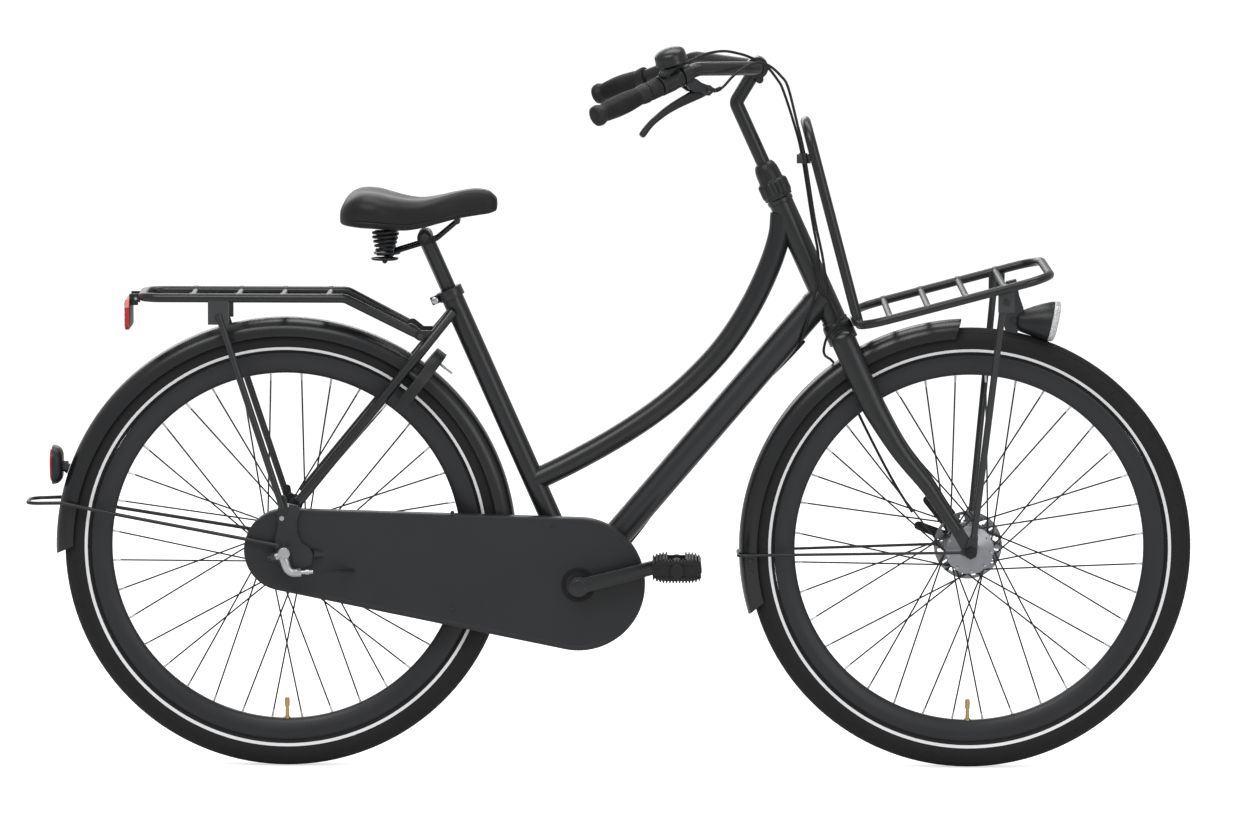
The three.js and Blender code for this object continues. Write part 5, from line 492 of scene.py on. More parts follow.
def make_disc():
    shape = Shape()

    def annulus(low, high, gaps=()):
        for i in range(DISC_STEPS):
            if i % 12 in gaps:
                continue
            a, b = i * 360 / DISC_STEPS, (i + 1) * 360 / DISC_STEPS
            corners = [on_circle(FRONT, r, t, y) for y in (DISC_LOW, DISC_HIGH) for r, t in
                       ((low, a), (high, a), (high, b), (low, b))]
            shape.add(corners, [(0, 1, 2, 3), (4, 7, 6, 5), (0, 4, 5, 1), (1, 5, 6, 2), (2, 6, 7, 3), (3, 7, 4, 0)])

    annulus(31, 37)
    annulus(37, 41.5, (3, 4, 5))
    annulus(41.5, 46, (2, 3, 4, 9))
    annulus(46, 50, (2, 3, 9))
    annulus(50, 55)
    shape.lathe([(6.8, DISC_LOW), (31, DISC_LOW), (31, 42.2), (29.5, 43.3), (24.6, 43.3), (24, 42.6), (22.8, 42.6),
                 (22.2, 43.3), (16, 43.3), (15, 44), (6.8, 44)], FRONT, finishes=[0, 0, 0, 0, 2, 2, 2, 0, 0, 2, 2])
    for i in range(6):
        shape.cross(on_circle(FRONT, 22, 60 * i + 15), 43.2, 44.4, 3, 12, 1)
    for i in range(36):
        shape.cross(on_circle(FRONT, 52.4, 10 * i + 5), DISC_HIGH - 0.2, DISC_HIGH + 0.3, 1.1, 8, 2)
    shape.stand_for("front_brake_disc", HUB, STEEL, DARK)


# Mudguards: a rounded channel with rolled edges and slanted tips
GUARD_HALF, GUARD_EDGE, GUARD_DEPTH = 30, 343, 27
GUARD_RADIUS, GUARD_SKIN, GUARD_BOLTS = GUARD_EDGE + GUARD_DEPTH, 368, 352


def guard_shape(centre, start, end, slant_start, slant_end, steps):
    outer = []
    for i in range(17):
        turn = math.pi * i / 16
        across = math.copysign(abs(math.cos(turn)) ** 0.8, math.cos(turn))
        outer.append((-GUARD_HALF * across, GUARD_EDGE + GUARD_DEPTH * math.sin(turn) ** 0.8))
    rolled = [(-30, 343), (-30.4, 341.8), (-29.6, 340.9), (-28.4, 341.2), (-28.2, 342.4)]
    inner = [(y * 28.4 / GUARD_HALF, GUARD_EDGE + (r - GUARD_EDGE) * 25.4 / GUARD_DEPTH) for y, r in outer]
    section = outer + [(-y, r) for y, r in rolled[1:]] + inner[::-1] + rolled[:0:-1]
    rings = []
    for i in range(steps + 1):
        ring = []
        for y, r in section:
            slant = (GUARD_RADIUS - r) / GUARD_DEPTH
            low, high = start + slant_start * slant, end - slant_end * slant
            ring.append(on_circle(centre, r, low + (high - low) * i / steps, y))
        rings.append(ring)
    return Shape().loft(rings)


def make_front_guard():
    shape = guard_shape(FRONT, 92.4, 197, 1.8, 2.2, 60)
    away = (steer(0, 0, CROWN_HEIGHT) - FRONT).normalized()
    shape.bar(FRONT + away * GUARD_SKIN, FRONT + away * 376.5, 7, 16)
    for side in (-1, 1):
        for angle in (183, 186):
            shape.cross(on_circle(FRONT, GUARD_BOLTS, angle), side * 29.5, side * 32, 2.6, 12, 1)
    shape.stand_for("front_fender", GUARD, DARK)


def make_rear_guard():
    shape = guard_shape(REAR, -3, 181.9, 0, 2.1, 100)
    bridge = on_seat_stay(1, BRIDGE_SHARE, 0) - REAR
    away = bridge.normalized()
    shape.bar(REAR + away * GUARD_SKIN, REAR + away * (bridge.length - 6.3), 7, 16)
    for side in (-1, 1):
        root = on_circle(REAR, GUARD_BOLTS, 168.9, side * 28)
        shape.bar(root, Vector((root.x, side * 35, root.z)), 3.5, 14)
    shape.stand_for("rear_fender", GUARD, DARK)


# Frame: round tubes with smooth joints, plate dropouts and the stand's hanger
SEAT_STAY_SHARES = [(0, 0.3), (0.2, 0.7), (0.44, 0.8), (1, 1)]
LUG_SHARE, BRIDGE_SHARE = 0.12, 0.17
DROPOUT_MIDDLE = 62.5
DROPOUT_HEIGHT = 84
MAIN_TUBE_SAG = 78
SEAT_TUBE_RADIUS = 17.5


def on_seat_stay(side, share, offset=None):
    """A place at a share of the stay's length, at its own distance from the middle or at a given offset."""
    top = on_seat_tube(475) + Vector((-8.75, 0, 0))
    foot = REAR + Vector((DROPOUT_HEIGHT * 0.27, 0, DROPOUT_HEIGHT * 0.95))
    place = top.lerp(foot, share)
    spread = 1.0
    for (start, near), (end, far) in zip(SEAT_STAY_SHARES, SEAT_STAY_SHARES[1:]):
        if start <= share <= end:
            spread = near + (far - near) * (share - start) / (end - start)
    return Vector((place.x, side * DROPOUT_MIDDLE * spread if offset is None else offset, place.z))


def on_chain_stay(side, along, spread):
    place = CRANK.lerp(REAR, along)
    return Vector((place.x, side * DROPOUT_MIDDLE * spread, place.z))


def main_tube_line():
    """The swept tube sags below the straight line from the head tube to the seat tube."""
    head, seat = steer(-6.5, 0, 616), on_seat_tube(176)
    shares = [(0, 0), (0.05, 0.28), (0.13, 0.56), (0.24, 0.82), (0.36, 0.98), (0.48, 1), (0.61, 0.9), (0.75, 0.66),
              (0.89, 0.32), (1, 0)]
    line = (seat - head).normalized()
    lowered = Vector((line.z, 0, -line.x))
    if lowered.z > 0:
        lowered.negate()
    return spline([head.lerp(seat, a) + lowered * MAIN_TUBE_SAG * sag for a, sag in shares], 7)


def make_frame():
    shape = Shape()
    shape.tube([steer(0, 0, h) for h in (421, 426, 427, 632, 633, 639)], [21, 21, 19.5, 19.5, 21, 21], 40)
    joint = steer(0, 0, DOWN_TUBE_HEAD)
    shape.bar(joint, CRANK, DOWN_TUBE_RADIUS, 40)
    shape.tube(main_tube_line(), 18, 36)
    shape.tube([CRANK, on_seat_tube(498), on_seat_tube(514)], SEAT_TUBE_RADIUS, 36)
    shape.cross(CRANK, -34, 34, 20, 40)
    shape.cross(CRANK, -35, -33, 22, 40)
    shape.cross(CRANK, 33, 35, 22, 40)
    # Smooth collars of weld where the tubes meet
    for near, far in ((0.028, 0.04), (0.955, 0.967)):
        shape.bar(joint.lerp(CRANK, near), joint.lerp(CRANK, far), DOWN_TUBE_RADIUS + 0.9, 36)
    for side in (-1, 1):
        corners = [on_seat_stay(side, share) for share, _ in SEAT_STAY_SHARES]
        shape.tube(filleted(corners, 48, 6), 8, 20)
        stay = [on_chain_stay(side, a, s) for a, s in ((0.03, 0.34), (0.131, 0.46), (0.25, 0.56))]
        stay.append(on_chain_stay(-1, 0.856, 0.7) if side < 0 else on_chain_stay(1, 0.88, 1))
        shape.tube(filleted(stay, 45, 6), 9, 20)
    right_end = REAR + Vector((DROPOUT_HEIGHT * 0.52, -DROPOUT_MIDDLE, -DROPOUT_HEIGHT * 0.05))
    shape.bar(on_chain_stay(-1, 0.85, 0.69), right_end, 7, 16)
    bridge = on_seat_stay(1, BRIDGE_SHARE)
    shape.cross(bridge, -bridge.y + 4, bridge.y - 4, 6, 20)
    # Hanger of the stand, with its pin
    x, z = STAND_PIVOT.x, STAND_PIVOT.z
    shape.box((x - 12, 37, z - 12), (x + 12, 44.2, z + 14.4))
    shape.box((x - 12, 25, z + 8.4), (x + 12, 44.2, z + 14.4))
    shape.cross(STAND_PIVOT, 37, 59.8, 5, 20)
    shape.cross(STAND_PIVOT, 59.8, 62, 8, 24)
    for side in (-1, 1):
        root = on_seat_stay(side, LUG_SHARE)
        edge = abs(root.y)
        shape.plate(tapered(root, 8, root + Vector((-22, 0, 0)), 8), *outward(side, edge, edge + 4))
    # Dropout plates with rounded corners
    places = [(-16, -14), (-15, 20), (-10, 44), (-13, 66), (2, 77), (27, 72), (20, 50), (20, 30), (27, 14), (39, 6),
              (45, -4), (43, -23), (30, -27), (-6, -25)]
    corners = [REAR + Vector((x, 0, z)) for x, z in places]
    outline = []
    for i, here in enumerate(corners):
        before, after = corners[i - 1], corners[(i + 1) % len(corners)]
        outline += [(p.x, p.z) for p in filleted([before, here, after], 7, 4)[1:-1]]
    for side in (-1, 1):
        shape.plate(outline, *outward(side, 60, 65))
    for side in (-1, 1):
        for x, z in ((-4.5, 53), (3.5, 74)):
            shape.cross(REAR + Vector((x, 0, z)), side * 64.8, side * 67.3, 4.2, 6, 1)
    shape.stand_for("frame", PAINT, STEEL, name="frame_tubes")


# Fork: crown, bowed oval blades and flat tabs
BLADE_DEEP, BLADE_WIDE, BLADE_SIDE, BLADE_SPREAD, FORK_RAKE = 19.5, 12, 44, 10.6, 46

# Height, rake, depth, width and spread of a blade, as shares
FORK_ROWS = [(1, 0, 1, 1, 0), (0.745, 0, 0.98, 1, 0.25), (0.65, 0.04, 0.9, 0.95, 0.4),
             (0.485, 0.22, 0.73, 0.84, 0.64), (0.32, 0.57, 0.6, 0.65, 0.98), (0.2, 0.74, 0.53, 0.62, 1),
             (0.105, 0.88, 0.48, 0.62, 1)]


def make_fork():
    shape = Shape()
    sizes = spline([(deep * BLADE_DEEP, wide * BLADE_WIDE, 0) for _, _, deep, wide, _ in FORK_ROWS])
    for side in (-1, 1):
        centres = [steer(FORK_RAKE * rake, side * (BLADE_SIDE + BLADE_SPREAD * spread), CROWN_HEIGHT * height)
                   for height, rake, _, _, spread in FORK_ROWS]
        shape.tube(spline(centres), [p.y for p in sizes], 28, deep=[p.x for p in sizes])
        # A round shoulder closes the top of the blade
        top = centres[0]
        shape.tube([top + STEER_UP * h for h in (0, 6, 11, 14.5, 16)], [12, 11.4, 9.4, 6, 1.5], 24,
                   deep=[19.5, 18.6, 15.6, 10, 2])
        shape.plate(tapered(FRONT, 10.5, steer(39, 0, 58), 9.2), *outward(side, 50, 55))
    shape.cross(steer(0, 0, CROWN_HEIGHT), -BLADE_SIDE, BLADE_SIDE, 18, 36)
    shape.tube([steer(0, 0, h) for h in (388, 412, 418, 420.6)], [24, 24, 23, 21.5], 40)
    shape.bar(steer(0, 0, 600), steer(0, 0, 651.7), 12.6, 30)
    shape.stand_for("fork", PAINT, name="fork_blades", angle=42)


# Handlebar
BAR_CENTRE = Vector((233.93, 0, 1127.59))
BAR_CORNERS = [(-252, 250, -60), (-97, 143, 6), (0, 26, 0)]
BELL_PLACE = 158


def bar_point(side, corner):
    x, y, z = BAR_CORNERS[corner]
    return BAR_CENTRE + Vector((x, side * y, z))


def on_bar(side, along, down=0, across=0):
    end = bar_point(side, 0)
    run = (bar_point(side, 1) - end).normalized()
    aside = run.cross(Vector((0, 0, 1))).normalized()
    below = run.cross(aside).normalized()
    if below.z > 0:
        below.negate()
    return end + run * along + below * down + aside * across


def bar_axes(side):
    """The directions along the grip, below it and across it."""
    end = on_bar(side, 0)
    return on_bar(side, 1) - end, on_bar(side, 0, 1) - end, on_bar(side, 0, 0, 1) - end


def make_handlebar():
    corners = [bar_point(side, i) for side, order in ((-1, (0, 1, 2)), (1, (2, 1, 0))) for i in order]
    Shape().tube(filleted(corners, [44, 22, 22, 44], 10), 11, 28).stand_for("handlebar", PAINT, name="handlebar_tube")


def make_grip(side, node):
    """A rubber grip with a bulging barrel, fine ribs and a flanged end."""
    outline = [(0, -7.6), (9, -7.6), (13, -7), (15.6, -5.2), (16.6, -2), (16.9, 2), (16, 5.5), (14.2, 9.5)]
    for i in range(30):
        place = 12 + i * 2.25
        bulge = 14.2 + 2.5 * math.sin(math.pi * (place - 10) / 70)
        outline += [(bulge - 0.7, place), (bulge, place + 0.5), (bulge, place + 1.6), (bulge - 0.7, place + 2.0)]
    outline += [(14.2, 82), (15.4, 88), (15.8, 93), (15.9, 96), (15.2, 97.8), (12, 98), (11.1, 98)]
    shape = Shape().lathe(outline, bar_point(side, 0), bar_axes(side)[0], 36, closed=False)
    shape.stand_for(node, RUBBER, angle=28)


def make_twist():
    """The gear grip: a short ribbed rubber sleeve."""
    end, run = bar_point(-1, 0), bar_axes(-1)[0]
    first = run.orthogonal().normalized()
    second = run.cross(first)
    rings = []
    for place, share in ((98.7, 0.9), (100, 1), (103, 1), (119, 1), (121.6, 1), (122.6, 0.9)):
        ring = []
        for i in range(96):
            turn = 2 * math.pi * i / 96
            rib = 15.3 if i % 4 < 2 and 101 < place < 120 else 14.5
            ring.append(end + run * place + (first * math.cos(turn) + second * math.sin(turn)) * rib * share)
        rings.append(ring)
    Shape().loft(rings).stand_for("twist_shifter", RUBBER, angle=30)


def make_bell():
    """A turned dome with a rolled rim and a small nut on top."""
    up = -bar_axes(-1)[1]
    profile = [(0, 27), (24.6, 27), (25.8, 27.6), (26, 28.6), (25.6, 29.6), (25.2, 33), (25, 39), (24, 43.2),
               (21, 46.6), (16, 49), (9, 50.4), (5, 50.7), (4.6, 50.9), (0, 51)]
    Shape().lathe(profile, on_bar(-1, BELL_PLACE), up, closed=False).stand_for("bell_dome", PAINT, angle=40)


# Saddle: a moulded cushion with a seam round its skirt, on coil springs
SADDLE_PIVOT = Vector((-295.08, 0, 855.61))
SADDLE_BACK, SADDLE_LENGTH, SADDLE_HALF, SADDLE_FOOT, SADDLE_RISE = -135, 251, 105, 22, 57
SADDLE_STEPS = 48
SPRING_BACK, SPRING_SIDE, SPRING_FOOT, SPRING_TOP, SPRING_TURNS, TURN_STEPS = -62.5, 50, 828, 869, 6, 24
SADDLE_STATIONS = [
    (0, 0.52, 0.05, 0.36, 0), (0.025, 0.7, 0, 0.62, 0.1), (0.07, 0.84, -0.03, 0.83, 0.4),
    (0.14, 0.95, -0.06, 0.94, 0.7),
    (0.24, 0.98, -0.08, 0.92, 0.8), (0.32, 0.905, -0.11, 0.83, 0.7), (0.42, 0.74, -0.15, 0.73, 0.5),
    (0.52, 0.57, -0.1, 0.69, 0.3), (0.62, 0.41, 0, 0.76, 0.15), (0.74, 0.3, 0.13, 0.88, 0),
    (0.86, 0.25, 0.22, 0.96, 0), (0.95, 0.22, 0.28, 0.9, 0), (1, 0.14, 0.36, 0.7, 0),
]
SADDLE_SECTION = [(0, 1), (0.2, 1), (0.4, 1), (0.58, 0.985), (0.75, 0.93), (0.87, 0.86), (0.95, 0.74), (0.99, 0.6),
                  (1, 0.44), (0.975, 0.28), (0.94, 0.16), (0.9, 0.06), (0.8, 0), (0.4, 0)]


def saddle_station(share):
    """Place ahead, half width, foot and top of the cushion, and the depth of its cleft, at a share of its length."""
    rows = SADDLE_STATIONS
    i = next(i for i in range(len(rows) - 1) if rows[i][0] <= share <= rows[i + 1][0])
    t = (share - rows[i][0]) / (rows[i + 1][0] - rows[i][0])
    near = [rows[max(i - 1, 0)], rows[i], rows[i + 1], rows[min(i + 2, len(rows) - 1)]]
    wide, low, high, cleft = [0.5 * (2 * b + (c - a) * t + (2 * a - 5 * b + 4 * c - d) * t ** 2
                                     + (3 * b - a - 3 * c + d) * t ** 3) for a, b, c, d in list(zip(*near))[1:]]
    return (SADDLE_BACK + SADDLE_LENGTH * share, SADDLE_HALF * wide, SADDLE_FOOT + SADDLE_RISE * low,
            SADDLE_FOOT + SADDLE_RISE * high, cleft)


def make_saddle():
    def place(station, row, side):
        x, half, foot, top, cleft = station
        across, up = row
        sink = 8 * cleft * max(0, 1 - (across / 0.42) ** 2) if up > 0.9 else 0
        return SADDLE_PIVOT + Vector((x, side * half * across, foot + (top - foot) * up - sink))

    rings = []
    for i in range(SADDLE_STEPS + 1):
        station = saddle_station(i / SADDLE_STEPS)
        left = [place(station, row, 1) for row in SADDLE_SECTION]
        rings.append(left + [place(station, row, -1) for row in SADDLE_SECTION[1:]][::-1])
    piece = Shape().loft(rings).stand_for("saddle", COVER, name="saddle_cushion", angle=60, smooth=1)
    # The cover's edge band, folded under round the skirt
    stations = [saddle_station(i / SADDLE_STEPS) for i in range(3, SADDLE_STEPS - 1)]
    for side, name in ((-1, "saddle_seam_right"), (1, "saddle_seam_left")):
        line = [place(station, (0.965, 0.2), side) for station in stations]
        Shape().tube(spline(line, 2), 0.9, 8).done(name, "saddle_unit", "saddle_cover", [PLASTIC])


def make_spring(side, node):
    centre = SADDLE_PIVOT + Vector((SPRING_BACK, side * SPRING_SIDE, 0))
    line = []
    for i in range(TURN_STEPS * SPRING_TURNS + 1):
        share = i / (TURN_STEPS * SPRING_TURNS)
        turn = 2 * math.pi * i / TURN_STEPS
        radius = 10.5 + 7.5 * min(1, share * 1.3)
        line.append(Vector((centre.x + radius * math.cos(turn), centre.y + radius * math.sin(turn),
                            SPRING_FOOT + (SPRING_TOP - SPRING_FOOT) * share)))
    Shape().tube(line, 2.6, 10).stand_for(node, DARK)


def make_rails():
    """Two rails that rise to the front and bend down to the bar of the springs, with a cup under each spring."""
    shape = Shape()
    slope, drop = math.tan(17.3 * DEG), 8 / math.cos(17.3 * DEG)
    at = lambda ahead, side, up: SADDLE_PIVOT + Vector((ahead, side, up))
    foot = SPRING_FOOT - SADDLE_PIVOT.z
    for side in (-1, 1):
        corners = [at(52, side * 17.6, 25.6), at(19.2, side * 22, 19.2 * slope - drop),
                   at(-46.9, side * 22, -46.9 * slope - drop), at(SPRING_BACK, side * 22, foot - 7.6)]
        shape.tube(filleted(corners, 21, 6), 3.4, 16)
        cup = at(SPRING_BACK, side * SPRING_SIDE, foot - 2.3)
        shape.lathe([(0, -3.4), (20, -3.4), (21.6, -2), (21.8, 0), (20.4, 0), (19.8, -1.2), (0, -1.2)], cup,
                    (0, 0, 1), 36, closed=False)
    shape.cross(at(SPRING_BACK, 0, foot - 7.6), -SPRING_SIDE, SPRING_SIDE, 4.2, 16)
    shape.cross(at(52, 0, 25.6), -22, 22, 4.5, 16)
    shape.stand_for("saddle_rails", DARK)


# Rear carrier: bent deck tube, crossbars with pale end studs, stays and bag brackets
RACK_Z = 761.5
RACK_HALF = 60
RACK_STAY = Vector((-622, 0, RACK_Z))
STUD_RADIUS = 4.4


def rack_lug(side):
    return on_seat_stay(side, LUG_SHARE) + Vector((-22, 0, 0))


def make_rear_carrier():
    shape = Shape()
    lug_side = abs(on_seat_stay(1, LUG_SHARE).y) + 4.3
    root = lambda side: Vector((rack_lug(side).x - 7.3, side * (lug_side + 7.3), rack_lug(side).z + 4.4))
    half = lambda side: [root(side), *[Vector((x, side * RACK_HALF, RACK_Z)) for x in (-421, -745)]]
    shape.tube(filleted([*half(-1), *reversed(half(1))], [22, 30, 30, 22], 8), 7.3, 24)
    for back in (665, 592, 521, 448):
        shape.cross(Vector((-back, 0, RACK_Z - 0.7)), -RACK_HALF, RACK_HALF, 5.2, 16)
        for side in (-1, 1):
            stud = Vector((-back, side * RACK_HALF, RACK_Z + 5.6))
            shape.bar(stud, stud + Vector((0, 0, 2.4)), STUD_RADIUS, 14, 1, 3.2)
    for side in (-1, 1):
        lug = rack_lug(side)
        shape.plate(tapered(lug, 8, root(side) + Vector((-7.3, 0, 7.3)), 8), *outward(side, lug_side, lug_side + 4))
        shape.cross(lug, side * (lug_side + 3.6), side * (lug_side + 7), 5, 6, 2)
        foot = REAR + Vector((-2.5, side * 70.8, 69))
        shape.bar(RACK_STAY + Vector((0, side * 63.65, -26)), foot, 5.5, 20)
        shape.plate(tapered(foot, 8.2, foot + Vector((0, 0, 16)), 5.5), *outward(side, 65.3, 68.05))
        inner = -65.84 if side < 0 else 58.54
        shape.box((RACK_STAY.x - 16.5, inner, RACK_Z - 42.3), (RACK_STAY.x + 16.5, inner + 7.3, RACK_Z))
        shape.cross(RACK_STAY + Vector((0, 0, -31)), side * 65, side * 67.6, 5.2, 20, 2)
    shape.stand_for("rear_carrier", PAINT, LIGHT_PLASTIC, DARK, name="rear_carrier_tubes", angle=40)


# Front carrier: tilted deck, crossbars with pale studs, wind-up hoop, two legs and the crown bracket
FRONT_RACK_FOOT, FRONT_RACK_TILT, FRONT_RACK_REACH = Vector((396, 0, 727)), 15 * DEG, 301
FRONT_RACK_HALF = 148


def on_front_rack(share, side, lift=0):
    forward = Vector((math.cos(FRONT_RACK_TILT), 0, math.sin(FRONT_RACK_TILT)))
    up = Vector((-forward.z, 0, forward.x))
    place = FRONT_RACK_FOOT + forward * (FRONT_RACK_REACH / forward.x * share) + up * lift
    return Vector((place.x, side, place.z))


def make_front_carrier():
    shape = Shape()
    half = FRONT_RACK_HALF
    corners = [on_front_rack(*place) for place in ((0, 0), (0, -half), (1, -half), (1, half), (0, half), (0, 0))]
    shape.tube(filleted(corners, 45, 8)[:-1], 7, 24, closed=True)
    for share in (0.16, 0.36, 0.56, 0.76):
        shape.cross(on_front_rack(share, 0), -half, half, 5.2, 16)
        for side in (-1, 1):
            stud, top = [on_front_rack(share, side * half, lift) for lift in (5.4, 7.8)]
            shape.bar(stud, top, STUD_RADIUS, 14, 1, 3.2)
    foot = lambda side: on_front_rack(0, side * 67)
    top = lambda side: Vector((312, side * 52, 1041))
    shape.tube(filleted([foot(-1), top(-1), top(1), foot(1)], 42, 10), 8, 24)
    for side in (-1, 1):
        ankle = FRONT + Vector((4.8, side * 60, 25.2))
        shape.bar(on_front_rack(0.76, side * 141), ankle, 5.5, 20)
        shape.plate(tapered(FRONT, 10, ankle, 6.6), *outward(side, 57, 59.9))
        place = on_front_rack(0.76, 0, -8)
        low, high = outward(side, 139, 143)
        shape.box((place.x - 13, low, place.z - 30), (place.x + 13, high, place.z + 6))
        shape.cross(place + Vector((0, 0, -14)), side * 142.8, side * 145.6, 4.6, 18, 2)
    bracket = [steer(24.3, 0, 404), steer(34.5, 0, 404), steer(34.5, 0, 418), steer(24.3, 0, 418)]
    shape.plate([(p.x, p.z) for p in bracket], -14, 14)
    shape.stand_for("front_carrier", PAINT, LIGHT_PLASTIC, DARK, name="front_carrier_tubes", angle=40)


def make_wires():
    """The stay loop behind the rear wheel, and the front guard's stays."""
    shape = Shape()
    root = REAR + Vector((-11.8, 0, 10.1))
    half = lambda side: [root + Vector((0, side * 68.3, 0)), Vector((-787.6, side * 41, 411.1)),
                         Vector((-876.4, side * 38, 428.9)), Vector((-931.5, side * 32.7, 427.5))]
    shape.tube(filleted([*half(-1), *reversed(half(1))], 19, 8), 3, 14)
    for side in (-1, 1):
        shape.cross(root, side * 65.3, side * 68.3, 5.5, 20)
        shape.cross(root, side * 68.3, side * 70.6, 4, 6, 1)
    shape.stand_for("rear_fender_stay", PAINT, DARK)
    shape = Shape()
    angle, inner, thick = 181.5, 55.3, 1.44
    half = lambda side: [on_circle(FRONT, 14.4, angle, side * (inner + thick / 2)),
                         on_circle(FRONT, 296, angle, side * 35.1), on_circle(FRONT, 371.2, angle, side * 32.7)]
    shape.tube(filleted([*half(-1), *reversed(half(1))], [60, 3, 3, 60], 5), 2.4, 14)
    for side in (-1, 1):
        tab = tapered(FRONT, 9.6, on_circle(FRONT, 17.3, angle), 2.4)
        shape.plate(tab, *outward(side, inner, inner + thick))
    shape.stand_for("front_fender_stay", PAINT, DARK)


def make_stand():
    pivot = STAND_PIVOT + Vector((0, 52, 0))
    end = pivot + Vector((-255, 0, -0.3))
    toe = end + Vector((-22.5, 0, 7.5))
    shape = Shape().tube(filleted([pivot + Vector((-9, 0, 0)), end, toe], 15, 6), 7.5, 24)
    shape.lathe([(5.3, -7.5), (11, -7.5), (11, 7.5), (5.3, 7.5)], pivot, steps=32)
    shape.tube([end, end.lerp(toe, 0.5), toe, toe + Vector((-7.5, 0, 2.5))], [10.1, 10.1, 10.1, 8.6], 24)
    shape.stand_for("kickstand_leg", PAINT)


# Controls on the right half of the handlebar
def on_right(along, down=0, across=0):
    return on_bar(-1, along, down, across)


def make_shifter():
    end, run = bar_point(-1, 0), bar_axes(-1)[0]
    shape = Shape()
    shape.lathe([(11.3, 124), (15.4, 124), (16.1, 124.8), (16.1, 130), (15.4, 130.6), (15.4, 132), (16.1, 132.6),
                 (16.1, 148), (15.3, 148.8), (11.3, 148.8)], end, run, 40)
    aside = 9.3
    pod = [on_right(a, -19.5, aside) for a in (124, 127, 130.4, 143, 149)]
    shape.tube(pod, [2.6, 5.2, 6.5, 6.5, 4.8], 20)
    shape.tube([on_right(127, -13, 2), on_right(138, -13, 4), on_right(148, -13, 2)], [5.2, 8, 5.2], 20)
    shape.bar(on_right(136.4, -12), on_right(136.4, -19.5, aside), 5.4, 20)
    shape.lathe([(11.3, 148.8), (15.2, 148.8), (15.4, 150), (15.4, 163), (14.6, 164.5), (11.3, 164.5)], end, run, 36)
    shape.bar(on_right(BELL_PLACE, -13.2), on_right(BELL_PLACE, -26.7), 6.5, 20)
    shape.bar(on_right(BELL_PLACE, -21), on_right(BELL_PLACE, -26.7), 6.5, 24, 0, 15)
    shape.bar(on_right(145, -24, aside - 1), on_right(145, -26.6, aside - 1), 1.8, 10, 1)
    shape.stand_for("shifter_body", PLASTIC, STEEL, angle=30)


def make_thumb():
    line = [on_right(BELL_PLACE, -23.125, across) for across in (-6.8, -19.65, -27.36, -32.5)]
    Shape().tube(line, [2.6, 2.4, 2.6, 1.6], 16).stand_for("bell_lever", PLASTIC)


def make_bracket():
    end, run = bar_point(-1, 0), bar_axes(-1)[0]
    shape = Shape()
    shape.lathe([(11.3, 167), (15.2, 167), (16, 167.8), (16, 182.2), (15.2, 183), (11.3, 183)], end, run, 40)
    cheek = 8
    # Cheek plates, wide at the clamp and round at the pin
    outline = [(167.5, 10), (169, 20), (176, 29), (187, 34), (196, 42.5), (202, 45.5), (209, 43), (212.5, 36.5),
               (209, 30.5), (202, 26.5), (194, 20), (188, 12), (183, 8)]
    for side in (-1, 1):
        shape.loft([[on_right(a, d, side * y) for a, d in outline] for y in (cheek - 2.9, cheek + 2.4)])
    shape.bar(on_right(171, 12, -cheek), on_right(171, 12, cheek), 5, 20)
    shape.bar(on_right(204, 36.5, -cheek - 2.9), on_right(204, 36.5, cheek + 2.9), 3.4, 20, 1)
    nose = [on_right(200, 34, cheek), on_right(210, 38, cheek), on_right(216, 42.5, cheek)]
    shape.tube(nose, [4.6, 4.2, 3.4], 20)
    shape.bar(on_right(196, 24), on_right(207, 33), 3.4)
    shape.stand_for("brake_lever_bracket", PLASTIC, STEEL, slot="black_plastic", angle=32)


def squared(value, power):
    """A power that keeps the sign, which turns a circle into a rounded square."""
    return math.copysign(abs(value) ** power, value)


# Place along the bar, place below it, half width and half depth of the lever
LEVER_ROWS = [(209, 36, 3.4, 5.6), (203, 36.5, 4.4, 8.6), (191, 37, 4.4, 9), (170, 37.3, 4.4, 8.2),
              (149, 38, 4.6, 7.2), (132, 39.5, 4.8, 6.4), (116, 42, 5, 5.6), (104, 44.8, 5, 5.1),
              (92, 48, 5, 4.9), (80, 53, 5.2, 4.9), (70, 58.4, 5, 5.2), (66, 60.6, 3.6, 4)]


def make_lever():
    across = bar_axes(-1)[2]
    line = spline([on_right(along, below) for along, below, _, _ in LEVER_ROWS], 4)
    sizes = spline([(wide, deep, 0) for _, _, wide, deep in LEVER_ROWS], 4)
    rings = []
    for i, here in enumerate(line):
        run = (line[min(i + 1, len(line) - 1)] - line[max(i - 1, 0)]).normalized()
        high = run.cross(across).normalized()
        turns = [2 * math.pi * k / 24 for k in range(24)]
        rings.append([here + across * sizes[i].x * squared(math.cos(t), 0.7)
                      + high * sizes[i].y * squared(math.sin(t), 0.7) for t in turns])
    Shape().loft(rings).stand_for("brake_lever", PLASTIC, slot="black_plastic", angle=60)


# Stem: a straight round pillar with a sharp bend into a short neck and the clamp of the handlebar
def make_stem():
    line = filleted([steer(0, 0, 654), steer(0, 0, 808), BAR_CENTRE], 13, 6)
    shape = Shape().tube(line, 11.2, 28)
    shape.cross(BAR_CENTRE, -23, 23, 17.5, 36)
    shape.cross(BAR_CENTRE, -25, 25, 15.6, 36)
    bolt = BAR_CENTRE + Vector((4, 0, -19))
    shape.cross(bolt, -11, 11, 6.4, 20)
    shape.cross(bolt, -13, 13, 3.6, 6)
    shape.stand_for("stem", PAINT, angle=40)


# Headset collar: a ridged grip ring under a domed cap
COLLAR_RIDGES = 16


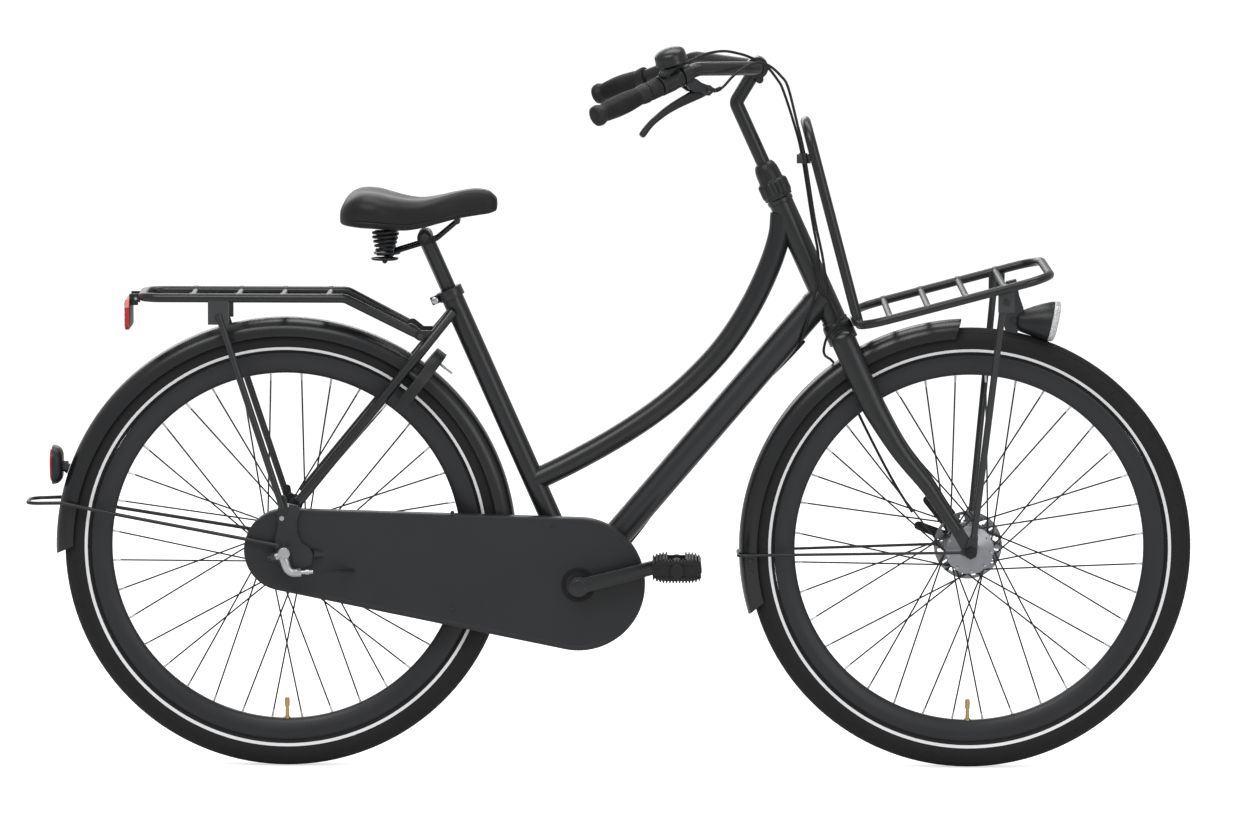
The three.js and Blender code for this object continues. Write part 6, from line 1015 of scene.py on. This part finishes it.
def make_collar():
    def ring(height, outer, dip):
        result = []
        for i in range(128):
            turn = 2 * math.pi * i / 128
            wave = 0.5 + 0.5 * math.cos(turn * COLLAR_RIDGES)
            radius = outer - dip * (1 - wave ** 0.5)
            result.append(steer(radius * math.cos(turn), radius * math.sin(turn), height))
        return result

    rows = [(640.6, 21.5, 0), (641.2, 22.6, 0), (645, 23, 0), (647.5, 24.3, 1.2), (650, 24.5, 2.3), (664, 24.5, 2.3),
            (668, 23.8, 1.6), (670, 21.4, 0.2), (671.4, 20, 0), (673, 19.6, 0), (682, 19.5, 0), (690, 18.6, 0),
            (696, 16.9, 0), (700.2, 14.6, 0), (702, 12.2, 0)]
    Shape().loft([ring(*row) for row in rows]).stand_for("headset_collar", PLASTIC, angle=50)


# Cables
SHIFT_HEAD = [(98.1, -181.1, 1135.5), (111, -172, 1141), (125, -162.5, 1147), (150, -140, 1157), (178, -112, 1160),
              (202, -88, 1155), (223, -68, 1147), (248, -50, 1132), (266, -42, 1110), (275, -39, 1093),
              (292, -37, 1042), (305, -36, 992), (322, -36, 888), (332, -36, 834), (332, -34, 792), (322, -33, 748),
              (313, -27, 714), (306, -17, 688)]
BRAKE_HEAD = [(166.6, -132.2, 1099), (178, -123, 1104), (193, -106, 1119), (211, -88, 1132), (229, -74, 1139),
              (242, -66, 1138), (255, -60, 1132), (270, -55, 1118), (282, -52, 1100), (297, -49, 1042),
              (309, -47, 992), (326, -47, 889), (338, -46, 834), (345, -42, 792)]
BRAKE_FORK = [(10, -35, 470), (12, -37, 440), (4, -42, 423), (-19, -39, 411), (-34, -22, 392), (-37, -2, 380),
              (-35, 20, 372), (-31, 38, 362), (-27, 44, 335), (-27, 45, 250), (-22, 45, 150), (-14, 45, 84)]
TUBE_PASS = [(0.13, -8), (0.22, 10), (0.34, 18), (0.5, 18), (0.66, 18), (0.78, 10), (0.88, -8)]
CABLE = 2.2


def shift_route():
    """From the gear grip past the head tube, under the down tube and the crank to the end of the axle."""
    head = steer(0, 0, DOWN_TUBE_HEAD)
    axis = (head - CRANK).normalized()
    below = Vector((axis.z, 0, -axis.x))
    tube = []
    for share, side in TUBE_PASS:
        reach = DOWN_TUBE_RADIUS + CABLE + 0.3
        place = head.lerp(CRANK, share) + below * math.sqrt(reach ** 2 - side ** 2)
        tube.append(Vector((place.x, side, place.z)))
    low = [CRANK + Vector((x, y, z - 20.9 - CABLE)) for x, y, z in ((22, -14, 3), (0, -18, 0), (-26, -24, 3))]
    tail = [on_chain_stay(-1, a, s) + Vector((0, 0, -9)) for a, s in ((0.25, 0.44), (0.42, 0.44), (0.62, 0.46))]
    tail += [SHIFT_HOLE + Vector((40, -30, 0)), SHIFT_HOLE + Vector((0, -56, 0)),
             SHIFT_CABLE_END + Vector((26, 4, 2)), SHIFT_CABLE_END + Vector((6.5, 0, 0))]
    return spline([Vector(p) for p in SHIFT_HEAD] + tube + low + tail, 4)


def lay_cable(node, route, body=None):
    piece = Shape().tube(route, CABLE, 12).stand_for(node, RUBBER, body=body, angle=60)


def make_cables():
    bend = ("steering", "bicycle_frame", (0.305, -0.036, 0.99), (0.306, -0.018, 0.70))
    lay_cable("shift_cable", shift_route(), bend)
    lay_cable("brake_cable", spline(BRAKE_HEAD + [steer(*p) for p in BRAKE_FORK], 4))
    # The clip that holds both cables together, and a dark ferrule at each control
    shape = Shape()
    for centre in ((306, -36, 986), (310, -47, 986)):
        shape.lathe([(2.3, -8), (4.4, -8), (4.8, -7), (4.8, 7), (4.4, 8), (2.3, 8)], centre, (0.16, 0, -1), 20)
    shape.box((297, -49, 978), (319, -35, 992))
    shape.done("cable_clip", "steering", "black_plastic", [PLASTIC])
    shape = Shape()
    for points in (SHIFT_HEAD, BRAKE_HEAD):
        a, b = Vector(points[0]), Vector(points[1])
        shape.lathe([(2.2, 1), (3.4, 1), (3.6, 2), (3.6, 9), (3, 10.5), (2.2, 11)], a, b - a, 20)
    shape.done("cable_ferrules", "steering", "bright_steel", [DARK])


# Lights and reflector
HEADLIGHT_HEIGHT, HEADLIGHT_MOUTH = 722, 680


def make_headlight():
    """A bullet shell whose mouth leans forward, a dished reflector with its lamp, and a fluted clear lens."""
    at, ahead = Vector((0, 0, HEADLIGHT_HEIGHT)), (1, 0, 0)

    def lean(shape):
        for corner in shape.corners:
            if corner.x > HEADLIGHT_MOUTH:
                share = min(1, (corner.x - HEADLIGHT_MOUTH) / 24)
                corner.x += 0.2 * (corner.z - HEADLIGHT_HEIGHT) * share
        return shape

    shape = Shape()
    shape.lathe([(0, 650), (9, 650.4), (13.5, 652.5), (16.6, 657), (20.4, 667), (24.6, 679), (28.6, 691), (31.4, 701),
                 (32, 705), (31.4, 706), (30, 706), (29, 699), (25, 694), (16, 686), (8, 682), (0, 681)], at, ahead,
                finishes=[0] * 10 + [1] * 6, closed=False)
    shape.lathe([(0, 681), (3.2, 682), (3.4, 691), (2.6, 693.4), (0, 694)], at, ahead, 16, 2, closed=False)
    lean(shape)
    plate = [(634, 786), (650, 790), (655, 764), (662, 744), (660, 716), (650, 702), (636, 700), (631, 716),
             (631, 760)]
    shape.plate(plate, -8, 8)
    shape.cross(Vector((646, 0, 724)), -10.4, -8, 5, 20, 2)
    shape.stand_for("headlight_body", PLASTIC, STEEL, DARK, angle=34)
    shape = Shape()
    shape.lathe([(0, 713.6), (12, 713.4), (22, 712), (27.4, 709.4), (29, 706.2), (31.8, 706.2), (31.8, 713.4),
                 (30.8, 715.6), (27, 717), (14, 717.8), (0, 718)], at, ahead, 64, closed=False)
    for turn in range(0, 360, 20):
        place = at + Vector((0, math.cos(turn * DEG) * 20, math.sin(turn * DEG) * 20))
        shape.bar(place + Vector((711.6, 0, 0)), place + Vector((713.4, 0, 0)), 1.6, 8)
    lean(shape).stand_for("headlight_lens", CLEAR, angle=50)


REAR_LIGHT_HEIGHT, REAR_LIGHT_RISE, REAR_LIGHT_HALF = 486.5, 31.5, 30


def light_ring(back, shrink):
    turns = [2 * math.pi * i / 36 for i in range(36)]
    return [Vector((-back, REAR_LIGHT_HALF * shrink * squared(math.cos(t), 0.75),
                    REAR_LIGHT_HEIGHT + REAR_LIGHT_RISE * shrink * squared(math.sin(t), 0.75))) for t in turns]


def make_rear_light():
    rows = [(876, 0.62), (877, 0.72), (880, 0.86), (884, 0.95), (889, 0.995), (892.4, 1), (892.6, 0.97)]
    shape = Shape().loft([light_ring(*row) for row in rows])
    seat, end = on_circle(REAR, 370.6, 160.5), on_circle(REAR, 391, 160.5)
    shape.tube([seat, seat.lerp(end, 0.35), end], [9, 6.5, 8], 20)
    rib = on_circle(REAR, 378, 160.5)
    for side in (-1, 1):
        shape.box((min(rib.x - 4, -880), side * 7 - 1.6, rib.z - 3), (rib.x + 6, side * 7 + 1.6, rib.z + 9))
    shape.stand_for("rear_light_body", PLASTIC, angle=34)
    shape = Shape().loft([light_ring(*row) for row in ((892.8, 0.86), (894.6, 0.85), (895.6, 0.8), (896, 0.72))])
    for i in range(-3, 4):
        height = REAR_LIGHT_HEIGHT + i * 5.4
        half = 19 * math.sqrt(1 - (i * 5.4 / 24) ** 2) + 2
        shape.bar((-895.4, -half, height), (-895.4, half, height), 0.8, 6)
    shape.stand_for("rear_light_lens", RED, angle=34)


REFLECTOR_HEIGHT, REFLECTOR_FACE = 732, 768.3


def make_reflector():
    low, high, half = 708, 756, 43.2
    outline = [(-half, low + 5), (-half + 5, low), (half - 5, low), (half, low + 5), (half, high - 12),
               (half - 7, high), (-half + 7, high), (-half, high - 12)]
    rings = []
    for back, inset in ((-2.9, 1), (-2.4, 0), (3.4, 0), (4.6, 1.6)):
        rings.append([Vector((-REFLECTOR_FACE - back, y * (1 - inset / half),
                              REFLECTOR_HEIGHT + (z - REFLECTOR_HEIGHT) * (1 - inset / 24))) for y, z in outline])
    shape = Shape().loft(rings)
    for i in range(-4, 5):
        for j in range(-2, 3):
            y, z = i * 8.6, REFLECTOR_HEIGHT + j * 8.2
            shape.bar((-REFLECTOR_FACE - 4.4, y, z), (-REFLECTOR_FACE - 5.4, y, z), 3.4, 6, 0, 1.2)
    shape.stand_for("rear_reflector", RED, angle=20)
    shape = Shape()
    shape.box((-766, -39, 711), (-764.4, 39, 752))
    for side in (-1, 1):
        shape.box((-766.5, side * 22.5 - 2.7, 746), (-752.6, side * 22.5 + 2.7, 764.2))
        shape.cross(Vector((-756, 0, 757)), side * 25, side * 27.6, 3, 14, 1)
    shape.stand_for("reflector_holder", PLASTIC, STEEL, rounding=0.5)


# Pedals: serrated treads above and below, closed end plates with bosses and a round bearing housing
CRANK_LENGTH, CRANK_TURN = 162, 14.5
PEDAL_NEAR, PEDAL_FAR, TREAD_HALF = 92, 187, 38.5


def make_pedal(side, node):
    centre = on_circle(CRANK, CRANK_LENGTH, CRANK_TURN if side < 0 else CRANK_TURN + 180)
    low, high = outward(side, PEDAL_NEAR, PEDAL_FAR)
    at = lambda x, z: (centre.x + x, centre.z + z)
    shape = Shape()

    def tread(left, right, sign, teeth):
        top = [at(left, sign * 10)]
        for i in range(teeth):
            a = left + (right - left) * i / teeth
            b = left + (right - left) * (i + 0.55) / teeth
            droop = 7 * (abs((a + b) / 2) / 39.5) ** 5
            foot, crest = sign * (16 - droop), sign * (19 - droop)
            top += [at(a, foot), at(a + (b - a) * 0.3, crest), at(b, crest), at(b + (b - a) * 0.25, foot)]
        return top + [at(right, sign * 10)]

    for sign in (-1, 1):
        for left, right in ((-TREAD_HALF, -13), (13, TREAD_HALF)):
            shape.plate(tread(left, right, sign, 5), low + 6.5, high - 6.5)
        outer_low, outer_high = (high - 12, high - 3) if side > 0 else (low + 3, low + 12)
        shape.plate(tread(-TREAD_HALF, TREAD_HALF, sign, 15), outer_low, outer_high)
    for end in (-1, 1):
        shape.cross(Vector((centre.x + end * 26.6, 0, centre.z)), low + 7, high - 7, 12.9, 24)
    # Closed end plates with raised bosses
    rim = [at(28.5 * s + 10.5 * math.cos(t * DEG), 14 * math.sin(t * DEG)) for s, turns in
           ((1, range(-90, 91, 15)), (-1, range(90, 271, 15))) for t in turns]
    for y0, y1 in ((low + 5, low + 8), (high - 8, high - 5)):
        shape.plate(rim, y0, y1)
        for x in (-24, 24):
            shape.cross(Vector((centre.x + x, 0, centre.z)), y0 - 0.8, y1 + 0.8, 5.2, 20)
        for x in (-34, -14, 14, 34):
            shape.box((centre.x + x - 1.4, y0 - 0.8, centre.z - 9), (centre.x + x + 1.4, y1 + 0.8, centre.z + 9))
    shape.cross(centre, low + 2, high - 2, 11, 32)
    outer = side * PEDAL_FAR
    shape.lathe([(0, 0), (9.4, 0), (11, 1.4), (11, 6), (13.4, 7), (13.4, 11), (11, 11)],
                centre + Vector((0, outer, 0)), (0, -side, 0), 32, closed=False)
    shape.cross(centre, outer, outer + side * 0.2, 5, 24)
    shape.stand_for(node, RUBBER, angle=28)


WHEELS = (("rear", REAR), ("front", FRONT))
for make, kind in ((make_tyre, "tyre"), (make_rim, "rim"), (make_valve, "inner_tube")):
    for end, centre in WHEELS:
        make(f"{end}_{kind}", centre)
make_hub("rear_hub", REAR, half=34, inset=3, flange=36, flange_width=5, barrel=29, circle=32.5)
make_hub("front_hub", FRONT, half=32, inset=3.5, flange=39, flange_width=4.5, barrel=34, circle=35)
make_disc()
make_front_guard()
make_rear_guard()
make_frame()
make_fork()
make_handlebar()
make_grip(-1, "right_grip")
make_grip(1, "left_grip")
make_twist()
make_bell()
make_saddle()
make_spring(-1, "saddle_spring_right")
make_spring(1, "saddle_spring_left")
make_rails()
make_rear_carrier()
make_front_carrier()
make_wires()
make_stand()
make_shifter()
make_thumb()
make_bracket()
make_lever()
make_stem()
make_collar()
make_cables()
make_headlight()
make_rear_light()
make_reflector()
make_pedal(-1, "right_pedal")
make_pedal(1, "left_pedal")


# Chaincase: a closed shell with rolled edges, a dark ring round the crank and dark screws
CASE_FRONT, CASE_REAR = 107, 66


def case_outline(inset, front_steps=48, rear_steps=30):
    """The arc round the chainring and the arc round the sprocket, set in from the edge of the case."""
    span = CRANK - REAR
    tilt = math.atan2(span.z, span.x) / DEG
    lean = math.asin((CASE_FRONT - CASE_REAR) / span.length) / DEG
    places = [on_circle(CRANK, CASE_FRONT - inset, tilt - 90 - lean + (180 + 2 * lean) * i / front_steps)
              for i in range(front_steps + 1)]
    places += [on_circle(REAR, CASE_REAR - inset, tilt + 90 + lean + (180 - 2 * lean) * i / rear_steps)
               for i in range(rear_steps + 1)]
    return places


def make_chaincase():
    rows = [(-54.4, 9), (-54.4, 1.8), (-33.6, 1.8), (-33.6, 13), (-32, 13), (-32, 1.4), (-32.6, 0.4), (-34, 0),
            (-53.4, 0), (-55.4, 0.7), (-56.7, 2.2), (-57.2, 4.2), (-57.1, 6), (-56.4, 7.4), (-56, 9)]
    shape = Shape().loft([[Vector((p.x, y, p.z)) for p in case_outline(inset)] for y, inset in rows])
    shape.lathe([(20.6, -57.5), (23.4, -57.5), (24.4, -58), (27, -58), (27.5, -57.4), (27.5, -55.5), (20.6, -55.5)],
                CRANK, steps=56, finishes=[2] * 7)
    for x, z in ((-250, 418), (-250, 262), (-90, 392), (30, 332)):
        shape.cross(Vector((x, 0, z)), -57.6, -56, 3.2, 16, 1)
    shape.stand_for("chaincase", CASE, DARK, TYRE, angle=24)


# Rear axle: sleeve, nuts, cap and the bell crank that the shift cable pulls, and the brake with its arm
NUT_RADIUS = 17 / math.sqrt(3)
BRAKE_ARM_SHARE = 152 / 472


def make_rear_axle():
    shape = Shape()
    shape.cross(REAR, -59.7, 59.7, 6.2, 32, 1)
    shape.cross(REAR, -74, 76.4, 4.8, 24, 1)
    for side in (-1, 1):
        shape.cross(REAR, *outward(side, 65.3, 74), NUT_RADIUS, 6)
    shape.lathe([(0, -96), (8, -96), (9.6, -94.6), (10, -92), (10, -76), (9, -74.4), (0, -74.4)], REAR, steps=36,
                closed=False)
    at = lambda *place: REAR + Vector(place)
    arm = [at(-2, -87, -3), at(2, -88, -14), at(6, -88, -25), at(13, -87, -31), at(22, -86, -31.5)]
    shape.tube(spline(arm), [8.4 - 2.0 * i / 24 for i in range(25)], 20)
    # The short arm with its nut and bolt end, and the sleeves that take the cable on the long one
    shape.bar(at(-13, -86, -6), at(-4, -87, -3), 6.4, 20)
    shape.bar(at(-20, -85, -8), at(-13, -86, -6), 7.2, 6, 1)
    shape.bar(at(-25, -84.5, -9.4), at(-20, -85, -8), 5, 20, 1)
    shape.bar(at(20, -86, -31.5), at(27, -85.5, -31), 6.6, 6)
    shape.bar(at(27, -85.5, -31), at(46, -84.4, -30.2), 3.3, 18)
    shape.bar(at(34, -85, -30.6), at(40, -84.7, -30.4), 4.6, 18)
    shape.lathe([(6.4, 34.4), (24, 34.4), (26.1, 36), (26.1, 44.4), (24.4, 46.2), (6.4, 46.2)], REAR)
    end = on_chain_stay(1, 1 - BRAKE_ARM_SHARE, 1) + Vector((0, 0, -17.1))
    shape.plate(tapered(REAR, 12, end, 7.5), 42.7, 46.2)
    shape.cross(end, 46.2, 49, 4.6, 6, 1)
    shape.stand_for("rear_axle", STEEL, DARK, angle=34)


# The bright bolt through the seat clamp
def make_clamp_bolt():
    clamp = on_seat_tube(506) + Vector((-SEAT_UP.z, 0, SEAT_UP.x)) * 27.1
    shape = Shape()
    shape.lathe([(0, -13.2), (3.4, -13.2), (5.4, -12.2), (5.6, -10), (0, -10)], clamp, steps=28, closed=False)
    shape.lathe([(0, 10), (5.4, 10), (5.4, 12.6), (0, 12.8)], clamp, steps=6, closed=False)
    shape.done("seat_clamp_bolt", "bicycle_frame", "bright_steel", [STEEL])


make_chaincase()
make_rear_axle()
make_clamp_bolt()

# Every other CAD node stands as a rounded copy of itself
BEVELS = {
    "right_crank": 1.6, "left_crank": 1.6, "ring_lock_body": 1.4, "ring_lock_key": 0.4, "seat_clamp": 0.6,
    "brake_arm": 0.4, "front_axle": 0.4, "saddle_clamp": 0.8, "chainring": 0.2, "sprocket": 0.2, "seatpost": 0.2,
}
CHOSEN = {"brake_arm": DARK, "ring_lock_key": STEEL, "front_axle": DARK}
for name in sorted(NODES):
    if name not in REPLACED:
        refine(name, BEVELS.get(name, 0.0), CHOSEN.get(name))


# Floor, backdrop light and lamps, in metres
FLOOR_GLOW, SKY_LIGHT = 0.62, 0.55
floor_mesh = bpy.data.meshes.new("floor")
floor_mesh.from_pydata([(-40, -14, 0), (40, -14, 0), (40, 60, 0), (-40, 60, 0)], [], [(0, 1, 2, 3)])
floor = bpy.data.objects.new("floor", floor_mesh)
bpy.context.scene.collection.objects.link(floor)
floor_material = bpy.data.materials.new("pale_floor")
floor_material.use_nodes = True
tree = floor_material.node_tree
tree.nodes.clear()
diffuse = add_node(tree, "BsdfDiffuse", Color=(0.8, 0.8, 0.8, 1))
seen = add_node(tree, "Math", [(add_node(tree, "LightPath").outputs["Is Camera Ray"], 0)])
seen.operation = "MULTIPLY"
seen.inputs[1].default_value = FLOOR_GLOW
glow = add_node(tree, "Emission", [(seen.outputs[0], "Strength")])
both = add_node(tree, "AddShader", [(diffuse.outputs[0], 0), (glow.outputs[0], 1)])
add_node(tree, "OutputMaterial", [(both.outputs[0], "Surface")])
floor_mesh.materials.append(floor_material)

world = bpy.data.worlds.new("studio")
bpy.context.scene.world = world
world.use_nodes = True
tree = world.node_tree
background = tree.nodes["Background"]
background.inputs["Color"].default_value = (1, 1, 1, 1)
rays = add_node(tree, "LightPath")
sight = add_node(tree, "Math", [(rays.outputs["Is Camera Ray"], 0), (rays.outputs["Is Transmission Ray"], 1)])
sight.operation = "MAXIMUM"
level = add_node(tree, "MapRange", [(sight.outputs[0], "Value")], To_Min=SKY_LIGHT, To_Max=1.0)
tree.links.new(level.outputs["Result"], background.inputs["Strength"])


def lamp(name, place, target, size, watts):
    data = bpy.data.lights.new(name, "AREA")
    data.shape = "RECTANGLE"
    data.size, data.size_y = size
    data.energy = watts
    light = bpy.data.objects.new(name, data)
    bpy.context.scene.collection.objects.link(light)
    light.location = place
    light.rotation_euler = (Vector(target) - Vector(place)).to_track_quat("-Z", "Y").to_euler()


lamp("key", (-1.2, -2.6, 3.6), (0, 0, 0.5), (3.0, 1.6), 70)
lamp("top", (0.4, 0.6, 3.8), (0, 0, 0.5), (3.4, 1.6), 60)
lamp("fill", (2.6, -3.2, 1.8), (0, 0, 0.5), (2.0, 2.0), 25)
lamp("back", (-1.0, 3.4, 2.2), (0, 0, 0.6), (3.0, 1.6), 35)
